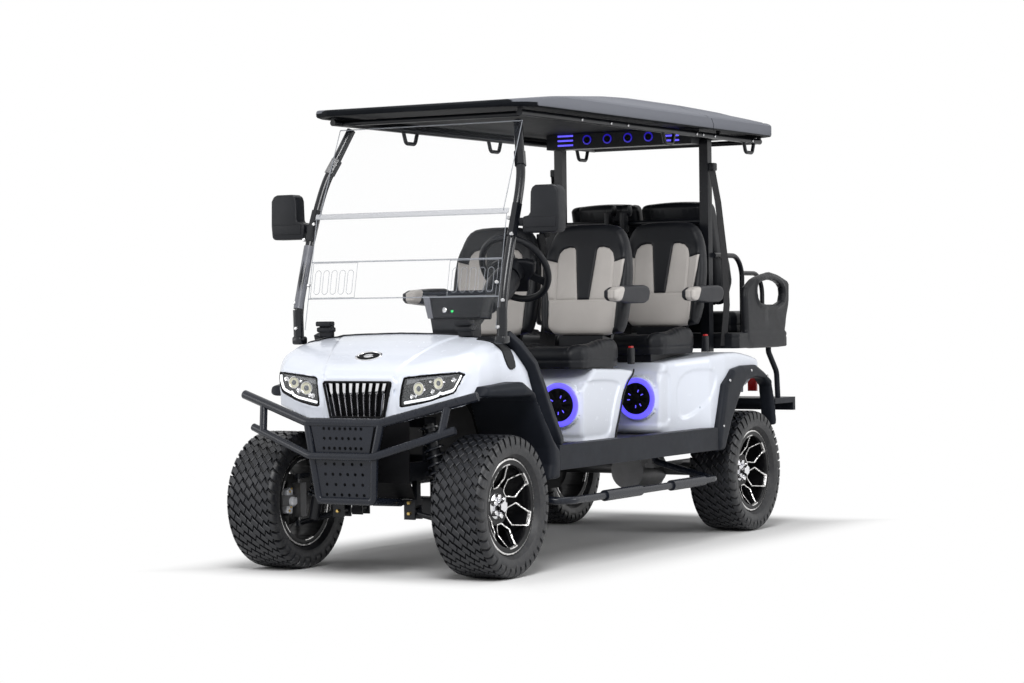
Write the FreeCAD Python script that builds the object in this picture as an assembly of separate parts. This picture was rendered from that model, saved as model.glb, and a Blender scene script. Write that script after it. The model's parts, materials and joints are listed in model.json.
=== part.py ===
import FreeCAD, Part
import math
import os

# Golf cart: lifted six-seater with a rear-facing bench, millimetres.
# The front of the cart faces -Y, its left side +X, up +Z.
# The origin is on the ground, on the centreline, half-way along the cart.

# Driving dimensions of the whole cart
WHEELBASE = 2340.0
WHEEL_TRACK = 1010.0
FRONT_OVERHANG = 350.0
REAR_OVERHANG = 790.0
TYRE_DIAMETER = 584.0
TYRE_WIDTH = 236.0
CABIN_WIDTH = 1220.0
COWL_WIDTH = 1000.0
COWL_HEIGHT = 1010.0
ROOF_HEIGHT = 2062.0
SEAT_PITCH = 775.0
POD_PITCH = 740.0
FLOOR_HEIGHT = 500.0

# Places that follow from them
TYRE_RADIUS = TYRE_DIAMETER / 2
CART_LENGTH = FRONT_OVERHANG + WHEELBASE + REAR_OVERHANG
FRONT_AXLE_Y = FRONT_OVERHANG - CART_LENGTH / 2
REAR_AXLE_Y = FRONT_AXLE_Y + WHEELBASE
REAR_END_Y = REAR_AXLE_Y + REAR_OVERHANG
WHEEL_X = WHEEL_TRACK / 2
CABIN_X = CABIN_WIDTH / 2
COWL_X = COWL_WIDTH / 2

# Fits between pieces
OVERRUN = 20.0
FACE_GAP = 0.3
BEARING_GAP = 0.05

V = FreeCAD.Vector


def box(x0, x1, y0, y1, z0, z1):
    """A block between two opposite corners."""
    corner = V(min(x0, x1), min(y0, y1), min(z0, z1))
    return Part.makeBox(abs(x1 - x0), abs(y1 - y0), abs(z1 - z0), corner)


def prism(points, travel):
    """A closed outline of 3-D points pushed along a vector."""
    wire = Part.makePolygon(points + [points[0]])
    return Part.Face(wire).extrude(travel)


def prism_along_x(outline, x0, x1):
    """An outline of (y, z) points from one side plane to the other."""
    return prism([V(x0, y, z) for y, z in outline], V(x1 - x0, 0, 0))


def prism_along_y(outline, y0, y1):
    """An outline of (x, z) points from one cross plane to the other."""
    return prism([V(x, y0, z) for x, z in outline], V(0, y1 - y0, 0))


def prism_along_z(outline, z0, z1):
    """An outline of (x, y) points from one level to another."""
    return prism([V(x, y, z0) for x, y in outline], V(0, 0, z1 - z0))


def rod(start, end, radius):
    """A round bar between two points."""
    axis = end - start
    return Part.makeCylinder(radius, axis.Length, start, axis)


def bent_bar(points, radius, bend_radius):
    """A round bar along straight runs joined by tangent arcs."""
    edges = []
    here = points[0]
    for before, corner, after in zip(points, points[1:], points[2:]):
        into = (corner - before).normalize()
        out = (after - corner).normalize()
        half_turn = into.getAngle(out) / 2
        shorter = min((corner - before).Length, (after - corner).Length)
        bend = min(bend_radius, 0.45 * shorter / math.tan(half_turn))
        reach = bend * math.tan(half_turn)
        start = corner - into * reach
        end = corner + out * reach
        inward = (out - into).normalize()
        middle = corner + inward * (bend / math.cos(half_turn) - bend)
        edges.append(Part.LineSegment(here, start).toShape())
        edges.append(Part.Arc(start, middle, end).toShape())
        here = end
    edges.append(Part.LineSegment(here, points[-1]).toShape())
    path = Part.Wire(edges)
    first = (points[1] - points[0]).normalize()
    ring = Part.Wire([Part.makeCircle(radius, points[0], first)])
    return path.makePipeShell([ring], True, True)


def fuse(pieces):
    """One solid from pieces that run into each other."""
    return pieces[0].multiFuse(pieces[1:]).removeSplitter()


def mirrored(shape):
    """The same piece on the other side of the centreline."""
    return shape.mirror(V(0, 0, 0), V(1, 0, 0))


def both_sides(shape):
    """A piece and its mirror image, as separate solids."""
    return [shape, mirrored(shape)]


def outline_from(shares, y_start, y_size, z_start, z_size):
    """Turns shares of two sizes into (y, z) points."""
    return [(y_start + y * y_size, z_start + z * z_size) for y, z in shares]


def save(name, pieces):
    """Writes one node from its solids."""
    solids = [solid for piece in pieces for solid in piece.Solids]
    shape = Part.makeCompound(solids) if len(solids) > 1 else solids[0]
    shape.exportStep(f"parts/{name}.step")
    print(f"{name}: {len(solids)} solids, valid {shape.isValid()}")


# Arch openings over the wheels, as shares of the tyre radius from each axle
FRONT_ARCH_SHARES = ((1.19, 0.30), (1.19, 0.80), (0.98, 1.22), (0.75, 1.46), (0.63, 1.51),
                     (-0.31, 1.51), (-0.80, 1.38))
FRONT_FLARE_EDGE_SHARES = ((-0.31, 1.52), (-0.23, 1.67), (0.45, 1.72), (0.71, 1.57),
                           (0.96, 1.15), (1.17, 0.88), (1.35, 0.72), (1.35, 0.30))
FRONT_FLARE_LIP_SHARES = ((1.05, 0.30), (1.11, 0.52), (1.07, 0.75), (0.87, 1.14), (0.79, 1.32),
                          (0.75, 1.43), (0.63, 1.51), (0.29, 1.51))
FRONT_FLARE_PLAN_SHARES = ((0.75, -0.32), (0.83, -0.31), (0.87, -0.23), (0.97, 0.45), (1.0, 1.0),
                           (1.0, 1.36), (0.92, 1.36), (0.92, 0.90), (0.75, 0.60))
REAR_ARCH_SHARES = ((0.79, 0.72), (0.67, 1.39), (0.47, 1.52), (0.07, 1.55), (-0.29, 1.50),
                    (-0.52, 1.32), (-0.88, 0.87), (-1.16, 0.40))
REAR_FLARE_EDGE_SHARES = ((-1.40, 0.40), (-1.40, 0.60), (-1.13, 1.47), (-0.80, 1.71),
                          (-0.42, 1.76), (0.11, 1.76), (0.40, 1.65), (0.70, 1.50), (0.82, 1.13),
                          (0.89, 0.72))


def around_front_axle(shares):
    """Outline points about the front axle."""
    return outline_from(shares, FRONT_AXLE_Y, TYRE_RADIUS, TYRE_RADIUS, TYRE_RADIUS)


def around_rear_axle(shares):
    """Outline points about the rear axle."""
    return outline_from(shares, REAR_AXLE_Y, TYRE_RADIUS, TYRE_RADIUS, TYRE_RADIUS)


# Frame
RAIL_WIDTH = 40.0
RAIL_DEPTH = 75.0
RAIL_SPREAD = 400.0
RAIL_FRONT_REACH = 199.0
RAIL_REAR_REACH = 500.0
FLOOR_THICKNESS = 30.0
CROSS_MEMBER_LENGTH = 50.0
OUTRIGGER_DEPTH = 40.0
TOWER_THICKNESS = 12.0
TOWER_LENGTH = 90.0
TOWER_HEIGHT = 650.0
ARM_HANGER_LENGTH = 30.0
ARM_PIVOT_SPREAD = 140.0
ARM_PIVOT_X = 176.0
ARM_EYE_HALF = 22.0
ARM_EAR_HALF = 26.0
ARM_EAR_THICKNESS = 8.0
CROSSBAR_HALF = 204.0
CROSSBAR_BOTTOM = 292.0
CROSSBAR_HEIGHT = 23.0
CROSSBAR_DEPTH = 62.0
LOWER_ARM_Z = 259.0
FLOOR_UNDERSIDE = FLOOR_HEIGHT - FLOOR_THICKNESS
RAIL_BOTTOM = FLOOR_UNDERSIDE - RAIL_DEPTH
RAIL_X = RAIL_SPREAD / 2
RAIL_FRONT_Y = FRONT_AXLE_Y - RAIL_FRONT_REACH
RAIL_REAR_Y = REAR_AXLE_Y + RAIL_REAR_REACH
ARM_FRONT_Y = FRONT_AXLE_Y - ARM_PIVOT_SPREAD / 2
CROSSBAR_FRONT_Y = ARM_FRONT_Y - CROSSBAR_DEPTH / 2
RAIL_INNER_X = RAIL_X - RAIL_WIDTH / 2
RAIL_OUTER_X = RAIL_X + RAIL_WIDTH / 2
CROSS_MEMBER_SHARES = (0.0, 0.22, 0.47, 0.62, 0.90, 1.0)
OUTRIGGER_SHARES = (0.23, 0.42, 0.60, 0.685)
ROCKER_WIDTH = 62.0
ROCKER_OUTER_X = CABIN_X
ROCKER_INNER_X = ROCKER_OUTER_X - ROCKER_WIDTH


def outrigger_middle(share):
    """The place along the rails of one outrigger."""
    return RAIL_FRONT_Y + share * (RAIL_REAR_Y - RAIL_FRONT_Y)


def crossbar(end):
    """The bar under the rails that carries the front or the rear arm pivots."""
    middle = FRONT_AXLE_Y + end * ARM_PIVOT_SPREAD / 2
    return box(-CROSSBAR_HALF, CROSSBAR_HALF, middle - CROSSBAR_DEPTH / 2,
               middle + CROSSBAR_DEPTH / 2, CROSSBAR_BOTTOM, CROSSBAR_BOTTOM + CROSSBAR_HEIGHT)


def make_chassis_frame():
    """Two rails, cross members, outriggers, spring towers and arm brackets."""
    pieces = [crossbar(-1), crossbar(1)]
    for side in (-1, 1):
        pieces.append(box(side * RAIL_INNER_X, side * RAIL_OUTER_X, RAIL_FRONT_Y, RAIL_REAR_Y,
                          RAIL_BOTTOM, FLOOR_UNDERSIDE))
        pieces.append(box(side * (RAIL_OUTER_X - TOWER_THICKNESS), side * RAIL_OUTER_X,
                          FRONT_AXLE_Y - TOWER_LENGTH / 2, FRONT_AXLE_Y + TOWER_LENGTH / 2,
                          RAIL_BOTTOM, TOWER_HEIGHT))
        for end in (-1, 1):
            hanger_y = FRONT_AXLE_Y + end * ARM_PIVOT_SPREAD / 2
            pieces.append(box(side * RAIL_INNER_X, side * CROSSBAR_HALF,
                              hanger_y - ARM_HANGER_LENGTH / 2, hanger_y + ARM_HANGER_LENGTH / 2,
                              CROSSBAR_BOTTOM + CROSSBAR_HEIGHT / 2, RAIL_BOTTOM))
            for face in (-1, 1):
                ear_y = hanger_y + face * (ARM_EYE_HALF + FACE_GAP)
                pieces.append(box(side * (ARM_PIVOT_X - ARM_EAR_HALF),
                                  side * (ARM_PIVOT_X + ARM_EAR_HALF),
                                  ear_y, ear_y + face * ARM_EAR_THICKNESS,
                                  LOWER_ARM_Z - ARM_EAR_HALF,
                                  CROSSBAR_BOTTOM + CROSSBAR_HEIGHT / 2))
        for share in OUTRIGGER_SHARES:
            middle = outrigger_middle(share)
            pieces.append(box(side * RAIL_INNER_X, side * ROCKER_INNER_X,
                              middle - CROSS_MEMBER_LENGTH / 2, middle + CROSS_MEMBER_LENGTH / 2,
                              FLOOR_UNDERSIDE - OUTRIGGER_DEPTH, FLOOR_UNDERSIDE))
    for share in CROSS_MEMBER_SHARES:
        front = RAIL_FRONT_Y + share * (RAIL_REAR_Y - RAIL_FRONT_Y - CROSS_MEMBER_LENGTH)
        pieces.append(box(-RAIL_X, RAIL_X, front, front + CROSS_MEMBER_LENGTH,
                          RAIL_BOTTOM, FLOOR_UNDERSIDE))
    pieces.append(box(-RAIL_OUTER_X, RAIL_OUTER_X, FRONT_AXLE_Y - TOWER_LENGTH / 2,
                      FRONT_AXLE_Y + TOWER_LENGTH / 2, TOWER_HEIGHT - RAIL_WIDTH, TOWER_HEIGHT))
    save("chassis_frame", [fuse(pieces)])


# Front bumper: bent tubes, and two perforated plates bolted between them
BUMPER_TUBE_RADIUS = 19.0
GUARD_TUBE_RADIUS = 16.0
HOOP_TUBE_RADIUS = 16.0
BUMPER_BEND = 60.0
HOOP_BEND = 22.0
BUMPER_END_X = 573.0
BUMPER_END_SETBACK = 107.0
BUMPER_END_Z = 746.0
BUMPER_CORNER_X = 180.0
BUMPER_CORNER_Z = 639.0
GUARD_END_X = 495.0
GUARD_END_SETBACK = 84.0
GUARD_END_Z = 612.0
GUARD_CORNER_X = 152.0
GUARD_CORNER_Z = 503.0
HOOP_FOOT_X = 133.0
HOOP_FOOT_SETBACK = 21.0
HOOP_FOOT_Z = 320.0
POST_TOP_SHARE = 0.31
POST_FOOT_SHARE = 0.17
BUMPER_FRONT_Y = FRONT_AXLE_Y - FRONT_OVERHANG
GUARD_Y = BUMPER_FRONT_Y + GUARD_TUBE_RADIUS
HOOP_Y = GUARD_Y + HOOP_TUBE_RADIUS
BUMPER_TUBE_Y = HOOP_Y + HOOP_TUBE_RADIUS / 2


def make_front_bumper():
    """Upper bar, lower guard bar, centre hoop, uprights and arms to the frame."""
    upper_end = V(BUMPER_END_X, BUMPER_TUBE_Y + BUMPER_END_SETBACK, BUMPER_END_Z)
    upper_corner = V(BUMPER_CORNER_X, BUMPER_TUBE_Y, BUMPER_CORNER_Z)
    guard_end = V(GUARD_END_X, GUARD_Y + GUARD_END_SETBACK, GUARD_END_Z)
    guard_corner = V(GUARD_CORNER_X, GUARD_Y, GUARD_CORNER_Z)
    foot = V(HOOP_FOOT_X, HOOP_Y + HOOP_FOOT_SETBACK, HOOP_FOOT_Z)

    def flip(point):
        return V(-point.x, point.y, point.z)

    pieces = [
        bent_bar([flip(upper_end), flip(upper_corner), upper_corner, upper_end],
                 BUMPER_TUBE_RADIUS, BUMPER_BEND),
        bent_bar([flip(guard_end), flip(guard_corner), guard_corner, guard_end],
                 GUARD_TUBE_RADIUS, BUMPER_BEND),
        bent_bar([flip(upper_corner), flip(guard_corner) + V(0, HOOP_TUBE_RADIUS, 0), flip(foot),
                  foot, guard_corner + V(0, HOOP_TUBE_RADIUS, 0), upper_corner],
                 HOOP_TUBE_RADIUS, HOOP_BEND),
    ]
    post_top = upper_end + (upper_corner - upper_end) * POST_TOP_SHARE
    post_foot = guard_end + (guard_corner - guard_end) * POST_FOOT_SHARE
    arm_end = V(HOOP_FOOT_X, ARM_FRONT_Y, CROSSBAR_BOTTOM + HOOP_TUBE_RADIUS / 2)
    for flipped in (False, True):
        post = [post_foot, post_top]
        low_arm = [foot, arm_end]
        if flipped:
            post = [flip(point) for point in post]
            low_arm = [flip(point) for point in low_arm]
        pieces.append(rod(post[0], post[1], HOOP_TUBE_RADIUS))
        pieces.append(rod(low_arm[0], low_arm[1], HOOP_TUBE_RADIUS))
    bumper = fuse(pieces)
    bumper = bumper.cut(box(-CABIN_X, CABIN_X, CROSSBAR_FRONT_Y, FRONT_AXLE_Y, 0, BUMPER_CORNER_Z))
    save("front_bumper", [bumper])
    return bumper


PLATE_THICKNESS = 4.0
PLATE_HOLE_RADIUS = 7.0
UPPER_PLATE_HOLES = 8
UPPER_PLATE_ROWS = 3
LOWER_PLATE_HOLES = 6
LOWER_PLATE_ROWS = 4
PLATE_MARGIN = 24.0


def perforated_plate(half_top, half_bottom, z_top, z_bottom, rows, columns):
    """A flat plate across the hoop with staggered rows of round holes."""
    back = HOOP_Y
    front = back - PLATE_THICKNESS
    plate = prism_along_y([(-half_bottom, z_bottom), (half_bottom, z_bottom),
                           (half_top, z_top), (-half_top, z_top)], back, front)
    holes = []
    for row in range(rows):
        z = z_bottom + PLATE_MARGIN + row * (z_top - z_bottom - 2 * PLATE_MARGIN) / (rows - 1)
        count = columns - row % 2
        usable = 2 * (half_bottom - PLATE_MARGIN)
        for column in range(count):
            x = usable * ((column + 0.5) / count - 0.5)
            holes.append(rod(V(x, front - OVERRUN, z), V(x, back + OVERRUN, z),
                             PLATE_HOLE_RADIUS))
    return plate.cut(Part.makeCompound(holes))


def make_bumper_plates(bumper):
    """Upper and lower plates that close the hoop of the bumper."""
    upper = perforated_plate(BUMPER_CORNER_X - PLATE_MARGIN, GUARD_CORNER_X - PLATE_MARGIN,
                             BUMPER_CORNER_Z, GUARD_CORNER_Z + GUARD_TUBE_RADIUS / 2,
                             UPPER_PLATE_ROWS, UPPER_PLATE_HOLES)
    lower = perforated_plate(GUARD_CORNER_X, HOOP_FOOT_X,
                             GUARD_CORNER_Z - GUARD_TUBE_RADIUS / 2, HOOP_FOOT_Z,
                             LOWER_PLATE_ROWS, LOWER_PLATE_HOLES)
    lean = math.degrees(math.atan(HOOP_FOOT_SETBACK / (GUARD_CORNER_Z - HOOP_FOOT_Z)))
    lower.rotate(V(0, HOOP_Y, GUARD_CORNER_Z), V(1, 0, 0), lean)
    plates = []
    for plate in (upper, lower):
        trimmed = plate.cut(bumper)
        plates.append(max(trimmed.Solids, key=lambda solid: solid.Volume))
    save("bumper_plates", plates)


# Front cowl: nose, hood and sides, a hollow moulding
COWL_WALL = 5.0
NOSE_REACH = 216.0
NOSE_BOTTOM = 640.0
COWL_SETBACK = 130.0
JAMB_SETBACK = 396.0
JAMB_FOOT = 470.0
PLAN_SHARES = ((0.26, 0.0), (0.42, 0.01), (0.876, 0.136), (1.0, 0.255), (1.0, 0.53),
               (1.05, 0.65), (1.09, 0.868), (1.15, 0.94), (1.20, 1.0))
SIDE_SHARES = ((0.0, 0.0), (0.026, 0.53), (0.565, 1.0), (0.647, 0.96), (0.868, 0.535),
               (0.941, -0.035), (1.0, -0.257), (1.0, -0.46), (0.0, -0.46))
SHOULDER_SHARES = ((1.20, -0.5), (1.20, -0.26), (1.15, -0.035), (1.09, 0.535), (1.03, 0.81),
                   (1.0, 0.88), (0.70, 0.925), (0.62, 0.965), (0.0, 1.0))
NOSE_Y = FRONT_AXLE_Y - NOSE_REACH
JAMB_Y = FRONT_AXLE_Y + JAMB_SETBACK
COWL_DEPTH = COWL_HEIGHT - NOSE_BOTTOM
COWL_LENGTH = NOSE_REACH + JAMB_SETBACK


def cowl_block(inset):
    """The space inside the cowl's skin, shrunk by an inset."""
    half = [((COWL_X * x) - inset, NOSE_Y + inset + y * (COWL_LENGTH)) for x, y in PLAN_SHARES]
    plan = half + [(-x, y) for x, y in reversed(half)]
    side = [(NOSE_Y + y * COWL_LENGTH + (inset if y < 0.5 else -inset),
             NOSE_BOTTOM + z * COWL_DEPTH - inset) for y, z in SIDE_SHARES]
    right = [(COWL_X * x - inset, COWL_HEIGHT - (1 - z) * COWL_DEPTH - inset)
             for x, z in SHOULDER_SHARES]
    front = right + [(-x, z) for x, z in reversed(right[:-1])]
    body = prism_along_z(plan, JAMB_FOOT - COWL_DEPTH, COWL_HEIGHT + OVERRUN)
    body = body.common(prism_along_x(side, -CABIN_WIDTH, CABIN_WIDTH))
    return body.common(prism_along_y(front, NOSE_Y - OVERRUN, JAMB_Y + OVERRUN))


GRILLE_TOP_HALF = 161.0
GRILLE_BOTTOM_HALF = 129.0
GRILLE_TOP_SHARE = 0.438
GRILLE_BOTTOM_SHARE = 0.0486
GRILLE_BARS = 9
GRILLE_BAR_WIDTH = 12.0
GRILLE_DEPTH = 40.0
GRILLE_BACK = 6.0
GRILLE_TOP = NOSE_BOTTOM + GRILLE_TOP_SHARE * COWL_DEPTH
GRILLE_BOTTOM = NOSE_BOTTOM + GRILLE_BOTTOM_SHARE * COWL_DEPTH
LAMP_OUTLINE_SHARES = ((0.40, 0.176), (0.435, 0.49), (0.88, 0.535), (0.95, 0.42), (0.70, 0.24))
LAMP_DEPTH = 90.0


def grille_outline(margin):
    """The grille's trapezoid as (x, z) points."""
    return [(-GRILLE_BOTTOM_HALF + margin, GRILLE_BOTTOM + margin),
            (GRILLE_BOTTOM_HALF - margin, GRILLE_BOTTOM + margin),
            (GRILLE_TOP_HALF - margin, GRILLE_TOP - margin),
            (-GRILLE_TOP_HALF + margin, GRILLE_TOP - margin)]


def lamp_window(y0, y1):
    """The left headlamp's outline pushed through the nose."""
    outline = [(COWL_X * x, NOSE_BOTTOM + z * COWL_DEPTH) for x, z in LAMP_OUTLINE_SHARES]
    return prism_along_y(outline, y0, y1)


def front_arch_space():
    """Everything inside the front arch opening, wheel height and below."""
    top = around_front_axle(FRONT_ARCH_SHARES)
    outline = top + [(top[-1][0] - TYRE_RADIUS, top[-1][1]), (top[-1][0] - TYRE_RADIUS, -OVERRUN),
                     (top[0][0], -OVERRUN)]
    return prism_along_x(outline, -CABIN_WIDTH, CABIN_WIDTH)


def make_front_cowl():
    """The hollow white cowl with its grille, lamp and arch openings."""
    outer = cowl_block(0)
    inner = cowl_block(COWL_WALL)
    shell = outer.cut(inner)
    shell = shell.cut(front_arch_space())
    shell = shell.cut(box(-RAIL_OUTER_X, RAIL_OUTER_X, NOSE_Y - OVERRUN, JAMB_Y,
                          JAMB_FOOT - COWL_DEPTH, NOSE_BOTTOM))
    shell = shell.cut(prism_along_y(grille_outline(0), NOSE_Y - OVERRUN, NOSE_Y + GRILLE_DEPTH))
    window = lamp_window(NOSE_Y - OVERRUN, NOSE_Y + LAMP_DEPTH + OVERRUN)
    shell = shell.cut(window).cut(mirrored(window))
    rear_opening = box(-COWL_X + 2 * COWL_WALL, COWL_X - 2 * COWL_WALL,
                       FRONT_AXLE_Y + COWL_SETBACK, JAMB_Y + OVERRUN,
                       JAMB_FOOT - COWL_DEPTH, COWL_HEIGHT - COWL_WALL)
    shell = shell.cut(rear_opening)
    save("front_cowl", [max(shell.Solids, key=lambda solid: solid.Volume)])
    return outer


def make_grille():
    """Upright bars on a back plate, set into the nose."""
    back_y = NOSE_Y + GRILLE_DEPTH
    pieces = [prism_along_y(grille_outline(0), back_y - GRILLE_BACK, back_y)]
    frame = prism_along_y(grille_outline(FACE_GAP), NOSE_Y + COWL_WALL, back_y)
    hollow = prism_along_y(grille_outline(GRILLE_BAR_WIDTH / 2), NOSE_Y - OVERRUN, back_y)
    pieces.append(frame.cut(hollow))
    bar_space = prism_along_y(grille_outline(FACE_GAP), NOSE_Y - GRILLE_BACK, back_y)
    for bar in range(GRILLE_BARS):
        share = (bar + 0.5) / GRILLE_BARS * 2 - 1
        low_x = share * GRILLE_BOTTOM_HALF
        high_x = share * GRILLE_TOP_HALF
        half = GRILLE_BAR_WIDTH / 2
        slat = prism_along_y([(low_x - half, GRILLE_BOTTOM), (low_x + half, GRILLE_BOTTOM),
                              (high_x + half, GRILLE_TOP), (high_x - half, GRILLE_TOP)],
                             NOSE_Y - GRILLE_BACK / 2, back_y)
        pieces.append(slat.common(bar_space))
    save("grille", [fuse(pieces)])


def make_headlamps(cowl):
    """Closed lamp units that fill their windows in the nose."""
    lamp = lamp_window(NOSE_Y - OVERRUN, NOSE_Y + LAMP_DEPTH + OVERRUN).common(cowl)
    save("headlamps", both_sides(lamp))
    return lamp


# Black trim of the front: arch flares, liners and the fascia behind the bumper
FLARE_REACH = 120.0
REAR_FLARE_REACH = 10.0
REAR_FLARE_WIDTH = 60.0
FLARE_OUTER_X = COWL_X + FLARE_REACH
REAR_FLARE_OUTER_X = CABIN_X + REAR_FLARE_REACH
REAR_FLARE_INNER_X = REAR_FLARE_OUTER_X - REAR_FLARE_WIDTH
LINER_THICKNESS = 5.0
LINER_INNER_X = 245.0
FASCIA_THICKNESS = 5.0
FASCIA_KNEE_Z = 391.0
FASCIA_FOOT_Z = 319.0
FASCIA_FOOT_HALF = 206.0


def make_flares(cowl, rear_body):
    """Arch flares that stand out from the body over all four wheels."""
    front = around_front_axle(FRONT_FLARE_EDGE_SHARES + FRONT_FLARE_LIP_SHARES)
    plan = [(FLARE_OUTER_X * x, FRONT_AXLE_Y + TYRE_RADIUS * y)
            for x, y in FRONT_FLARE_PLAN_SHARES]
    front_flare = prism_along_x(front, LINER_INNER_X, FLARE_OUTER_X)
    front_flare = front_flare.common(prism_along_z(plan, 0, COWL_HEIGHT)).cut(cowl)
    front_flare = max(front_flare.Solids, key=lambda solid: solid.Volume)
    rear = around_rear_axle(REAR_FLARE_EDGE_SHARES + REAR_ARCH_SHARES)
    rear_flare = prism_along_x(rear, REAR_FLARE_INNER_X, REAR_FLARE_OUTER_X).cut(rear_body)
    rear_flare = max(rear_flare.Solids, key=lambda solid: solid.Volume)
    save("front_flares", both_sides(front_flare))
    save("rear_flares", both_sides(rear_flare))


def make_front_fascia(cowl, lamp):
    """Black panel behind the bumper, with the two arch liners."""
    back = RAIL_FRONT_Y - FACE_GAP
    front = back - FASCIA_THICKNESS
    foot_y = CROSSBAR_FRONT_Y - FACE_GAP
    side = [(front, NOSE_BOTTOM), (front, FASCIA_KNEE_Z), (foot_y, FASCIA_FOOT_Z),
            (foot_y, FASCIA_FOOT_Z + FASCIA_THICKNESS), (back, FASCIA_KNEE_Z + FASCIA_THICKNESS / 2),
            (back, NOSE_BOTTOM)]
    wide = [(LINER_INNER_X, NOSE_BOTTOM), (LINER_INNER_X, FASCIA_KNEE_Z),
            (FASCIA_FOOT_HALF, FASCIA_FOOT_Z)]
    panel = prism_along_x(side, -LINER_INNER_X, LINER_INNER_X)
    panel = panel.common(prism_along_y(wide + [(-x, z) for x, z in reversed(wide)], front, foot_y))
    arch = around_front_axle(FRONT_ARCH_SHARES)
    outward_share = 1 + LINER_THICKNESS / TYRE_RADIUS
    lifted = around_front_axle([(y * outward_share, z * outward_share)
                                for y, z in reversed(FRONT_ARCH_SHARES)])
    liner = prism_along_x(arch + lifted, LINER_INNER_X, COWL_X - 2 * COWL_WALL)
    liner = liner.cut(cowl.cut(cowl_block(COWL_WALL + FACE_GAP))).cut(lamp)
    liner = max(liner.Solids, key=lambda solid: solid.Volume)
    save("front_fascia", [panel] + both_sides(liner))


# Dashboard, console and steering column
DASH_THICKNESS = 60.0
DASH_BOTTOM = 830.0
DASH_SETBACK = 300.0
CONSOLE_INNER_X = 60.0
CONSOLE_OUTER_X = 300.0
CONSOLE_TOP = 1168.0
CONSOLE_DEPTH = 110.0
COLUMN_ANGLE = 33.0
COLUMN_X = 242.0
STEERING_SETBACK = 673.0
STEERING_Z = 1269.0
COLUMN_RADIUS = 30.0
COLUMN_SHAFT_RADIUS = 10.0
STEERING_RING_RADIUS = 158.0
STEERING_GRIP_RADIUS = 15.0
STEERING_HUB_RADIUS = 42.0
STEERING_HUB_DEPTH = 50.0
STEERING_SPOKES = 3
SPOKE_WIDTH = 34.0
SPOKE_THICKNESS = 12.0
DASH_Y = FRONT_AXLE_Y + DASH_SETBACK
STEERING_CENTRE = V(COLUMN_X, FRONT_AXLE_Y + STEERING_SETBACK, STEERING_Z)
COLUMN_AXIS = V(0, math.cos(math.radians(COLUMN_ANGLE)), math.sin(math.radians(COLUMN_ANGLE)))


def column_point(distance):
    """A point on the steering axis, that far below the wheel's centre."""
    return STEERING_CENTRE - COLUMN_AXIS * distance


COLUMN_LENGTH = (STEERING_CENTRE.y - DASH_Y) / math.cos(math.radians(COLUMN_ANGLE))


def make_dashboard():
    """Padded dash panel with the instrument console and the column housing."""
    half = COWL_X - 2 * COWL_WALL - FACE_GAP
    cowl_rear = FRONT_AXLE_Y + COWL_SETBACK + FACE_GAP
    panel = box(-half, half, DASH_Y - DASH_THICKNESS, DASH_Y, DASH_BOTTOM,
                COWL_HEIGHT - 2 * COWL_WALL)
    shelf = box(-half, half, cowl_rear, DASH_Y, COWL_HEIGHT - 8 * COWL_WALL,
                COWL_HEIGHT - 2 * COWL_WALL)
    console = prism_along_x([(DASH_Y - CONSOLE_DEPTH, COWL_HEIGHT - 4 * COWL_WALL),
                             (DASH_Y, COWL_HEIGHT - 4 * COWL_WALL),
                             (DASH_Y, COWL_HEIGHT + COWL_WALL),
                             (DASH_Y - CONSOLE_DEPTH / 3, CONSOLE_TOP),
                             (DASH_Y - CONSOLE_DEPTH, CONSOLE_TOP)],
                            CONSOLE_INNER_X, CONSOLE_OUTER_X)
    housing_top = column_point(STEERING_HUB_DEPTH + COLUMN_SHAFT_RADIUS)
    housing = rod(column_point(COLUMN_LENGTH + COLUMN_RADIUS), housing_top, COLUMN_RADIUS)
    bore = rod(column_point(COLUMN_LENGTH - COLUMN_RADIUS), housing_top + COLUMN_AXIS * OVERRUN,
               COLUMN_SHAFT_RADIUS + BEARING_GAP)
    save("dashboard", [fuse([panel, shelf, console, housing]).cut(bore)])


def make_steering_wheel():
    """Ring, three spokes, hub and the shaft in its housing."""
    ring = Part.makeTorus(STEERING_RING_RADIUS, STEERING_GRIP_RADIUS, STEERING_CENTRE, COLUMN_AXIS)
    hub = rod(column_point(STEERING_HUB_DEPTH), column_point(0) + COLUMN_AXIS * SPOKE_THICKNESS,
              STEERING_HUB_RADIUS)
    shaft = rod(column_point(COLUMN_LENGTH / 2), column_point(STEERING_HUB_DEPTH / 2),
                COLUMN_SHAFT_RADIUS)
    pieces = [ring, hub, shaft]
    for spoke in range(STEERING_SPOKES):
        arm = box(0, STEERING_RING_RADIUS, -SPOKE_WIDTH / 2, SPOKE_WIDTH / 2,
                  -SPOKE_THICKNESS / 2, SPOKE_THICKNESS / 2)
        arm.rotate(V(0, 0, 0), V(0, 0, 1), 120 * spoke - 90)
        arm.rotate(V(0, 0, 0), V(1, 0, 0), COLUMN_ANGLE - 90)
        arm.translate(STEERING_CENTRE)
        pieces.append(arm)
    save("steering_wheel", [fuse(pieces)])


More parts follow.
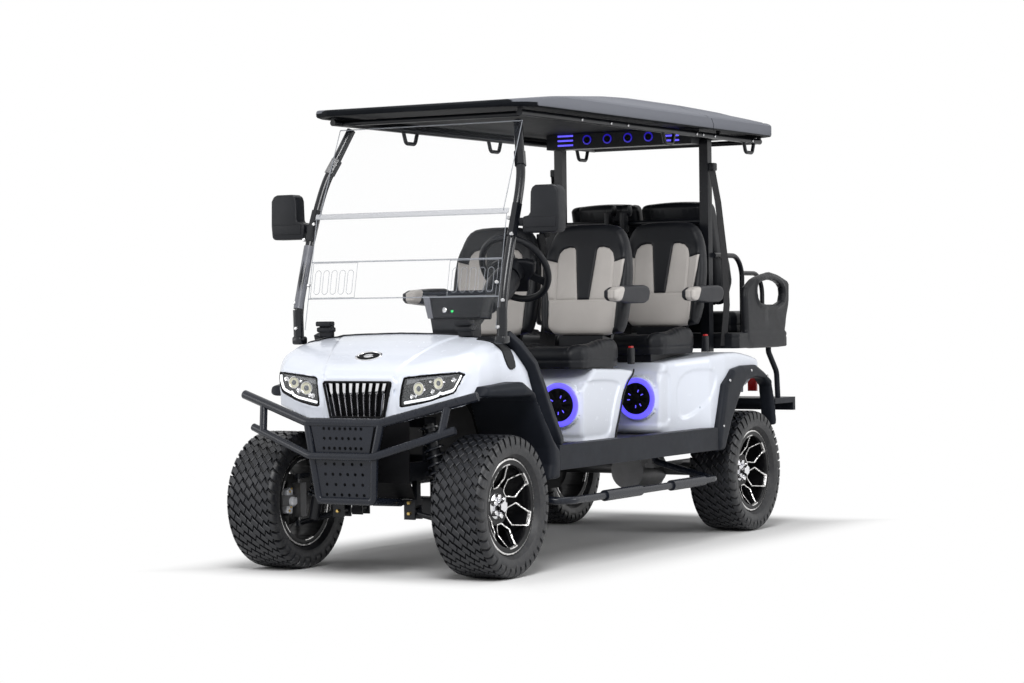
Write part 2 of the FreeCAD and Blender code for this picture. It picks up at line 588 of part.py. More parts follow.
# Windscreen: side struts, cross bar and two panes, under the roof's rim
ROOF_INSET = 40.0
ROOF_DEPTH = 126.0
ROOF_X = CABIN_X - ROOF_INSET
ROOF_RIM_BOTTOM = ROOF_HEIGHT - ROOF_DEPTH
STRUT_RADIUS = 18.0
STRUT_BEND = 90.0
STRUT_SHARES = ((1.016, 0.045, -0.0271), (1.02, 0.042, 0.0945), (1.012, 0.087, 0.3885),
                (1.0, 0.124, 0.5864), (0.942, 0.142, 0.6825), (0.846, 0.172, 0.8315))
MID_BAR_RADIUS = 9.0
PANE_THICKNESS = 5.0
LOWER_PANE_SHARE = 0.956
UPPER_PANE_SHARE = 0.924
PANE_LEAD = 24.0
MID_BAR_SHARE = 0.39
CLIP_SHARE = 0.62
CLIP_WIDTH = 36.0
ROOF_RAIL_RADIUS = 14.0
ROOF_RAIL_INSET = 98.0
ROOF_RAIL_DROP = 146.0
ROOF_RAIL_X = ROOF_X - ROOF_RAIL_INSET
ROOF_RAIL_Z = ROOF_HEIGHT - ROOF_RAIL_DROP
WINDSCREEN_TOP_SETBACK = 402.0
LOWER_PANE_HALF = COWL_X * LOWER_PANE_SHARE
UPPER_PANE_HALF = COWL_X * UPPER_PANE_SHARE
STRUT_FOOT_LENGTH = 70.0
STRUT_FOOT_WIDTH = 24.0


def above_cowl(share):
    """A level between the top of the cowl and the top of the roof."""
    return COWL_HEIGHT + share * (ROOF_HEIGHT - COWL_HEIGHT)


def strut_points():
    """The left strut's bends, from its foot to the roof rail."""
    return [V(COWL_X * x, FRONT_AXLE_Y + y * WHEELBASE, above_cowl(z)) for x, y, z in STRUT_SHARES]


def make_windscreen_struts(cowl):
    """Two bent struts with their mid bar."""
    points = strut_points()
    strut = bent_bar(points, STRUT_RADIUS, STRUT_BEND)
    foot_z = points[0].z - STRUT_FOOT_LENGTH
    foot = box(points[0].x - STRUT_RADIUS, points[0].x + STRUT_RADIUS,
               points[0].y - STRUT_FOOT_WIDTH, points[0].y + STRUT_FOOT_WIDTH,
               foot_z, points[0].z + STRUT_FOOT_WIDTH)
    left = fuse([strut, foot]).cut(cowl)
    left = max(left.Solids, key=lambda solid: solid.Volume)
    bar_point = points[2] + (points[3] - points[2]) * MID_BAR_SHARE
    bar = rod(V(-bar_point.x, bar_point.y, bar_point.z), bar_point, MID_BAR_RADIUS)
    clips = []
    for side in (-1, 1):
        x = side * LOWER_PANE_HALF * CLIP_SHARE
        clips.append(box(x - CLIP_WIDTH / 2, x + CLIP_WIDTH / 2, bar_point.y - PANE_LEAD + FACE_GAP,
                         bar_point.y, bar_point.z - MID_BAR_RADIUS / 2, bar_point.z))
    save("windscreen_struts", [fuse([left, mirrored(left), bar] + clips)])
    return bar_point


def make_windscreen_panes(bar_point):
    """Two flat panes, the upper one in front of the struts."""
    foot_y = FRONT_AXLE_Y + COWL_SETBACK - STRUT_RADIUS
    foot_z = COWL_HEIGHT + FACE_GAP
    joint_y = bar_point.y - PANE_LEAD
    joint_z = bar_point.z
    top_y = strut_points()[-1].y - PANE_LEAD
    top_z = strut_points()[-1].z
    lower = prism_along_x([(foot_y, foot_z), (joint_y, joint_z - PANE_THICKNESS),
                           (joint_y - PANE_THICKNESS, joint_z - PANE_THICKNESS),
                           (foot_y - PANE_THICKNESS, foot_z)], -LOWER_PANE_HALF, LOWER_PANE_HALF)
    upper = prism_along_x([(joint_y, joint_z), (top_y, top_z), (top_y - PANE_THICKNESS, top_z),
                           (joint_y - PANE_THICKNESS, joint_z)],
                          -UPPER_PANE_HALF, UPPER_PANE_HALF)
    save("windscreen_panes", [lower, upper])


# Mirrors
MIRROR_SETBACK = 247.0
MIRROR_GAP = 48.0
MIRROR_WIDTH = 174.0
MIRROR_SHARE = 0.3755
MIRROR_HEIGHT = 200.0
MIRROR_INNER_X = COWL_X + MIRROR_GAP
MIRROR_OUTER_X = MIRROR_INNER_X + MIRROR_WIDTH
MIRROR_BOTTOM = above_cowl(MIRROR_SHARE)
MIRROR_TOP = MIRROR_BOTTOM + MIRROR_HEIGHT
MIRROR_DEPTH = 85.0
MIRROR_ARM_RADIUS = 11.0


def make_mirrors():
    """A mirror housing on a short arm beside each strut."""
    y = FRONT_AXLE_Y + MIRROR_SETBACK
    height = MIRROR_TOP - MIRROR_BOTTOM
    inner = MIRROR_INNER_X
    outer = MIRROR_OUTER_X
    slope = (outer - inner) / 5
    outline = [(inner, MIRROR_BOTTOM), (outer, MIRROR_BOTTOM), (outer, MIRROR_BOTTOM + height / 2),
               (outer - slope, MIRROR_TOP), (inner + slope, MIRROR_TOP),
               (inner, MIRROR_BOTTOM + height / 2)]
    housing = prism_along_y(outline, y - MIRROR_DEPTH / 2, y + MIRROR_DEPTH / 2)
    arm_z = MIRROR_BOTTOM + height / 6
    strut = strut_points()[2]
    arm_y = strut.y + MIRROR_ARM_RADIUS
    arm = rod(V(strut.x + STRUT_RADIUS + FACE_GAP, arm_y, arm_z),
              V(inner + MIRROR_ARM_RADIUS, arm_y, arm_z), MIRROR_ARM_RADIUS)
    save("mirrors", both_sides(fuse([housing, arm])))


# Floor, fire wall and rockers
FIREWALL_SETBACK = 357.0
FIREWALL_THICKNESS = 12.0
FLOOR_REAR_SETBACK = 1960.0
ROCKER_DEPTH = 105.0
ROCKER_SILL = 20.0
FLOOR_REAR_Y = FRONT_AXLE_Y + FLOOR_REAR_SETBACK
FLOOR_FRONT_Y = FRONT_AXLE_Y + FIREWALL_SETBACK


def make_floor():
    """Flat floor with a fire wall at its front, and rockers along both edges."""
    half = ROCKER_INNER_X
    inner = COWL_X - 2 * COWL_WALL - FACE_GAP
    slab = box(-half, half, JAMB_Y + FACE_GAP, FLOOR_REAR_Y, FLOOR_UNDERSIDE, FLOOR_HEIGHT)
    toe = box(-inner, inner, FLOOR_FRONT_Y, JAMB_Y + OVERRUN, FLOOR_UNDERSIDE, FLOOR_HEIGHT)
    wall = box(-inner, inner, FLOOR_FRONT_Y, FLOOR_FRONT_Y + FIREWALL_THICKNESS,
               FLOOR_HEIGHT, DASH_BOTTOM)
    lip = box(-inner, inner, DASH_Y, FLOOR_FRONT_Y + FIREWALL_THICKNESS, DASH_BOTTOM,
              DASH_BOTTOM + FIREWALL_THICKNESS)
    save("floor_pan", [fuse([slab, toe, wall, lip])])


def make_rockers(cowl, rear_body):
    """Sill panels from the front flares to the rear flares."""
    front = around_front_axle(FRONT_FLARE_EDGE_SHARES)[-1][0]
    rear = around_rear_axle(REAR_FLARE_EDGE_SHARES)[0][0]
    rocker = box(ROCKER_INNER_X, ROCKER_OUTER_X, front, rear,
                 FLOOR_HEIGHT + ROCKER_SILL - ROCKER_DEPTH, FLOOR_HEIGHT + ROCKER_SILL)
    rocker = rocker.cut(cowl).cut(rear_body)
    save("rocker_panels", both_sides(max(rocker.Solids, key=lambda solid: solid.Volume)))


# Seat pods and rear body
POD_WALL = 6.0
POD_INSET = 143.0
POD_SETBACK = 864.0
POD_TOP = 828.0
POD_LENGTH = 486.0
POD_SHARES = ((0.0, 0.0), (0.61, 0.0), (1.0, 0.90), (1.0, 0.945), (0.0, 1.0))
SPEAKER_X = 350.0
SPEAKER_Z = 668.0
SPEAKER_RADIUS = 97.0
SPEAKER_DEPTH = 14.0
REAR_BODY_INSET = 20.0
REAR_BODY_REACH = 215.0
REAR_BODY_TOP = 871.0
REAR_BODY_TAIL_TOP = 810.0
REAR_BODY_TAIL_BOTTOM = 600.0
POD_X = CABIN_X - POD_INSET
REAR_BODY_X = CABIN_X - REAR_BODY_INSET
POD_FRONT_Y = FRONT_AXLE_Y + POD_SETBACK
SECOND_POD_Y = POD_FRONT_Y + POD_PITCH
REAR_BODY_Y = REAR_AXLE_Y + REAR_BODY_REACH


def pod_block(inset):
    """The front pod's closed form, shrunk by an inset."""
    outline = outline_from(POD_SHARES, POD_FRONT_Y, POD_LENGTH, FLOOR_HEIGHT,
                           POD_TOP - FLOOR_HEIGHT)
    middle = POD_FRONT_Y + POD_LENGTH / 2
    shrunk = []
    for y, z in outline:
        shrunk.append((y + inset if y < middle else y - inset,
                       z - inset if z > FLOOR_HEIGHT else z - OVERRUN if inset else z))
    return prism_along_x(shrunk, -POD_X + inset, POD_X - inset)


def make_front_pod():
    """Hollow moulding under the front seats."""
    shell = pod_block(0).cut(pod_block(POD_WALL))
    save("front_seat_pod", [shell])


def rear_body_block(inset):
    """Second pod and rear body in one outline, shrunk by an inset."""
    bottom = FLOOR_HEIGHT - (OVERRUN if inset else 0)
    front = SECOND_POD_Y + inset
    rear = REAR_BODY_Y - inset
    shoulder = REAR_AXLE_Y - REAR_BODY_REACH / 2
    rise = SECOND_POD_Y + POD_LENGTH
    outline = [(front, bottom), (rear, bottom), (rear, REAR_BODY_TAIL_TOP - inset),
               (shoulder, REAR_BODY_TOP - inset), (rise, REAR_BODY_TOP - inset),
               (front, POD_TOP - inset)]
    side = prism_along_x(outline, -CABIN_WIDTH, CABIN_WIDTH)
    flare_start = around_rear_axle(REAR_FLARE_EDGE_SHARES)[1][0]
    half = [(POD_X - inset, SECOND_POD_Y + inset), (POD_X - inset, SECOND_POD_Y + POD_LENGTH / 4),
            (REAR_BODY_X - inset, flare_start), (REAR_BODY_X - inset, REAR_BODY_Y - inset)]
    plan = half + [(-x, y) for x, y in reversed(half)]
    return side.common(prism_along_z(plan, 0, COWL_HEIGHT))


def rear_arch_space():
    """Everything inside the rear arch openings and behind them."""
    top = around_rear_axle(REAR_ARCH_SHARES)
    outline = [(REAR_END_Y, -OVERRUN), (REAR_END_Y, REAR_BODY_TAIL_BOTTOM),
               (top[0][0], REAR_BODY_TAIL_BOTTOM)] + top + [(top[-1][0], -OVERRUN)]
    return prism_along_x(outline, -CABIN_WIDTH, CABIN_WIDTH)


def make_rear_body():
    """Hollow second pod that widens into the rear fenders."""
    shell = rear_body_block(0).cut(rear_body_block(POD_WALL)).cut(rear_arch_space())
    save("rear_body", [max(shell.Solids, key=lambda solid: solid.Volume)])
    return rear_body_block(0)


def make_pod_speakers():
    """Round speakers on the front faces of both pods."""
    speakers = []
    for face in (POD_FRONT_Y, SECOND_POD_Y):
        speaker = rod(V(SPEAKER_X, face - SPEAKER_DEPTH, SPEAKER_Z),
                      V(SPEAKER_X, face, SPEAKER_Z), SPEAKER_RADIUS)
        speakers += both_sides(speaker)
    save("pod_speakers", speakers)


# Seats
SEAT_X = 240.0
SEAT_WIDTH = 452.0
CUSHION_HEIGHT = 112.0
CUSHION_LENGTH = 430.0
CUSHION_SETBACK = 835.0
BACK_SETBACK = 1300.0
BACK_MIDDLE_Z = 1267.0
BACK_BOTTOM = 965.0
BACK_TOP = 1487.0
BACK_THICKNESS = 100.0
BACK_RECLINE = 10.0
SECOND_ROW_RISE = 30.0
SEAT_RAIL = 30.0
CUSHION_BASE = POD_TOP + 4 * FACE_GAP
SEAT_OUTLINE_SHARES = ((-0.84, 0.0), (0.84, 0.0), (1.0, 0.12), (1.0, 0.52), (0.80, 0.80),
                       (0.62, 1.0), (-0.62, 1.0), (-0.80, 0.80), (-1.0, 0.52), (-1.0, 0.12))


def seat_back(x, front_y, rise):
    """One reclined backrest with its shoulders narrowed to the headrest."""
    height = BACK_TOP - BACK_BOTTOM
    outline = [(x + share * SEAT_WIDTH / 2, BACK_BOTTOM + z * height)
               for share, z in SEAT_OUTLINE_SHARES]
    back = prism_along_y(outline, front_y, front_y + BACK_THICKNESS)
    back.rotate(V(x, front_y, BACK_MIDDLE_Z), V(1, 0, 0), -BACK_RECLINE)
    back.translate(V(0, 0, rise))
    return back


def pod_top_at(row, y):
    """The level just above a pod's sloping top at one place along the cart."""
    start = (POD_FRONT_Y, SECOND_POD_Y)[row]
    rear_height = (FLOOR_HEIGHT + POD_SHARES[3][1] * (POD_TOP - FLOOR_HEIGHT), REAR_BODY_TOP)[row]
    return POD_TOP + (y - start) / POD_LENGTH * (rear_height - POD_TOP) + FACE_GAP


def make_seats():
    """Cushions, backs and their frames for both forward-facing rows."""
    cushions = []
    backs = []
    frames = []
    for row in (0, 1):
        shift = row * SEAT_PITCH
        cushion_y = FRONT_AXLE_Y + CUSHION_SETBACK + shift
        back_y = FRONT_AXLE_Y + BACK_SETBACK + shift
        base = CUSHION_BASE + row * (REAR_BODY_TOP - POD_TOP)
        rise = row * SECOND_ROW_RISE
        for side in (-1, 1):
            x = side * SEAT_X
            cushions.append(box(x - SEAT_WIDTH / 2, x + SEAT_WIDTH / 2, cushion_y,
                                cushion_y + CUSHION_LENGTH, base,
                                CUSHION_BASE + CUSHION_HEIGHT + rise))
            backs.append(seat_back(x, back_y, rise))
        lean = math.tan(math.radians(BACK_RECLINE))
        for x in (-SEAT_X, SEAT_X):
            foot_y = cushion_y + CUSHION_LENGTH + FACE_GAP
            bottom = BACK_BOTTOM + rise
            top = bottom + SEAT_RAIL
            rear_y = back_y + BACK_THICKNESS - lean * (BACK_MIDDLE_Z - BACK_BOTTOM)
            bracket = prism_along_x([(foot_y, base), (foot_y + SEAT_RAIL, base),
                                     (rear_y + SEAT_RAIL, bottom),
                                     (rear_y + 2 * SEAT_RAIL, top + 2 * SEAT_RAIL),
                                     (rear_y + SEAT_RAIL, top + 2 * SEAT_RAIL), (foot_y, bottom)],
                                    x - SEAT_WIDTH / 4, x + SEAT_WIDTH / 4)
            tray_front = cushion_y + 2 * SEAT_RAIL
            tray = prism_along_x([(tray_front, pod_top_at(row, tray_front)),
                                  (foot_y + SEAT_RAIL, pod_top_at(row, foot_y + SEAT_RAIL)),
                                  (foot_y + SEAT_RAIL, base + FACE_GAP),
                                  (foot_y, base - FACE_GAP),
                                  (tray_front, base - FACE_GAP)],
                                 x - SEAT_WIDTH / 3, x + SEAT_WIDTH / 3)
            frames.append(fuse([bracket, tray]))
    solid_backs = Part.makeCompound(backs)
    save("seat_cushions", cushions)
    save("seat_backs", backs)
    save("seat_frames", [frame.cut(solid_backs) for frame in frames])


# Armrests
ARMREST_X = 529.0
ARMREST_WIDTH = 74.0
ARMREST_HEIGHT = 84.0
ARMREST_LENGTH = 298.0
ARMREST_PIVOT_SETBACK = 1306.0
ARMREST_Z = 1152.0
PIVOT_RADIUS = 11.0
PIVOT_BOSS_RADIUS = 24.0


def make_armrests():
    """Four padded armrests that fold up beside the seat backs."""
    pins = []
    for row, name in enumerate(("front", "second")):
        pivot_y = FRONT_AXLE_Y + ARMREST_PIVOT_SETBACK + row * SEAT_PITCH
        pad = box(ARMREST_X - ARMREST_WIDTH / 2, ARMREST_X + ARMREST_WIDTH / 2,
                  pivot_y - ARMREST_LENGTH, pivot_y,
                  ARMREST_Z - ARMREST_HEIGHT / 2, ARMREST_Z + ARMREST_HEIGHT / 2)
        knuckle = rod(V(ARMREST_X - ARMREST_WIDTH / 2, pivot_y, ARMREST_Z),
                      V(ARMREST_X + ARMREST_WIDTH / 2, pivot_y, ARMREST_Z), ARMREST_HEIGHT / 2)
        bore = rod(V(SEAT_X, pivot_y, ARMREST_Z), V(ARMREST_X + ARMREST_WIDTH / 4, pivot_y, ARMREST_Z),
                   PIVOT_RADIUS + BEARING_GAP)
        armrest = fuse([pad, knuckle]).cut(bore)
        save(f"armrest_{name}_left", [armrest])
        save(f"armrest_{name}_right", [mirrored(armrest)])
        seat_side = SEAT_X + SEAT_WIDTH / 2 + FACE_GAP
        pin = rod(V(seat_side, pivot_y, ARMREST_Z),
                  V(ARMREST_X + ARMREST_WIDTH / 4 - BEARING_GAP, pivot_y, ARMREST_Z), PIVOT_RADIUS)
        boss = rod(V(seat_side, pivot_y, ARMREST_Z),
                   V(ARMREST_X - ARMREST_WIDTH / 2 - PIVOT_RADIUS / 2, pivot_y, ARMREST_Z),
                   PIVOT_BOSS_RADIUS)
        pins += both_sides(fuse([pin, boss]))
    save("armrest_pivots", pins)


# Roof
ROOF_FRONT_SETBACK = 225.0
ROOF_REAR_SETBACK = 2790.0
ROOF_LIP = 38.0
ROOF_RECESS = 36.0
ROOF_PLAN_SHARES = ((0.0, 0.0), (0.75, 0.006), (0.85, 0.018), (0.97, 0.045), (1.0, 0.075),
                    (1.0, 0.90), (0.97, 0.965), (0.88, 0.99), (0.0, 1.0))
ROOF_SIDE_SHARES = ((0.0, 0.0), (0.0, 0.28), (0.235, 0.74), (0.50, 1.0), (0.71, 1.0),
                    (0.93, 0.84), (1.0, 0.60), (1.0, 0.0))
ROOF_CROSS_SHARES = ((1.0, 0.0), (1.0, 0.41), (0.74, 0.85), (0.66, 1.0))
ROOF_FRONT_Y = FRONT_AXLE_Y + ROOF_FRONT_SETBACK
ROOF_LENGTH = ROOF_REAR_SETBACK - ROOF_FRONT_SETBACK


def make_roof():
    """Moulded canopy with a lowered rim all round."""
    half = [(ROOF_X * x, ROOF_FRONT_Y + y * ROOF_LENGTH) for x, y in ROOF_PLAN_SHARES]
    plan = half + [(-x, y) for x, y in reversed(half[1:-1])]
    side = outline_from(ROOF_SIDE_SHARES, ROOF_FRONT_Y, ROOF_LENGTH, ROOF_RIM_BOTTOM, ROOF_DEPTH)
    right = [(ROOF_X * x, ROOF_RIM_BOTTOM + z * ROOF_DEPTH) for x, z in ROOF_CROSS_SHARES]
    cross = right + [(-x, z) for x, z in reversed(right)]
    roof = prism_along_z(plan, ROOF_RIM_BOTTOM, ROOF_HEIGHT)
    roof = roof.common(prism_along_x(side, -ROOF_X, ROOF_X))
    roof = roof.common(prism_along_y(cross, ROOF_FRONT_Y, ROOF_FRONT_Y + ROOF_LENGTH))
    recess = box(-ROOF_X + 2 * ROOF_LIP, ROOF_X - 2 * ROOF_LIP, ROOF_FRONT_Y + ROOF_LIP,
                 ROOF_FRONT_Y + ROOF_LENGTH - ROOF_LIP, ROOF_RIM_BOTTOM - OVERRUN,
                 ROOF_RIM_BOTTOM + ROOF_RECESS)
    save("roof_canopy", [roof.cut(recess)])


RAIL_FRONT_SETBACK = 330.0
RAIL_REAR_SETBACK = 2740.0
HANDLE_LENGTH = 124.0
HANDLE_FOOT_SHARE = 0.62
HANDLE_DROP = 60.0
HANDLE_RADIUS = 9.0
HANDLE_BEND = 22.0
HANDLE_LEFT_SETBACKS = (1720.0, 2610.0)
HANDLE_RIGHT_SETBACKS = (960.0, 1720.0, 2610.0)
REAR_POST_SETBACK = 2252.0
REAR_POST_X = 404.0
REAR_POST_WIDTH = 46.0
BACK_BAR_RADIUS = 13.0
BACK_BAR_SHARES = (0.22, 0.80)
REAR_BACK_X = 200.0
REAR_BACK_WIDTH = 384.0
REAR_BACK_SETBACK = 2300.0
REAR_BACK_TOP = 1614.0
REAR_BACK_BOTTOM = 1088.0
REAR_BACK_DEPTH = 306.0
REAR_BACK_SHARES = ((0.0, 0.93), (0.065, 0.985), (0.325, 1.0), (0.60, 0.68), (0.89, 0.458),
                    (1.0, 0.234), (0.83, 0.07), (0.63, 0.0), (0.44, 0.10))


def make_roof_rails():
    """Gutter rails with cross tubes and drop handles."""
    front = FRONT_AXLE_Y + RAIL_FRONT_SETBACK
    rear = FRONT_AXLE_Y + RAIL_REAR_SETBACK
    pieces = []
    for side, handles in ((1, HANDLE_LEFT_SETBACKS), (-1, HANDLE_RIGHT_SETBACKS)):
        x = side * ROOF_RAIL_X
        pieces.append(rod(V(x, front, ROOF_RAIL_Z), V(x, rear, ROOF_RAIL_Z), ROOF_RAIL_RADIUS))
        for setback in handles:
            y = FRONT_AXLE_Y + setback
            z = ROOF_RAIL_Z
            low = ROOF_RAIL_Z - HANDLE_DROP
            half = HANDLE_LENGTH / 2
            foot = half * HANDLE_FOOT_SHARE
            pieces.append(bent_bar([V(x, y - half, z), V(x, y - foot, low),
                                    V(x, y + foot, low), V(x, y + half, z)],
                                   HANDLE_RADIUS, HANDLE_BEND))
    for y in (FRONT_AXLE_Y + WINDSCREEN_TOP_SETBACK, FRONT_AXLE_Y + REAR_POST_SETBACK, rear):
        pieces.append(rod(V(-ROOF_RAIL_X, y, ROOF_RAIL_Z), V(ROOF_RAIL_X, y, ROOF_RAIL_Z),
                          ROOF_RAIL_RADIUS * 0.9))
    for y in (front, FRONT_AXLE_Y + REAR_POST_SETBACK, rear - ROOF_RAIL_RADIUS):
        for side in (-1, 1):
            x = side * ROOF_RAIL_X
            pieces.append(box(x - HANDLE_RADIUS, x + HANDLE_RADIUS, y, y + ROOF_RAIL_RADIUS,
                              ROOF_RAIL_Z, ROOF_RIM_BOTTOM + ROOF_RECESS - FACE_GAP))
    save("roof_rails", [fuse(pieces)])


def rear_back_face(z):
    """Where the bench back's front face lies at a level."""
    top, foot = REAR_BACK_SHARES[0], REAR_BACK_SHARES[-1]
    level = (z - REAR_BACK_BOTTOM) / (REAR_BACK_TOP - REAR_BACK_BOTTOM)
    share = foot[0] + (level - foot[1]) / (top[1] - foot[1]) * (top[0] - foot[0])
    return FRONT_AXLE_Y + REAR_BACK_SETBACK + share * REAR_BACK_DEPTH


def make_rear_posts():
    """Upright posts to the roof, with the bars that carry the bench backs."""
    y = FRONT_AXLE_Y + REAR_POST_SETBACK
    half = REAR_POST_WIDTH / 2
    top = ROOF_RAIL_Z - ROOF_RAIL_RADIUS * 0.9 - FACE_GAP
    post = box(REAR_POST_X - half, REAR_POST_X + half, y - half, y + half,
               REAR_BODY_TOP + FACE_GAP, top)
    pieces = both_sides(post)
    for share in BACK_BAR_SHARES:
        z = REAR_BACK_BOTTOM + share * (REAR_BACK_TOP - REAR_BACK_BOTTOM)
        pieces.append(rod(V(-REAR_POST_X, y, z), V(REAR_POST_X, y, z), BACK_BAR_RADIUS))
        for x in (-REAR_BACK_X, REAR_BACK_X):
            pieces.append(box(x - BACK_BAR_RADIUS, x + BACK_BAR_RADIUS, y,
                              rear_back_face(z + BACK_BAR_RADIUS / 2) - FACE_GAP,
                              z - BACK_BAR_RADIUS / 2, z + BACK_BAR_RADIUS / 2))
    save("rear_posts", [fuse(pieces)])


# Sound bar between the posts
SOUND_BAR_HALF = 400.0
SOUND_BAR_HEIGHT = 92.0
SOUND_BAR_DEPTH = 88.0
SOUND_BAR_SETBACK = 2150.0


def make_sound_bar():
    """Closed speaker bar hung under the roof."""
    y = FRONT_AXLE_Y + SOUND_BAR_SETBACK
    top = ROOF_RIM_BOTTOM + ROOF_RECESS - FACE_GAP
    save("sound_bar", [box(-SOUND_BAR_HALF, SOUND_BAR_HALF, y - SOUND_BAR_DEPTH / 2,
                           y + SOUND_BAR_DEPTH / 2, top - SOUND_BAR_HEIGHT, top)])


# Rear-facing bench
REAR_BASE_SETBACK = 2302.0
REAR_BASE_END_SETBACK = 2924.0
REAR_BASE_NOSE = 60.0
REAR_BASE_HEIGHT = 76.0
REAR_BASE_X = 500.0
REAR_BASE_BOTTOM = 886.0
REAR_CUSHION_X = 408.0
REAR_CUSHION_SETBACK = 2562.0
REAR_CUSHION_END_SETBACK = 2978.0
REAR_CUSHION_HEIGHT = 92.0
SIDE_ARM_X = 520.0
SIDE_ARM_WIDTH = 44.0
SIDE_ARM_SHARES = ((0.04, 0.0), (0.84, 0.0), (0.86, 0.17), (0.995, 0.58), (1.0, 0.87),
                   (0.764, 0.96), (0.555, 1.0), (0.21, 0.915), (0.0, 0.77))
SIDE_ARM_SETBACK = 2412.0
SIDE_ARM_END_SETBACK = 2954.0
SIDE_ARM_TOP = 1264.0
SIDE_ARM_HOLE_SHARES = ((0.373, 0.563), (0.814, 0.561), (0.87, 0.751), (0.766, 0.855),
                        (0.553, 0.897), (0.29, 0.855), (0.238, 0.77), (0.27, 0.627))
HINGE_RADIUS = 8.0
HINGE_PIN_RADIUS = 4.0
HINGE_WIDTH = 60.0
HINGE_X = 250.0


def make_rear_seat_base():
    """Tray under the bench, with the moulded side arms as wings."""
    y0 = FRONT_AXLE_Y + REAR_BASE_SETBACK
    y1 = FRONT_AXLE_Y + REAR_BASE_END_SETBACK
    top = REAR_BASE_BOTTOM + REAR_BASE_HEIGHT
    end = y1 + REAR_BASE_NOSE
    corner = REAR_BASE_X - REAR_BASE_NOSE
    tray = prism_along_z([(-REAR_BASE_X, y0), (REAR_BASE_X, y0), (REAR_BASE_X, y1), (corner, end),
                          (-corner, end), (-REAR_BASE_X, y1)], REAR_BASE_BOTTOM, top)
    arm_y = FRONT_AXLE_Y + SIDE_ARM_SETBACK
    arm_length = SIDE_ARM_END_SETBACK - SIDE_ARM_SETBACK
    outline = outline_from(SIDE_ARM_SHARES, arm_y, arm_length, top - REAR_BASE_HEIGHT,
                           SIDE_ARM_TOP - top + REAR_BASE_HEIGHT)
    hole = outline_from(SIDE_ARM_HOLE_SHARES, arm_y, arm_length, top - REAR_BASE_HEIGHT,
                        SIDE_ARM_TOP - top + REAR_BASE_HEIGHT)
    inner_x = SIDE_ARM_X - SIDE_ARM_WIDTH / 2
    outer_x = SIDE_ARM_X + SIDE_ARM_WIDTH / 2
    arm = prism_along_x(outline, inner_x, outer_x)
    arm = arm.cut(prism_along_x(hole, inner_x - OVERRUN, outer_x + OVERRUN))
    pieces = [tray, arm, mirrored(arm)]
    hinge_y = end + 2 * HINGE_RADIUS
    hinge_z = top + HINGE_RADIUS
    for side in (-1, 1):
        x = side * HINGE_X
        block = box(x - HINGE_WIDTH / 2, x + HINGE_WIDTH / 2, end, hinge_y,
                    top - REAR_BASE_HEIGHT / 2, hinge_z)
        eye = rod(V(x - HINGE_WIDTH / 2, hinge_y, hinge_z), V(x + HINGE_WIDTH / 2, hinge_y, hinge_z),
                  HINGE_RADIUS)
        pin = rod(V(x - 1.4 * HINGE_WIDTH, hinge_y, hinge_z), V(x + 1.4 * HINGE_WIDTH, hinge_y, hinge_z),
                  HINGE_PIN_RADIUS)
        pieces += [block, eye, pin]
    base = fuse(pieces)
    save("rear_seat_base", [base])
    return hinge_y, hinge_z


def make_rear_seat(hinge_y, hinge_z):
    """Flip-over cushion with its deck, and the two rear-facing backs."""
    y0 = FRONT_AXLE_Y + REAR_CUSHION_SETBACK
    y1 = FRONT_AXLE_Y + REAR_CUSHION_END_SETBACK
    base = REAR_BASE_BOTTOM + REAR_BASE_HEIGHT + FACE_GAP
    deck_top = base + 2 * HINGE_RADIUS
    cushion = box(-REAR_CUSHION_X, REAR_CUSHION_X, y0, y1, base, deck_top + REAR_CUSHION_HEIGHT)
    pieces = [cushion]
    bore = rod(V(-REAR_CUSHION_X, hinge_y, hinge_z), V(REAR_CUSHION_X, hinge_y, hinge_z),
               HINGE_PIN_RADIUS + BEARING_GAP)
    for side in (-1, 1):
        for end in (-1, 1):
            x = side * HINGE_X + end * (HINGE_WIDTH + FACE_GAP)
            lug = box(x - HINGE_WIDTH / 2, x + HINGE_WIDTH / 2, y1 - OVERRUN, hinge_y,
                      hinge_z, hinge_z + HINGE_RADIUS)
            eye = rod(V(x - HINGE_WIDTH / 2, hinge_y, hinge_z),
                      V(x + HINGE_WIDTH / 2, hinge_y, hinge_z), HINGE_RADIUS)
            pieces += [lug, eye]
    save("rear_seat_cushion", [fuse(pieces).cut(bore)])


def make_rear_backs():
    """Two backrests that face the rear, leaning on the posts' cross tubes."""
    outline = outline_from(REAR_BACK_SHARES, FRONT_AXLE_Y + REAR_BACK_SETBACK, REAR_BACK_DEPTH,
                           REAR_BACK_BOTTOM, REAR_BACK_TOP - REAR_BACK_BOTTOM)
    back = prism_along_x(outline, REAR_BACK_X - REAR_BACK_WIDTH / 2,
                         REAR_BACK_X + REAR_BACK_WIDTH / 2)
    save("rear_seat_backs", both_sides(back))


# Grab rails and step at the rear
GRAB_X = 432.0
GRAB_RADIUS = 12.5
GRAB_ARM_RADIUS = 11.5
GRAB_BEND = 112.0
STEP_ARM_BEND = 60.0
GRAB_LEG_SETBACK = 2598.0
GRAB_END_SETBACK = 2838.0
GRAB_TOP = 1342.0
GRAB_ARM_TOP = 1256.0
STEP_HALF = 480.0
STEP_FRONT_SETBACK = 2880.0
STEP_BOTTOM = 553.0
STEP_THICKNESS = 28.0
STEP_LIP = 68.0
STEP_ARM_RADIUS = 14.0


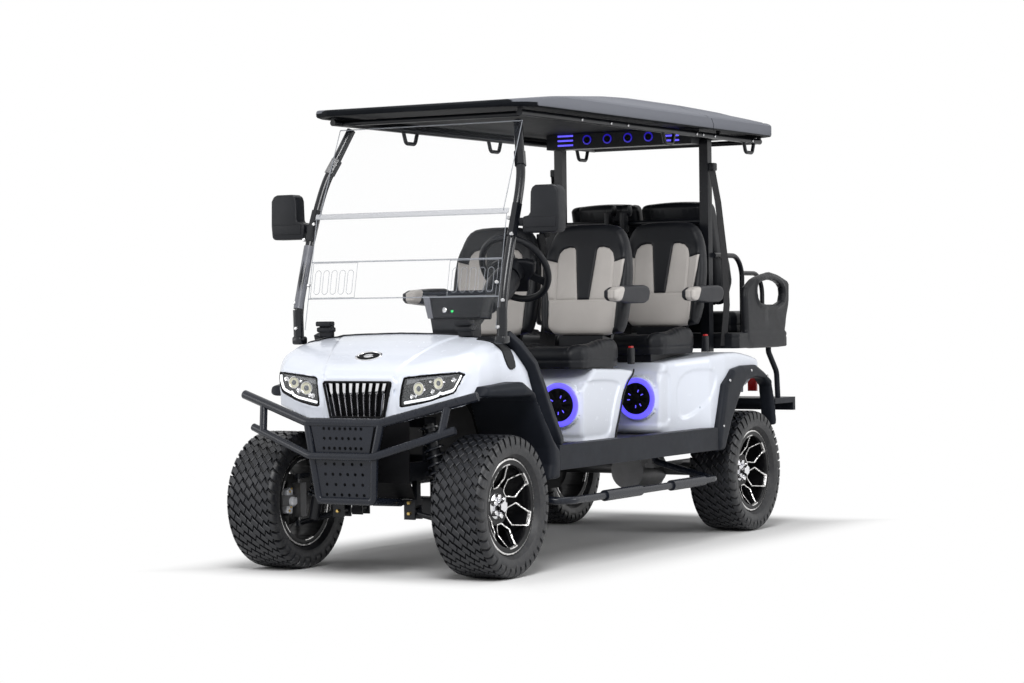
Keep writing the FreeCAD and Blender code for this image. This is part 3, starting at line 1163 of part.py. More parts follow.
def make_rear_rails():
    """Hoops beside the bench and arms that carry the step."""
    base = REAR_BASE_BOTTOM + REAR_BASE_HEIGHT
    base = base + FACE_GAP
    post_y = FRONT_AXLE_Y + REAR_POST_SETBACK + REAR_POST_WIDTH / 2 + FACE_GAP
    leg_y = FRONT_AXLE_Y + GRAB_LEG_SETBACK
    end_y = FRONT_AXLE_Y + GRAB_END_SETBACK
    hoop = bent_bar([V(GRAB_X, post_y, GRAB_TOP), V(GRAB_X, leg_y, GRAB_TOP), V(GRAB_X, leg_y, base)],
                    GRAB_RADIUS, GRAB_BEND)
    arm = bent_bar([V(GRAB_X, leg_y, GRAB_ARM_TOP), V(GRAB_X, end_y, GRAB_ARM_TOP),
                    V(GRAB_X, end_y, base)], GRAB_ARM_RADIUS, GRAB_BEND)
    save("rear_grab_rails", both_sides(fuse([hoop, arm])))


def make_rear_step():
    """Foot platform with two arms from the frame."""
    y0 = FRONT_AXLE_Y + STEP_FRONT_SETBACK
    deck = box(-STEP_HALF, STEP_HALF, y0, REAR_END_Y, STEP_BOTTOM + STEP_LIP - STEP_THICKNESS,
               STEP_BOTTOM + STEP_LIP)
    skirt = box(-STEP_HALF, STEP_HALF, REAR_END_Y - STEP_THICKNESS, REAR_END_Y,
                STEP_BOTTOM, STEP_BOTTOM + STEP_LIP)
    base_bottom = REAR_BASE_BOTTOM - FACE_GAP
    pieces = [deck, skirt]
    arm_x = STEP_HALF - 3 * STEP_ARM_RADIUS
    for side in (-1, 1):
        x = side * arm_x
        top = V(x, y0 + STEP_ARM_RADIUS, base_bottom)
        neck = top - V(0, 0, 2 * STEP_ARM_RADIUS)
        bend = V(x, y0 + 8 * STEP_ARM_RADIUS, (base_bottom + STEP_BOTTOM + STEP_LIP) / 2)
        foot = V(x, y0 + 9 * STEP_ARM_RADIUS, STEP_BOTTOM + STEP_LIP - STEP_THICKNESS / 2)
        pieces.append(bent_bar([top, neck, bend, foot], STEP_ARM_RADIUS, STEP_ARM_BEND))
        pieces.append(box(side * (RAIL_INNER_X + FACE_GAP), side * (RAIL_OUTER_X - FACE_GAP),
                          RAIL_REAR_Y + FACE_GAP, y0 + 2 * STEP_THICKNESS, RAIL_BOTTOM,
                          STEP_BOTTOM + STEP_LIP - STEP_THICKNESS))
    save("rear_step", [fuse(pieces)])


# Side steps under the rockers
SIDE_STEP_X = 636.0
SIDE_STEP_Z = 285.0
SIDE_STEP_RADIUS = 16.0
SIDE_STEP_FRONT_SETBACK = 385.0
SIDE_STEP_REAR_SETBACK = 1905.0
SIDE_STEP_BEND = 70.0
STEP_PAD_RADIUS = 24.0
STEP_PAD_LENGTH = 330.0
STEP_PAD_SHARES = (0.34, 0.76)


def make_side_steps():
    """Long tubes with two thicker treads each, hung from the outriggers."""
    y0 = FRONT_AXLE_Y + SIDE_STEP_FRONT_SETBACK
    y1 = FRONT_AXLE_Y + SIDE_STEP_REAR_SETBACK
    inner_x = RAIL_OUTER_X + SIDE_STEP_BEND
    top = FLOOR_UNDERSIDE - OUTRIGGER_DEPTH - FACE_GAP
    knee = top - SIDE_STEP_BEND
    first = outrigger_middle(OUTRIGGER_SHARES[0])
    last = outrigger_middle(OUTRIGGER_SHARES[-1])
    tube = bent_bar([V(inner_x, first, top), V(inner_x, first, knee),
                     V(SIDE_STEP_X - SIDE_STEP_BEND, y0, SIDE_STEP_Z),
                     V(SIDE_STEP_X, y0 + SIDE_STEP_BEND, SIDE_STEP_Z),
                     V(SIDE_STEP_X, y1 - SIDE_STEP_BEND, SIDE_STEP_Z),
                     V(SIDE_STEP_X - SIDE_STEP_BEND, y1, SIDE_STEP_Z),
                     V(inner_x, last, knee), V(inner_x, last, top)],
                    SIDE_STEP_RADIUS, SIDE_STEP_BEND)
    pieces = [tube]
    for share in STEP_PAD_SHARES:
        middle = y0 + share * (y1 - y0)
        pieces.append(rod(V(SIDE_STEP_X, middle - STEP_PAD_LENGTH / 2, SIDE_STEP_Z),
                          V(SIDE_STEP_X, middle + STEP_PAD_LENGTH / 2, SIDE_STEP_Z),
                          STEP_PAD_RADIUS))
    step = fuse(pieces)
    save("side_steps", both_sides(step))


# Front suspension and knuckles
KINGPIN_OFFSET = 60.0
KINGPIN_RADIUS = 11.0
KNUCKLE_HALF = 22.0
KNUCKLE_HALF_HEIGHT = 72.0
BALL_HEIGHT = 100.0
ARM_RADIUS = 11.0
ARM_EYE_RADIUS = 20.0
DAMPER_RADIUS = 26.0
DAMPER_OFFSET = 110.0
SPINDLE_RADIUS = 17.5
SPINDLE_REACH = 51.0
UPPER_ARM_Z = 420.0
CALLIPER_REACH = 122.0
BRAKE_RADIUS = 108.0
BRAKE_OFFSET = 9.0
BRAKE_THICKNESS = 6.0
KINGPIN_X = WHEEL_X - KINGPIN_OFFSET
DAMPER_X = KINGPIN_X - DAMPER_OFFSET
SPINDLE_END_X = WHEEL_X + SPINDLE_REACH
BRAKE_X = WHEEL_X - BRAKE_OFFSET


def make_suspension():
    """Lower and upper arms with a spring unit on each side."""
    low_ball = V(KINGPIN_X, FRONT_AXLE_Y, TYRE_RADIUS - BALL_HEIGHT)
    high_ball = V(KINGPIN_X, FRONT_AXLE_Y, TYRE_RADIUS + BALL_HEIGHT)
    eye_half = ARM_RADIUS
    pieces = []
    for end in (-1, 1):
        pivot = V(ARM_PIVOT_X, FRONT_AXLE_Y + end * ARM_PIVOT_SPREAD / 2, LOWER_ARM_Z)
        pieces.append(rod(pivot, low_ball, ARM_RADIUS))
        pieces.append(rod(pivot - V(0, ARM_EYE_HALF, 0), pivot + V(0, ARM_EYE_HALF, 0),
                          ARM_EYE_RADIUS))
    pieces.append(rod(low_ball - V(0, 0, eye_half), low_ball + V(0, 0, eye_half), ARM_EYE_RADIUS))
    lower = fuse(pieces).cut(rod(low_ball - V(0, 0, OVERRUN), low_ball + V(0, 0, OVERRUN),
                                 KINGPIN_RADIUS + BEARING_GAP))
    upper_pivot = V(RAIL_OUTER_X + FACE_GAP + ARM_RADIUS, FRONT_AXLE_Y, UPPER_ARM_Z)
    upper = fuse([rod(upper_pivot, high_ball, ARM_RADIUS),
                  rod(upper_pivot - V(0, TOWER_LENGTH / 2, 0),
                      upper_pivot + V(0, TOWER_LENGTH / 2, 0), ARM_RADIUS),
                  rod(high_ball - V(0, 0, eye_half), high_ball + V(0, 0, eye_half),
                      ARM_EYE_RADIUS)])
    upper = upper.cut(rod(high_ball - V(0, 0, OVERRUN), high_ball + V(0, 0, OVERRUN),
                          KINGPIN_RADIUS + BEARING_GAP))
    along_arm = (DAMPER_X - ARM_PIVOT_X) / (KINGPIN_X - ARM_PIVOT_X)
    foot = V(DAMPER_X, FRONT_AXLE_Y - 2 * DAMPER_RADIUS,
             LOWER_ARM_Z + along_arm * (low_ball.z - LOWER_ARM_Z))
    head = V(RAIL_OUTER_X + DAMPER_RADIUS + FACE_GAP, FRONT_AXLE_Y - 2 * DAMPER_RADIUS,
             TOWER_HEIGHT - DAMPER_RADIUS)
    damper = rod(foot, head, DAMPER_RADIUS)
    lower = fuse([lower, damper.cut(upper)])
    save("front_suspension", both_sides(lower) + both_sides(upper))


def make_knuckles():
    """Steering knuckles with kingpin, spindle and brake calliper."""
    centre = V(KINGPIN_X, FRONT_AXLE_Y, TYRE_RADIUS)
    block = box(KINGPIN_X - KNUCKLE_HALF, KINGPIN_X + KNUCKLE_HALF,
                FRONT_AXLE_Y - KNUCKLE_HALF, FRONT_AXLE_Y + KNUCKLE_HALF,
                TYRE_RADIUS - KNUCKLE_HALF_HEIGHT, TYRE_RADIUS + KNUCKLE_HALF_HEIGHT)
    pin = rod(centre - V(0, 0, BALL_HEIGHT + ARM_RADIUS), centre + V(0, 0, BALL_HEIGHT + ARM_RADIUS),
              KINGPIN_RADIUS)
    spindle = rod(centre, V(SPINDLE_END_X, FRONT_AXLE_Y, TYRE_RADIUS), SPINDLE_RADIUS)
    shoulder = rod(centre, V(BRAKE_X - OVERRUN, FRONT_AXLE_Y, TYRE_RADIUS), 2 * SPINDLE_RADIUS)
    calliper = box(KINGPIN_X, BRAKE_X - BRAKE_THICKNESS * 2, FRONT_AXLE_Y - CALLIPER_REACH,
                   FRONT_AXLE_Y, TYRE_RADIUS - KNUCKLE_HALF, TYRE_RADIUS + KNUCKLE_HALF)
    knuckle = fuse([block, pin, spindle, shoulder, calliper])
    save("knuckle_left", [knuckle])
    save("knuckle_right", [mirrored(knuckle)])


# Rear axle
AXLE_TUBE_RADIUS = 32.0
DIFFERENTIAL_RADIUS = 95.0
DIFFERENTIAL_WIDTH = 150.0
MOTOR_RADIUS = 88.0
MOTOR_LENGTH = 260.0
MOTOR_X = 90.0
AXLE_FLANGE_OFFSET = 35.0
SPRING_WIDTH = 50.0
SPRING_THICKNESS = 18.0
SPRING_LENGTH = 640.0
AXLE_FLANGE_X = WHEEL_X - AXLE_FLANGE_OFFSET


def make_rear_axle():
    """Live axle with differential, motor, stub shafts and leaf springs."""
    centre = V(0, REAR_AXLE_Y, TYRE_RADIUS)
    tube = rod(V(-AXLE_FLANGE_X, REAR_AXLE_Y, TYRE_RADIUS), V(AXLE_FLANGE_X, REAR_AXLE_Y, TYRE_RADIUS),
               AXLE_TUBE_RADIUS)
    stub = rod(V(-SPINDLE_END_X, REAR_AXLE_Y, TYRE_RADIUS), V(SPINDLE_END_X, REAR_AXLE_Y, TYRE_RADIUS),
               SPINDLE_RADIUS)
    housing = rod(centre - V(DIFFERENTIAL_WIDTH / 2, 0, 0), centre + V(DIFFERENTIAL_WIDTH / 2, 0, 0),
                  DIFFERENTIAL_RADIUS)
    body = rod(V(MOTOR_X / 2, REAR_AXLE_Y, TYRE_RADIUS), V(MOTOR_X / 2, REAR_AXLE_Y - MOTOR_LENGTH,
                                                          TYRE_RADIUS), MOTOR_RADIUS)
    pieces = [tube, stub, housing, body]
    for side in (-1, 1):
        x = side * RAIL_X
        spring_bottom = TYRE_RADIUS + AXLE_TUBE_RADIUS - SPRING_THICKNESS / 2
        pieces.append(box(x - SPRING_WIDTH / 2, x + SPRING_WIDTH / 2,
                          REAR_AXLE_Y - SPRING_LENGTH / 2, REAR_AXLE_Y + SPRING_LENGTH / 2,
                          spring_bottom, spring_bottom + SPRING_THICKNESS))
        for end in (-1, 1):
            hanger = REAR_AXLE_Y + end * (SPRING_LENGTH - SPRING_WIDTH) / 2
            pieces.append(box(x - SPRING_WIDTH / 4, x + SPRING_WIDTH / 4,
                              hanger - SPRING_WIDTH / 2, hanger + SPRING_WIDTH / 2,
                              spring_bottom, RAIL_BOTTOM - FACE_GAP))
    save("rear_axle", [fuse(pieces)])


# Wheels
TREAD_WIDTH = 196.0
SHOULDER_DROP = 30.0
SIDEWALL_FOOT_SHARE = 0.95
LUG_DEPTH = 10.0
LUG_COLUMNS = 36
LUG_LEAN_COLUMNS = 4
TREAD_SHARES = ((-1.0, 0.0), (-0.64, 0.16), (-0.22, 0.42), (0.22, 0.58), (0.64, 0.84), (1.0, 1.0))
BEAD_RADIUS = 178.0
RIM_FLANGE_RADIUS = 197.0
RIM_WIDTH = 186.0
RIM_FLANGE_WIDTH = 12.0
BARREL_THICKNESS = 9.0
DISH_THICKNESS = 20.0
HUB_RADIUS = 58.0
HUB_FACE_DEPTH = 32.0
HUB_BACK_DEPTH = 12.0
CAP_RADIUS = 32.0
CAP_HEIGHT = 36.0
WHEEL_WINDOWS = 6
WINDOW_SHARES = ((0.30, 0.0), (0.42, 17.0), (0.80, 20.0), (0.97, 11.0), (0.97, -11.0),
                 (0.80, -20.0), (0.42, -17.0))
WINDOW_FIRST_ANGLE = 81.0


def revolved(profile, x, y):
    """A closed (x offset, radius) outline turned about a wheel's axle."""
    points = [V(x + offset, y, TYRE_RADIUS + radius) for offset, radius in profile]
    face = Part.Face(Part.makePolygon(points + [points[0]]))
    return face.revolve(V(x, y, TYRE_RADIUS), V(1, 0, 0), 360)


def tyre_rings():
    """The tyre's rings from bead to bead: offset, groove radius, lug radius and lean in columns."""
    half = TYRE_WIDTH / 2
    bead_half = RIM_WIDTH / 2 - RIM_FLANGE_WIDTH
    clear = 1 / math.cos(math.pi / LUG_COLUMNS)
    side = [(bead_half, BEAD_RADIUS * clear), (bead_half, RIM_FLANGE_RADIUS * clear),
            (half * SIDEWALL_FOOT_SHARE, RIM_FLANGE_RADIUS + SHOULDER_DROP / 2),
            (half, TYRE_RADIUS - SHOULDER_DROP)]
    rings = [(-offset, radius, radius, 0) for offset, radius in side]
    rings += [(across * TREAD_WIDTH / 2, TYRE_RADIUS - LUG_DEPTH, TYRE_RADIUS, lean * LUG_LEAN_COLUMNS)
              for across, lean in TREAD_SHARES]
    return rings + [(offset, radius, radius, LUG_LEAN_COLUMNS) for offset, radius in reversed(side)]


def make_tyre(x, y):
    """A tyre of flat faces, with lugs that lean across its tread."""
    rings = tyre_rings()
    column_angle = 2 * math.pi / LUG_COLUMNS

    def corner(ring, column, raised):
        offset, groove, lug, lean = rings[ring]
        radius = lug if raised else groove
        angle = column_angle * ((column + lean) % LUG_COLUMNS)
        return V(x + offset, y + radius * math.cos(angle), TYRE_RADIUS + radius * math.sin(angle))

    def face(corners):
        return Part.Face(Part.makePolygon(corners + [corners[0]]))

    faces = []
    for column in range(LUG_COLUMNS):
        raised = column % 2 == 0
        following = column + 1
        shift = LUG_LEAN_COLUMNS
        faces.append(face([corner(-1, column, raised), corner(-1, following, raised),
                           corner(0, following + shift, raised), corner(0, column + shift, raised)]))
        for ring in range(len(rings) - 1):
            near, far = corner(ring, column, raised), corner(ring, following, raised)
            far_next, near_next = corner(ring + 1, following, raised), corner(ring + 1, column, raised)
            if rings[ring][3] == rings[ring + 1][3]:
                faces.append(face([near, far, far_next, near_next]))
            else:
                faces.append(face([near, far, near_next]))
                faces.append(face([far, far_next, near_next]))
            low, high = corner(ring, column, False), corner(ring, column, True)
            low_next, high_next = corner(ring + 1, column, False), corner(ring + 1, column, True)
            if low_next != high_next:
                faces.append(face([low, low_next, high_next]))
            if low != high:
                faces.append(face([low, high_next, high]))
    solid = Part.Solid(Part.Shell(faces))
    return solid if solid.Volume > 0 else solid.reversed()


def make_wheel(name, y, side):
    """Tyre and rim of one wheel, with the dished face outwards."""
    tyre = make_tyre(side * WHEEL_X, y)
    rim_half = RIM_WIDTH / 2
    inner = BEAD_RADIUS - BARREL_THICKNESS
    barrel = revolved([(-rim_half, inner), (rim_half, inner), (rim_half, RIM_FLANGE_RADIUS),
                       (rim_half - RIM_FLANGE_WIDTH, RIM_FLANGE_RADIUS),
                       (rim_half - RIM_FLANGE_WIDTH, BEAD_RADIUS),
                       (-rim_half + RIM_FLANGE_WIDTH, BEAD_RADIUS),
                       (-rim_half + RIM_FLANGE_WIDTH, RIM_FLANGE_RADIUS),
                       (-rim_half, RIM_FLANGE_RADIUS)], WHEEL_X, y)
    dish = revolved([(HUB_FACE_DEPTH, HUB_RADIUS / 2), (HUB_FACE_DEPTH, HUB_RADIUS),
                     (rim_half, inner + BARREL_THICKNESS / 2),
                     (rim_half - DISH_THICKNESS, inner + BARREL_THICKNESS / 2),
                     (HUB_BACK_DEPTH, HUB_RADIUS), (HUB_BACK_DEPTH, HUB_RADIUS / 2)], WHEEL_X, y)
    windows = []
    for window in range(WHEEL_WINDOWS):
        turn = WINDOW_FIRST_ANGLE + window * 360 / WHEEL_WINDOWS
        outline = []
        for share, angle in WINDOW_SHARES:
            radius = HUB_RADIUS + share * (inner - HUB_RADIUS)
            outline.append((y - radius * math.cos(math.radians(turn + angle)),
                            TYRE_RADIUS + radius * math.sin(math.radians(turn + angle))))
        windows.append(prism_along_x(outline, WHEEL_X, WHEEL_X + RIM_WIDTH))
    dish = dish.cut(Part.makeCompound(windows))
    hub = rod(V(WHEEL_X - HUB_BACK_DEPTH / 2, y, TYRE_RADIUS), V(WHEEL_X + HUB_FACE_DEPTH, y, TYRE_RADIUS),
              HUB_RADIUS)
    cap = rod(V(WHEEL_X + HUB_FACE_DEPTH, y, TYRE_RADIUS),
              V(WHEEL_X + HUB_FACE_DEPTH + CAP_HEIGHT, y, TYRE_RADIUS), CAP_RADIUS)
    disc = rod(V(BRAKE_X - BRAKE_THICKNESS / 2, y, TYRE_RADIUS),
               V(BRAKE_X + BRAKE_THICKNESS / 2, y, TYRE_RADIUS), BRAKE_RADIUS)
    bore = rod(V(KINGPIN_X, y, TYRE_RADIUS), V(SPINDLE_END_X + BEARING_GAP, y, TYRE_RADIUS),
               SPINDLE_RADIUS + BEARING_GAP)
    rim = fuse([barrel, dish, hub, cap, disc]).cut(bore)
    if side < 0:
        rim = mirrored(rim)
    save(f"tyre_{name}", [tyre])
    save(f"rim_{name}", [rim])


# Battery pack and tail lamps
BATTERY_LENGTH = 420.0
BATTERY_DEPTH = 190.0
BATTERY_SETBACK = 760.0
BATTERY_GAP = 6.0
TAIL_LAMP_WIDTH = 46.0
TAIL_LAMP_HEIGHT = 120.0
TAIL_LAMP_DEPTH = 16.0
TAIL_LAMP_X = 500.0


def make_battery_pack():
    """Closed battery box hung between the frame rails."""
    half = RAIL_INNER_X - BATTERY_GAP
    y = FRONT_AXLE_Y + BATTERY_SETBACK
    save("battery_pack", [box(-half, half, y, y + BATTERY_LENGTH,
                              FLOOR_UNDERSIDE - FACE_GAP - BATTERY_DEPTH,
                              FLOOR_UNDERSIDE - FACE_GAP)])


def make_tail_lamps():
    """Upright lamps on the tail of the rear body."""
    z = REAR_BODY_TAIL_TOP - TAIL_LAMP_HEIGHT
    lamp = box(TAIL_LAMP_X - TAIL_LAMP_WIDTH / 2, TAIL_LAMP_X + TAIL_LAMP_WIDTH / 2, REAR_BODY_Y,
               REAR_BODY_Y + TAIL_LAMP_DEPTH, z - OVERRUN, z + TAIL_LAMP_HEIGHT - OVERRUN)
    save("tail_lamps", both_sides(lamp))


def main():
    """Builds every piece of the cart."""
    os.makedirs("parts", exist_ok=True)
    make_chassis_frame()
    bumper = make_front_bumper()
    make_bumper_plates(bumper)
    cowl = make_front_cowl()
    make_grille()
    lamp = make_headlamps(cowl)
    make_front_fascia(cowl, lamp)
    make_dashboard()
    make_steering_wheel()
    bar_point = make_windscreen_struts(cowl)
    make_windscreen_panes(bar_point)
    make_mirrors()
    make_floor()
    make_front_pod()
    rear_body = make_rear_body()
    make_rockers(cowl, rear_body)
    make_flares(cowl, rear_body)
    make_pod_speakers()
    make_seats()
    make_armrests()
    make_roof()
    make_roof_rails()
    make_rear_posts()
    make_sound_bar()
    hinge_y, hinge_z = make_rear_seat_base()
    make_rear_seat(hinge_y, hinge_z)
    make_rear_backs()
    make_rear_rails()
    make_rear_step()
    make_side_steps()
    make_suspension()
    make_knuckles()
    make_rear_axle()
    make_battery_pack()
    make_tail_lamps()
    for name, y, side in (("front_left", FRONT_AXLE_Y, 1), ("front_right", FRONT_AXLE_Y, -1),
                          ("rear_left", REAR_AXLE_Y, 1), ("rear_right", REAR_AXLE_Y, -1)):
        make_wheel(name, y, side)


main()
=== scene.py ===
"""Dressed model of a lifted six-seat golf cart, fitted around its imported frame."""
from __future__ import annotations

import json
import logging
import math
from dataclasses import dataclass, field
from enum import Enum
from functools import reduce
from typing import Callable, Sequence

import bmesh
import bpy
import numpy as np
from mathutils import Matrix, Vector

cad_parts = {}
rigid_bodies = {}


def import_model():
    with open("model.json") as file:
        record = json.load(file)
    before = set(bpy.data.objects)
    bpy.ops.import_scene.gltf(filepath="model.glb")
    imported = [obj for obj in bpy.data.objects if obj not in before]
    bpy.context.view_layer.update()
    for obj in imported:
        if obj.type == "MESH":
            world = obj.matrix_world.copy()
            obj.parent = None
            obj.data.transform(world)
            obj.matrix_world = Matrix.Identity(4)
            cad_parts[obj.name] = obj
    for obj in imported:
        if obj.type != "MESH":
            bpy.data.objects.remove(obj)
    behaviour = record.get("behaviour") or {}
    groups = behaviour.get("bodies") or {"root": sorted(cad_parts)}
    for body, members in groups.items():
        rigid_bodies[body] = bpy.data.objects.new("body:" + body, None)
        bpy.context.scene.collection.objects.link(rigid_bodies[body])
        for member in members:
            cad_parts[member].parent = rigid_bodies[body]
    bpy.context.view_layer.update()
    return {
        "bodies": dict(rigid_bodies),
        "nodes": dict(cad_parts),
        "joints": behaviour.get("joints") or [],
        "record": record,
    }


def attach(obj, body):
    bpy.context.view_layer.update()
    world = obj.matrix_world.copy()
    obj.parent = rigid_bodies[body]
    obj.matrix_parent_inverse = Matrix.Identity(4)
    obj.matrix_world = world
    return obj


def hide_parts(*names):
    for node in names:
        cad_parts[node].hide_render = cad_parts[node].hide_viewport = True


LOG = logging.getLogger("golf_cart")

Array = np.ndarray
Point2 = tuple[float, float]
Point3 = tuple[float, float, float]
Colour = tuple[float, float, float]
Form = Callable[[Array, Array, Array], Array]

FRONT_AXLE_Y = -1.39
REAR_AXLE_Y = 0.95
KINGPIN_X = 0.445
WHEEL_X = 0.505
TYRE_RADIUS = 0.292
STEER_DEGREES = (-28, -14, 0, 14, 28)
SPOKE_DEGREES = 21
RIM_SECTOR = math.pi / 3
DISH_FLOOR = 0.026
DISH_RISE = 0.063
DISH_START = 0.05
DISH_SPAN = 0.125
DISH_POWER = 1.4
ROOF_SEAM_Y = 0.625
ROW_PITCH = 0.775
COLUMN_TOP = (0.242, -0.717, 1.269)
COLUMN_DEGREES = 33
PHOTO_WIDTH = 1024
PURE_WHITE = (1.0, 1.0, 1.0)


class Slot(Enum):
    """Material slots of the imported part."""

    BODY = "body_white"
    MOULDING = "black_moulding"
    ROOF = "roof_grey"
    STEEL = "black_steel"
    BARE = "bare_steel"
    CHROME = "chrome_trim"
    TYRE = "tyre_rubber"
    RIM = "rim_metal"
    PANE = "clear_pane"
    LAMP = "lamp_lens"
    RED = "red_lens"
    SPEAKER = "speaker_black"
    VINYL = "vinyl_black"


# Shader wiring

@dataclass(frozen=True)
class Signal:
    """A socket that carries a number or a colour, with arithmetic."""

    board: "Board"
    socket: bpy.types.NodeSocket

    def __add__(self, other: "Signal | float") -> "Signal":
        """Sum."""
        return self.board.math("ADD", self, other)

    def __sub__(self, other: "Signal | float") -> "Signal":
        """Difference."""
        return self.board.math("SUBTRACT", self, other)

    def __rsub__(self, other: float) -> "Signal":
        """Difference with the number first."""
        return self.board.math("SUBTRACT", other, self)

    def __mul__(self, other: "Signal | float") -> "Signal":
        """Product."""
        return self.board.math("MULTIPLY", self, other)

    def __truediv__(self, other: "Signal | float") -> "Signal":
        """Quotient."""
        return self.board.math("DIVIDE", self, other)

    def __abs__(self) -> "Signal":
        """Size without sign."""
        return self.board.math("ABSOLUTE", self)

    def highest(self, other: "Signal | float") -> "Signal":
        """The larger of two values."""
        return self.board.math("MAXIMUM", self, other)

    def lowest(self, other: "Signal | float") -> "Signal":
        """The smaller of two values."""
        return self.board.math("MINIMUM", self, other)

    def step(self, start: float, end: float) -> "Signal":
        """Runs from 0 to 1 between two values.

        Args:
            start: The value that gives 0.
            end: The value that gives 1.

        Returns:
            The clamped share.
        """
        node = self.board.node("ShaderNodeMapRange", {"interpolation_type": "SMOOTHSTEP"},
                               {"Value": self, "From Min": start, "From Max": end})
        return Signal(self.board, node.outputs["Result"])


class Board:
    """The node tree of one material or of the world."""

    def __init__(self, owner: bpy.types.Material | bpy.types.World) -> None:
        """Empties the owner's tree and gives it an output.

        Args:
            owner: What the tree belongs to.
        """
        self.owner = owner
        owner.use_nodes = True
        self.tree = owner.node_tree
        self.tree.nodes.clear()
        self.output = self.node(f"ShaderNodeOutput{type(owner).__name__}")
        self.places = self.node("ShaderNodeTexCoord")

    def node(self, kind: str, settings: dict | None = None,
             inputs: dict | None = None) -> bpy.types.Node:
        """Adds a node.

        Args:
            kind: The node's type.
            settings: Its properties.
            inputs: Values or signals by socket name or number.

        Returns:
            The node.
        """
        made = self.tree.nodes.new(kind)
        for key, value in (settings or {}).items():
            setattr(made, key, value)
        for key, value in (inputs or {}).items():
            if isinstance(value, Signal):
                self.tree.links.new(value.socket, made.inputs[key])
            elif isinstance(value, tuple) and len(value) == 3 and made.inputs[key].type == "RGBA":
                made.inputs[key].default_value = (*value, 1.0)
            else:
                made.inputs[key].default_value = value
        return made

    def math(self, operation: str, *values: "Signal | float") -> Signal:
        """One step of arithmetic.

        Args:
            operation: The step's name.
            values: Its numbers and signals.

        Returns:
            The result.
        """
        made = self.node("ShaderNodeMath", {"operation": operation}, dict(enumerate(values)))
        return Signal(self, made.outputs[0])

    def spot(self) -> Signal:
        """The surface point in the piece's own metres."""
        return Signal(self, self.places.outputs["Object"])

    def place(self, axis: str) -> Signal:
        """The surface point's own X, Y or Z in metres."""
        return Signal(self, self.node("ShaderNodeSeparateXYZ", None, {0: self.spot()}).outputs[axis])

    def noise(self, scale: float, detail: float = 3.0, stretch: Point3 = (1.0, 1.0, 1.0)) -> Signal:
        """Soft cloudy values about 0.5.

        Args:
            scale: Cells in a metre.
            detail: Finer layers.
            stretch: Scale along each axis.

        Returns:
            The value at each point.
        """
        mapped = self.node("ShaderNodeMapping", None, {"Vector": self.spot(), "Scale": stretch})
        made = self.node("ShaderNodeTexNoise", None,
                         {"Vector": Signal(self, mapped.outputs[0]), "Scale": scale,
                          "Detail": detail})
        return Signal(self, made.outputs[0])

    def cells(self, scale: float) -> Signal:
        """Pebbles of a leather or moulded grain."""
        made = self.node("ShaderNodeTexVoronoi", {"feature": "SMOOTH_F1"},
                         {"Vector": self.spot(), "Scale": scale, "Smoothness": 0.6})
        return Signal(self, made.outputs["Distance"])

    def blend(self, share: Signal, first: "Colour | Signal", second: "Colour | Signal") -> Signal:
        """Mixes two colours.

        Args:
            share: 0 for the first, 1 for the second.
            first: A colour.
            second: A colour.

        Returns:
            The mixed colour.
        """
        made = self.node("ShaderNodeMix", {"data_type": "RGBA"}, {0: share, 6: first, 7: second})
        return Signal(self, made.outputs[2])

    def relief(self, height: Signal, depth: float, strength: float = 1.0) -> Signal:
        """Turns heights of 0 to 1 into a surface normal.

        Args:
            height: The height share.
            depth: Metres from 0 to 1.
            strength: How far it acts.

        Returns:
            The normal.
        """
        made = self.node("ShaderNodeBump", None,
                         {"Height": height, "Distance": depth, "Strength": strength})
        return Signal(self, made.outputs["Normal"])

    def close(self, inputs: dict) -> bpy.types.Material:
        """Joins a surface shader to the output.

        Args:
            inputs: The shader's values.

        Returns:
            The finished material.
        """
        shader = self.node("ShaderNodeBsdfPrincipled", None, inputs)
        self.tree.links.new(shader.outputs[0], self.output.inputs["Surface"])
        return self.owner

    def seen(self) -> Signal:
        """1 for what the camera sees, straight, mirrored or through a pane."""
        ray = self.node("ShaderNodeLightPath")
        seen = Signal(self, ray.outputs["Is Camera Ray"])
        for kind in ("Is Glossy Ray", "Is Transmission Ray"):
            seen = seen.highest(Signal(self, ray.outputs[kind]))
        return seen

    def split(self, share: Signal, first: bpy.types.Node, second: bpy.types.Node) -> None:
        """Joins two shaders to the output.

        Args:
            share: 0 for the first, 1 for the second.
            first: A shader.
            second: A shader.
        """
        mixed = self.node("ShaderNodeMixShader", None, {0: share, 1: Signal(self, first.outputs[0]),
                                                        2: Signal(self, second.outputs[0])})
        self.tree.links.new(mixed.outputs[0], self.output.inputs["Surface"])

    def outside(self, u: Signal, v: Signal, outline: Sequence[Point2]) -> Signal:
        """Distance out from a convex outline.

        Args:
            u: First coordinate.
            v: Second coordinate.
            outline: The corners, counter-clockwise.

        Returns:
            The distance, negative inside.
        """
        out = None
        for (u0, v0), (u1, v1) in zip(outline, [*outline[1:], outline[0]]):
            length = math.hypot(u1 - u0, v1 - v0)
            a, b = (v1 - v0) / length, (u0 - u1) / length
            side = u * a + v * b - (u0 * a + v0 * b)
            out = side if out is None else out.highest(side)
        return out


_MADE: dict["Finish", bpy.types.Material] = {}


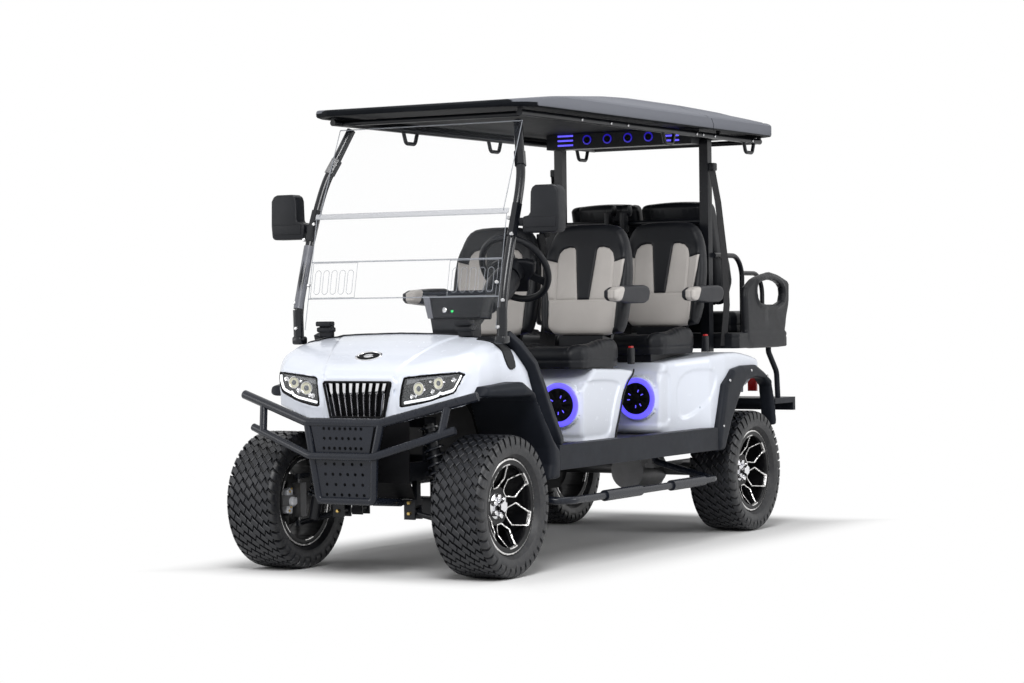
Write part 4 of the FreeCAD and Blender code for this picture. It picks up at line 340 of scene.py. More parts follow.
@dataclass(frozen=True)
class Finish:
    """A surface finish, made once and shared."""

    name: str
    colour: Colour = (0.5, 0.5, 0.5)
    slot: Slot = field(default=Slot.MOULDING, kw_only=True)

    def material(self) -> bpy.types.Material:
        """The finish's material, made at the first call."""
        if self not in _MADE:
            _MADE[self] = self.paint(Board(bpy.data.materials.new(self.name)))
        return _MADE[self]

    def shade(self, board: Board, amount: float, scale: float) -> Signal:
        """The colour with slow variation over the surface.

        Args:
            board: The material.
            amount: Share by which the dark places are darker.
            scale: Cells in a metre.

        Returns:
            The varied colour.
        """
        dark = tuple(c * (1 - amount) for c in self.colour)
        return board.blend(board.noise(scale).step(0.3, 0.7), dark, self.colour)

    def paint(self, board: Board) -> bpy.types.Material:
        """Wires the material."""
        return board.close({"Base Color": self.colour, "Roughness": 0.5})


@dataclass(frozen=True)
class BodyGloss(Finish):
    """Glossy coloured moulding under a clear coat."""

    slot: Slot = field(default=Slot.BODY, kw_only=True)

    def paint(self, board: Board) -> bpy.types.Material:
        """Wires the gloss."""
        peel = board.noise(260.0, 2.0)
        return board.close({"Base Color": self.shade(board, 0.02, 3.0),
                            "Roughness": board.noise(40.0) * 0.08 + 0.22,
                            "Specular IOR Level": 0.25, "Coat Weight": 0.55, "Coat Roughness": 0.05,
                            "Normal": board.relief(peel, 0.00006)})


@dataclass(frozen=True)
class Moulding(Finish):
    """Grained black or grey plastic."""

    roughness: float = 0.5
    grain: float = 900.0
    depth: float = 0.00025
    sheen: float = 0.35

    def paint(self, board: Board) -> bpy.types.Material:
        """Wires the grain."""
        grain = board.cells(self.grain)
        return board.close({"Base Color": self.shade(board, 0.22, 9.0),
                            "Roughness": board.noise(30.0) * 0.14 + (self.roughness - 0.07),
                            "Specular IOR Level": self.sheen,
                            "Normal": board.relief(grain, self.depth)})


@dataclass(frozen=True)
class RoofGrey(Moulding):
    """Charcoal moulding whose top and outer sides carry a painted highlight grey, black along its front
    edge and under its rim.
    """

    # pale is a painted highlight: this lighter grey stands in for the light and reflection that the
    # canopy's top and outer sides catch.
    pale: Colour = (0.165, 0.172, 0.195)
    slot: Slot = field(default=Slot.ROOF, kw_only=True)

    def shade(self, board: Board, amount: float, scale: float) -> Signal:
        """The charcoal and the painted highlight grey, split along the canopy's edge."""
        base = super().shade(board, amount, scale)
        along = board.place("Y")
        high = board.place("Z")
        # Painted highlight on the outer side band and on the top; the front edge and the seam line keep
        # the charcoal.
        painted_lit_side = abs(board.place("X")).step(0.552, 0.556) * high.step(1.9385, 1.9400)
        top = high.step(1.9535, 1.9550).highest(painted_lit_side) * along.step(-1.135, -1.128)
        seam = 1.0 - abs(along - ROOF_SEAM_Y).step(0.0018, 0.0032)
        return board.blend(top * (1.0 - seam), base, self.pale)


@dataclass(frozen=True)
class PowderCoat(Finish):
    """Satin coating on steel, with a faint orange peel."""

    roughness: float = 0.36
    coat: float = 0.10
    slot: Slot = field(default=Slot.STEEL, kw_only=True)

    def paint(self, board: Board) -> bpy.types.Material:
        """Wires the coating."""
        peel = board.noise(420.0, 2.0)
        return board.close({"Base Color": self.shade(board, 0.15, 14.0),
                            "Roughness": board.noise(60.0) * 0.12 + (self.roughness - 0.06),
                            "Specular IOR Level": 0.25,
                            "Coat Weight": self.coat, "Coat Roughness": 0.2,
                            "Normal": board.relief(peel, 0.00018)})


@dataclass(frozen=True)
class Metal(Finish):
    """Bare, cast, machined or plated metal."""

    roughness: float = 0.3
    scratch: float = 0.00004
    slot: Slot = field(default=Slot.BARE, kw_only=True)

    def paint(self, board: Board) -> bpy.types.Material:
        """Wires the metal."""
        lines = board.noise(90.0, 4.0, (1.0, 9.0, 9.0))
        return board.close({"Base Color": self.shade(board, 0.12, 20.0), "Metallic": 1.0,
                            "Roughness": lines * 0.12 + (self.roughness - 0.06),
                            "Normal": board.relief(lines, self.scratch)})


@dataclass(frozen=True)
class Rubber(Finish):
    """Tyre rubber with dust in the grooves."""

    groove_radius: float = 0.0
    dust: Colour = (0.030, 0.029, 0.028)
    slot: Slot = field(default=Slot.TYRE, kw_only=True)

    def paint(self, board: Board) -> bpy.types.Material:
        """Wires the rubber, paler where it is deep in the tread."""
        radius = board.math("SQRT", board.place("Y") * board.place("Y")
                            + board.place("Z") * board.place("Z"))
        worn = board.noise(70.0, 4.0)
        if self.groove_radius:
            deep = 1.0 - radius.step(self.groove_radius - 0.004, self.groove_radius + 0.004)
            share = deep * worn.step(0.35, 0.65) * 0.5
        else:
            share = worn.step(0.5, 0.8) * 0.4
        return board.close({"Base Color": board.blend(share, self.colour, self.dust),
                            "Roughness": board.noise(30.0) * 0.2 + 0.34,
                            "Normal": board.relief(board.noise(600.0, 3.0), 0.0003)})


@dataclass(frozen=True)
class ClearPane(Finish):
    """Clear sheet that shows little but its sheen."""

    alpha: float = 0.1
    roughness: float = 0.03
    slot: Slot = field(default=Slot.PANE, kw_only=True)

    def paint(self, board: Board) -> bpy.types.Material:
        """Wires the sheet."""
        haze = board.noise(12.0) * 0.03 + self.roughness
        return board.close({"Base Color": self.colour, "Roughness": haze, "Alpha": self.alpha,
                            "IOR": 1.49})


@dataclass(frozen=True)
class Glow(Finish):
    """A lit plastic part."""

    strength: float = 1.0
    slot: Slot = field(default=Slot.LAMP, kw_only=True)

    def paint(self, board: Board) -> bpy.types.Material:
        """Wires the light, a little uneven along the part."""
        uneven = board.noise(60.0).step(0.2, 0.6)
        dim = tuple(c * 0.85 for c in self.colour)
        return board.close({"Base Color": self.colour, "Roughness": 0.3,
                            "Emission Color": board.blend(uneven, dim, self.colour),
                            "Emission Strength": self.strength})


@dataclass(frozen=True)
class Vinyl(Finish):
    """Upholstery vinyl with a pebbled grain and fine creases."""

    second: Colour = (0.56, 0.53, 0.50)
    panels: tuple[tuple[Point2, ...], ...] = ()
    axes: tuple[str, str] = ("X", "Z")
    front: tuple[str, float] | None = None
    roughness: float = 0.42
    slot: Slot = field(default=Slot.VINYL, kw_only=True)

    def inside(self, board: Board, panel: tuple[Point2, ...]) -> Signal:
        """1 inside a convex outline and 0 outside.

        Args:
            board: The material.
            panel: The outline, counter-clockwise.

        Returns:
            The mask.
        """
        u, v = (board.place(axis) for axis in self.axes)
        return 1.0 - board.outside(u, v, panel).step(-0.0008, 0.0008)

    def paint(self, board: Board) -> bpy.types.Material:
        """Wires the vinyl and its second colour."""
        tone: Signal = self.shade(board, 0.12, 12.0)
        if self.panels:
            mask = None
            for panel in self.panels:
                here = self.inside(board, panel)
                mask = here if mask is None else mask.highest(here)
            if self.front is not None:
                axis, limit = self.front
                place = board.place(axis[-1])
                place = 0.0 - place if axis[0] == "-" else place
                mask = mask * (1.0 - place.step(limit - 0.001, limit + 0.001))
            pale = board.blend(board.noise(9.0).step(0.3, 0.7),
                               tuple(c * 0.94 for c in self.second), self.second)
            tone = board.blend(mask, tone, pale)
        grain = board.cells(520.0) * 0.6 + board.noise(160.0, 3.0) * 0.4
        return board.close({"Base Color": tone, "Specular IOR Level": 0.24,
                            "Roughness": board.noise(25.0) * 0.16 + (self.roughness - 0.08),
                            "Normal": board.relief(grain, 0.0004, 0.8)})


RIM_WINDOW: tuple[Point2, ...] = ((0.108, -0.044), (0.168, -0.025), (0.168, 0.025),
                                  (0.108, 0.044), (0.078, 0.014), (0.078, -0.014))


@dataclass(frozen=True)
class RimBlack(Finish):
    """Black rim with bright machined edges round its windows."""

    bright: Colour = (0.78, 0.77, 0.76)
    slot: Slot = field(default=Slot.RIM, kw_only=True)

    def paint(self, board: Board) -> bpy.types.Material:
        """Wires the black and the machined bands."""
        y, z, x = board.place("Y"), board.place("Z"), abs(board.place("X"))
        radius = board.math("SQRT", y * y + z * z)
        turn = board.math("ARCTAN2", z, 0.0 - y)
        shift = RIM_SECTOR / 2 - math.radians(SPOKE_DEGREES)
        wrapped = board.math("FLOORED_MODULO", turn + shift, RIM_SECTOR)
        fold = abs(wrapped - RIM_SECTOR / 2)
        u, v = radius * board.math("COSINE", fold), radius * board.math("SINE", fold)
        window = board.outside(u, v, RIM_WINDOW)
        band = window.step(-0.0035, -0.0025) * (1.0 - window.step(0.0050, 0.0058))
        face = ((radius - DISH_START) / DISH_SPAN).highest(0.0).lowest(1.0)
        front = x.step(0.018, 0.022) * radius.step(0.058, 0.060) * (1.0 - radius.step(0.172, 0.174))
        surface = board.math("POWER", face, DISH_POWER) * DISH_RISE + DISH_FLOOR
        outer = (x - surface).step(-0.0045, -0.0030)
        ring = radius.step(0.1890, 0.1898) * x.step(0.086, 0.089)
        shiny = (band * front * outer).highest(ring.lowest(1.0))
        spin = board.noise(300.0, 2.0)
        return board.close({"Base Color": board.blend(shiny, self.colour, self.bright),
                            "Specular IOR Level": 0.2,
                            "Metallic": shiny, "Roughness": 0.34 - shiny * 0.10 + spin * 0.06,
                            "Coat Weight": 0.10 - shiny * 0.10, "Coat Roughness": 0.12})


class Finishes:
    """The finishes of this cart."""

    WHITE = BodyGloss("body_white", (0.80, 0.84, 0.93))
    TRIM = Moulding("trim_black", (0.010, 0.011, 0.014), 0.42, sheen=0.22)
    FLARE = Moulding("flare_graphite", (0.014, 0.0165, 0.023), 0.46, 800.0, 0.0002, 0.14)
    DARK = Moulding("inner_black", (0.003, 0.003, 0.004), 0.6, 900.0, 0.00025, 0.12)
    STEEL = PowderCoat("black_powder_coat", (0.007, 0.008, 0.011))
    GLOSS_STEEL = PowderCoat("gloss_black_steel", (0.006, 0.007, 0.010), 0.18, 0.35)
    TUBE = PowderCoat("bumper_graphite", (0.010, 0.0125, 0.020), 0.28, 0.2)
    CAST = Metal("cast_steel", (0.20, 0.20, 0.205), 0.5)
    BRIGHT = Metal("bright_steel", (0.62, 0.62, 0.63), 0.25)
    CHROME = Metal("chrome", (0.80, 0.80, 0.82), 0.12, 0.00001, slot=Slot.CHROME)
    TYRE = Rubber("tyre_rubber", (0.0065, 0.0075, 0.011), 0.284)
    GRIP = Rubber("grip_rubber", (0.022, 0.022, 0.024))
    PANE = ClearPane("clear_pane", (0.55, 0.58, 0.62), 0.014)
    PANE_EDGE = ClearPane("pane_edge", (0.38, 0.40, 0.44), 0.55, 0.1)
    PANE_SEAL = ClearPane("pane_seal", (0.62, 0.63, 0.66), 0.75, 0.15)
    # Grey of the console flank, also used as a painted reflection on the right strut.
    GREY_PANEL = Moulding("console_grey_and_reflection", (0.17, 0.175, 0.20), 0.35, 900.0, 0.0001)
    LAMP_RIM = Metal("lamp_rim", (0.66, 0.64, 0.50), 0.3, slot=Slot.CHROME)
    GOLD = Metal("zinc_bolt", (0.70, 0.50, 0.18), 0.3)
    SPRING = PowderCoat("spring_black", (0.012, 0.014, 0.020), 0.25, 0.3)
    CALLIPER = Moulding("cast_silver", (0.74, 0.75, 0.79), 0.30, 500.0, 0.0002, 0.6, slot=Slot.BARE)
    LENS = ClearPane("lamp_lens", (0.9, 0.93, 0.95), 0.06, slot=Slot.LAMP)
    BLUE = Glow("blue_light", (0.125, 0.10, 0.98), 1.05, slot=Slot.SPEAKER)
    BLUE_RING = Glow("blue_ring", (0.018, 0.010, 0.36), 0.9, slot=Slot.SPEAKER)
    WHITE_LIGHT = Glow("white_light", (0.95, 0.97, 1.0), 1.0)
    GREEN = Glow("green_light", (0.02, 0.5, 0.12), 1.2)
    RED = Moulding("buckle_red", (0.55, 0.02, 0.02), 0.35, slot=Slot.RED)
    RED_LENS = Moulding("tail_lens", (0.35, 0.01, 0.01), 0.2, 300.0)
    WEB = Moulding("belt_web", (0.016, 0.016, 0.018), 0.7, 1500.0, 0.0005, slot=Slot.VINYL)
    VINYL = Vinyl("vinyl_black", (0.007, 0.008, 0.011))
    LAMP_GLASS = Moulding("projector_glass", (0.10, 0.11, 0.13), 0.08, 200.0, 0.00002, slot=Slot.LAMP)
    GREY_TRIM = Moulding("grey_trim", (0.16, 0.165, 0.18), 0.3, 900.0, 0.0001)
    # The roof's paler top and outer sides are a painted highlight from RoofGrey.pale.
    ROOF = RoofGrey("roof_charcoal", (0.005, 0.006, 0.008), 0.62, 700.0, 0.00012, 0.06)
    RIM = RimBlack("rim_black", (0.004, 0.004, 0.005))


# Shapes from distance fields

def outline_distance(u: Array, v: Array, points: Sequence[Point2]) -> Array:
    """Distance to a closed outline, negative inside.

    Args:
        u: First coordinate of each place.
        v: Second coordinate of each place.
        points: The outline's corners.

    Returns:
        The signed distance.
    """
    nearest: Array | None = None
    within = np.zeros(np.broadcast(u, v).shape, bool)
    for (u0, v0), (u1, v1) in zip(points, list(points[1:]) + [points[0]]):
        eu, ev = u1 - u0, v1 - v0
        wu, wv = u - u0, v - v0
        share = np.clip((wu * eu + wv * ev) / max(eu * eu + ev * ev, 1e-12), 0.0, 1.0)
        gap = (wu - eu * share) ** 2 + (wv - ev * share) ** 2
        nearest = gap if nearest is None else np.minimum(nearest, gap)
        if ev:
            within ^= ((v0 > v) != (v1 > v)) & (u < u0 + eu * (v - v0) / ev)
    return np.sqrt(nearest) * np.where(within, -1.0, 1.0)


def softened(points: Sequence[Point2], rounds: int = 2, share: float = 0.25) -> list[Point2]:
    """Cuts an outline's corners again and again until they are round.

    Args:
        points: The outline.
        rounds: How often.
        share: Where each side is cut.

    Returns:
        The rounder outline.
    """
    now = list(points)
    for _ in range(rounds):
        cut = []
        for (u0, v0), (u1, v1) in zip(now, now[1:] + now[:1]):
            cut.append((u0 + (u1 - u0) * share, v0 + (v1 - v0) * share))
            cut.append((u1 + (u0 - u1) * share, v1 + (v0 - v1) * share))
        now = cut
    return now


def meet(a: Array, b: Array, soft: float) -> Array:
    """What lies inside both, with a rounded edge.

    Args:
        a: A distance.
        b: A distance.
        soft: Width of the rounding.

    Returns:
        The joint distance.
    """
    near = np.maximum(soft - np.abs(a - b), 0.0) / soft
    return np.maximum(a, b) + near * near * soft / 4


def join(a: Array, b: Array, soft: float) -> Array:
    """What lies inside either, with a filled corner."""
    return -meet(-a, -b, soft)


def limited(*distances: Array) -> Array:
    """What lies inside all of several forms."""
    return reduce(np.maximum, distances)


def ease(value: Array, start: float, end: float) -> Array:
    """Runs smoothly from 0 to 1 between two values."""
    share = np.clip((value - start) / (end - start), 0.0, 1.0)
    return share * share * (3 - 2 * share)


def dip(value: Array, width: float) -> Array:
    """1 where a value is zero, falling to 0 on both sides."""
    return np.exp(-(value / width) ** 2)


def about_axle(shares: Sequence[Point2], axle_y: float) -> list[Point2]:
    """Outline points given in tyre radii from an axle."""
    return [(axle_y + y * TYRE_RADIUS, TYRE_RADIUS + z * TYRE_RADIUS) for y, z in shares]


def surface_net(values: Array, low: Array, step: float) -> tuple[Array, Array]:
    """Puts a net of four-sided faces where a field crosses zero.

    Args:
        values: The field on a grid.
        low: The grid's first corner.
        step: Its spacing.

    Returns:
        Vertices and faces.
    """
    size = np.array(values.shape) - 1
    total = np.zeros((*size, 3), np.float32)
    count = np.zeros(size, np.float32)
    inside = values < 0
    for axis in range(3):
        others = [a for a in range(3) if a != axis]
        for first in (0, 1):
            for second in (0, 1):
                start = [0, 0, 0]
                start[others[0]], start[others[1]] = first, second
                end = list(start)
                end[axis] = 1
                near = tuple(slice(s, s + n) for s, n in zip(start, size))
                far = tuple(slice(s, s + n) for s, n in zip(end, size))
                cross = inside[near] != inside[far]
                gap = np.where(cross, values[near] - values[far], 1.0)
                share = np.where(cross, values[near] / gap, 0.0)
                total[..., axis] += share
                total[..., others[0]] += cross * first
                total[..., others[1]] += cross * second
                count += cross
    active = count > 0
    number = np.full(size, -1)
    number[active] = np.arange(int(active.sum()))
    corners = np.argwhere(active) + total[active] / count[active][:, None]
    faces = []
    for axis in range(3):
        b, c = (axis + 1) % 3, (axis + 2) % 3
        shape = [slice(None)] * 3
        lower, upper = list(shape), list(shape)
        for other in (b, c):
            lower[other] = upper[other] = slice(1, -1)
        lower[axis], upper[axis] = slice(0, -1), slice(1, None)
        cross = inside[tuple(lower)] != inside[tuple(upper)]
        flip = inside[tuple(lower)][cross]
        at = np.argwhere(cross)
        at[:, b] += 1
        at[:, c] += 1
        ring = []
        for db, dc in ((-1, -1), (0, -1), (0, 0), (-1, 0)):
            cell = at.copy()
            cell[:, b] += db
            cell[:, c] += dc
            ring.append(number[cell[:, 0], cell[:, 1], cell[:, 2]])
        quads = np.stack(ring, 1)
        quads[~flip] = quads[~flip][:, ::-1]
        faces.append(quads)
    return low + corners * step, np.concatenate(faces)


def snap(form: Form, points: Array, step: float) -> Array:
    """Moves points onto the field's zero surface.

    Args:
        form: The field.
        points: Places near the surface.
        step: The grid's spacing.

    Returns:
        The moved points.
    """
    eps = step * 0.08
    for _ in range(3):
        x, y, z = points.T
        here = form(x, y, z)
        slope = np.stack([(form(x + eps, y, z) - form(x - eps, y, z)),
                          (form(x, y + eps, z) - form(x, y - eps, z)),
                          (form(x, y, z + eps) - form(x, y, z - eps))], 1) / (2 * eps)
        size = np.maximum((slope ** 2).sum(1), 0.2)
        move = -(here / size)[:, None] * slope
        points = points + np.clip(move, -0.4 * step, 0.4 * step)
    return points


def linked(name: str, data: bpy.types.ID) -> bpy.types.Object:
    """Makes an object of some data and links it to the scene."""
    made = bpy.data.objects.new(name, data)
    bpy.context.scene.collection.objects.link(made)
    return made


def shaded(mesh: bpy.types.Mesh, angle: float) -> None:
    """Smooths a mesh, apart from edges that turn more than an angle in degrees."""
    mesh.shade_smooth()
    mesh.set_sharp_from_angle(angle=math.radians(angle))


def mesh_object(name: str, points: Array, faces: Sequence, angle: float = 40.0) -> bpy.types.Object:
    """Makes an object from points and faces, smooth apart from sharp edges.

    Args:
        name: The piece's name.
        points: Vertices in metres.
        faces: Vertex numbers of each face.
        angle: Edges turning more than this stay sharp, in degrees.

    Returns:
        The object, linked to the scene.
    """
    mesh = bpy.data.meshes.new(name)
    mesh.from_pydata([tuple(p) for p in points], [], [tuple(int(i) for i in f) for f in faces])
    shaded(mesh, angle)
    return linked(name, mesh)


def loft(name: str, rows: Sequence[Sequence[Point3]], angle: float) -> bpy.types.Object:
    """Joins rows of points by bands of faces, with closed ends.

    Args:
        name: The piece's name.
        rows: Rings with the same number of points.
        angle: Edges turning more than this stay sharp, in degrees.

    Returns:
        The object.
    """
    size = len(rows[0])
    faces = [(row * size + i, row * size + (i + 1) % size, (row + 1) * size + (i + 1) % size,
              (row + 1) * size + i) for row in range(len(rows) - 1) for i in range(size)]
    last = (len(rows) - 1) * size
    faces += [tuple(range(size))[::-1], tuple(range(last, last + size))]
    return mesh_object(name, [point for row in rows for point in row], faces, angle)


def baked(made: bpy.types.Object) -> bpy.types.Mesh:
    """An object's mesh after its modifiers."""
    bpy.context.view_layer.update()
    return bpy.data.meshes.new_from_object(made.evaluated_get(bpy.context.evaluated_depsgraph_get()))


def applied(made: bpy.types.Object) -> None:
    """Applies an object's modifiers to its mesh."""
    shape = baked(made)
    made.modifiers.clear()
    made.data = shape


def turned_out(made: bpy.types.Object) -> None:
    """Makes all faces look outward."""
    tidy = bmesh.new()
    tidy.from_mesh(made.data)
    bmesh.ops.recalc_face_normals(tidy, faces=tidy.faces)
    tidy.to_mesh(made.data)
    tidy.free()


def eased(made: bpy.types.Object, width: float) -> None:
    """Rounds an object's sharp edges."""
    edge = made.modifiers.new("edge", "BEVEL")
    edge.width = width
    edge.segments = 3
    edge.limit_method = "ANGLE"
    applied(made)


def cast(name: str, form: Form, low: Point3, high: Point3, step: float, keep: float = 1.0,
         angle: float = 40.0) -> bpy.types.Object:
    """Casts a piece from a distance field.

    Args:
        name: The piece's name.
        form: The field, negative inside.
        low: Lowest corner of the space that holds it.
        high: Highest corner.
        step: Spacing of the net.
        keep: Share of the faces that stays.
        angle: Edges turning more than this stay sharp, in degrees.

    Returns:
        The object.
    """
    start = np.array(low) - 2.03 * step
    axes = [np.arange(s, h + 2.5 * step, step) for s, h in zip(start, high)]
    x, y, z = axes[0][:, None, None], axes[1][None, :, None], axes[2][None, None, :]
    values = np.broadcast_to(form(x, y, z), tuple(len(a) for a in axes)).astype(np.float32)
    points, faces = surface_net(values, start, step)
    points = snap(form, points, step)
    made = mesh_object(name, points, faces, angle)
    if keep < 1.0:
        thin = made.modifiers.new("thin", "DECIMATE")
        thin.ratio = keep
        applied(made)
        shaded(made.data, angle)
    return made


def mirrored(made: bpy.types.Object, name: str) -> bpy.types.Object:
    """A mirror image across the centreline, with its own mesh."""
    twin = linked(name, made.data.copy())
    twin.data.transform(Matrix.Scale(-1, 4, (1, 0, 0)))
    twin.data.flip_normals()
    twin.location = (-made.location.x, made.location.y, made.location.z)
    return twin


def tube(name: str, points: Sequence[Point3], radius: float, sides: int = 8, closed: bool = False,
         smooth: bool = False) -> bpy.types.Object:
    """A round bar along a line of points.

    Args:
        name: The piece's name.
        points: The line.
        radius: The bar's radius.
        sides: Faces round the bar.
        closed: Whether the line is a loop.
        smooth: Whether the line is rounded between the points.

    Returns:
        The object.
    """
    curve = bpy.data.curves.new(name, "CURVE")
    curve.dimensions = "3D"
    course = curve.splines.new("NURBS" if smooth else "POLY")
    course.points.add(len(points) - 1)
    for spot, place in zip(course.points, points):
        spot.co = (*place, 1.0)
    if smooth:
        course.order_u = 3
        course.use_endpoint_u = not closed
        course.resolution_u = 8
    course.use_cyclic_u = closed
    curve.bevel_depth = radius
    curve.bevel_resolution = max(0, sides // 4 - 1)
    curve.use_fill_caps = True
    line = linked(name, curve)
    mesh = baked(line)
    bpy.data.objects.remove(line)
    mesh.name = name
    shaded(mesh, 50)
    return linked(name, mesh)


def turned(name: str, profile: Sequence[Point2], centre: Point3, axis: Point3,
           sides: int = 32) -> bpy.types.Object:
    """A piece turned about an axis.

    Args:
        name: The piece's name.
        profile: (distance along the axis, radius) points.
        centre: Where the axis starts.
        axis: Its direction.
        sides: Faces round the piece.

    Returns:
        The object.
    """
    turn = Vector((0, 0, 1)).rotation_difference(Vector(axis)).to_matrix()
    angles = [2 * math.pi * side / sides for side in range(sides)]
    rows = [[turn @ Vector((radius * math.cos(angle), radius * math.sin(angle), along)) + Vector(centre)
             for angle in angles] for along, radius in profile]
    return loft(name, rows, 35.0)


def studs(name: str, profile: Sequence[Point2], places: Sequence[Point3], axis: Point3,
          sides: int) -> bpy.types.Object:
    """Equal turned pieces at several places, in one object."""
    return joined(name, [turned("stud", profile, place, axis, sides) for place in places])


def plank(name: str, corners: Sequence[Point3], travel: Point3, bevel: float) -> bpy.types.Object:
    """A flat outline pushed along a vector, with eased edges.

    Args:
        name: The piece's name.
        corners: The outline in space.
        travel: The push.
        bevel: Width of the eased edge.

    Returns:
        The object.
    """
    count = len(corners)
    far = [tuple(Vector(c) + Vector(travel)) for c in corners]
    faces = [tuple(range(count))[::-1], tuple(range(count, 2 * count))]
    faces += [(i, (i + 1) % count, count + (i + 1) % count, count + i) for i in range(count)]
    made = mesh_object(name, list(corners) + far, faces, 30.0)
    turned_out(made)
    if bevel:
        eased(made, bevel)
        shaded(made.data, 35)
    return made


def block(name: str, low: Point3, high: Point3, bevel: float) -> bpy.types.Object:
    """A block between two corners with eased edges."""
    (x0, y0, z0), (x1, y1, z1) = low, high
    return plank(name, [(x0, y0, z0), (x1, y0, z0), (x1, y1, z0), (x0, y1, z0)],
                 (0, 0, z1 - z0), bevel)


def joined(name: str, parts: Sequence[bpy.types.Object]) -> bpy.types.Object:
    """Makes one piece of several that stay together.

    Args:
        name: The piece's name.
        parts: The objects, which are used up.

    Returns:
        The joined object.
    """
    whole = bmesh.new()
    for part in parts:
        part.data.transform(Matrix.Translation(part.location))
        whole.from_mesh(part.data)
    mesh = bpy.data.meshes.new(name)
    whole.to_mesh(mesh)
    whole.free()
    for part in parts:
        bpy.data.objects.remove(part)
    return linked(name, mesh)


def fit(made: bpy.types.Object, finish: Finish, *nodes: str, body: str = "chassis",
        slot: Slot | None = None, fill: float = 0.0) -> None:
    """Gives a piece its finish, its body and the solids it stands for.

    Args:
        made: The piece.
        finish: Its finish.
        nodes: Solids that it replaces.
        body: The body that carries it.
        slot: Not used; meant as its material slot, where it isn't the finish's own.
        fill: Not used; meant as how full its padding is, for a soft piece.
    """
    made.data.materials.clear()
    made.data.materials.append(finish.material())
    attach(made, body)
    if nodes:
        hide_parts(*nodes)
    LOG.info("%s: %d faces on %s", made.name, len(made.data.polygons), body)


def pair(left: bpy.types.Object, finish: Finish, *nodes: str, body: str = "chassis",
         fill: float = 0.0) -> None:
    """Fits a piece of the left side and its mirror image on the right.

    Args:
        left: The piece, with left in its name.
        finish: Its finish.
        nodes: Solids that the two replace.
        body: The body that carries the left one.
        fill: Not used; only handed on to fit, meant as how full the padding is, for a soft piece.
    """
    fit(left, finish, *nodes, body=body, fill=fill)
    twin = mirrored(left, left.name.replace("_left", "_right"))
    fit(twin, finish, body=body.replace("_left", "_right"), fill=fill)


# The cart's sub-assemblies

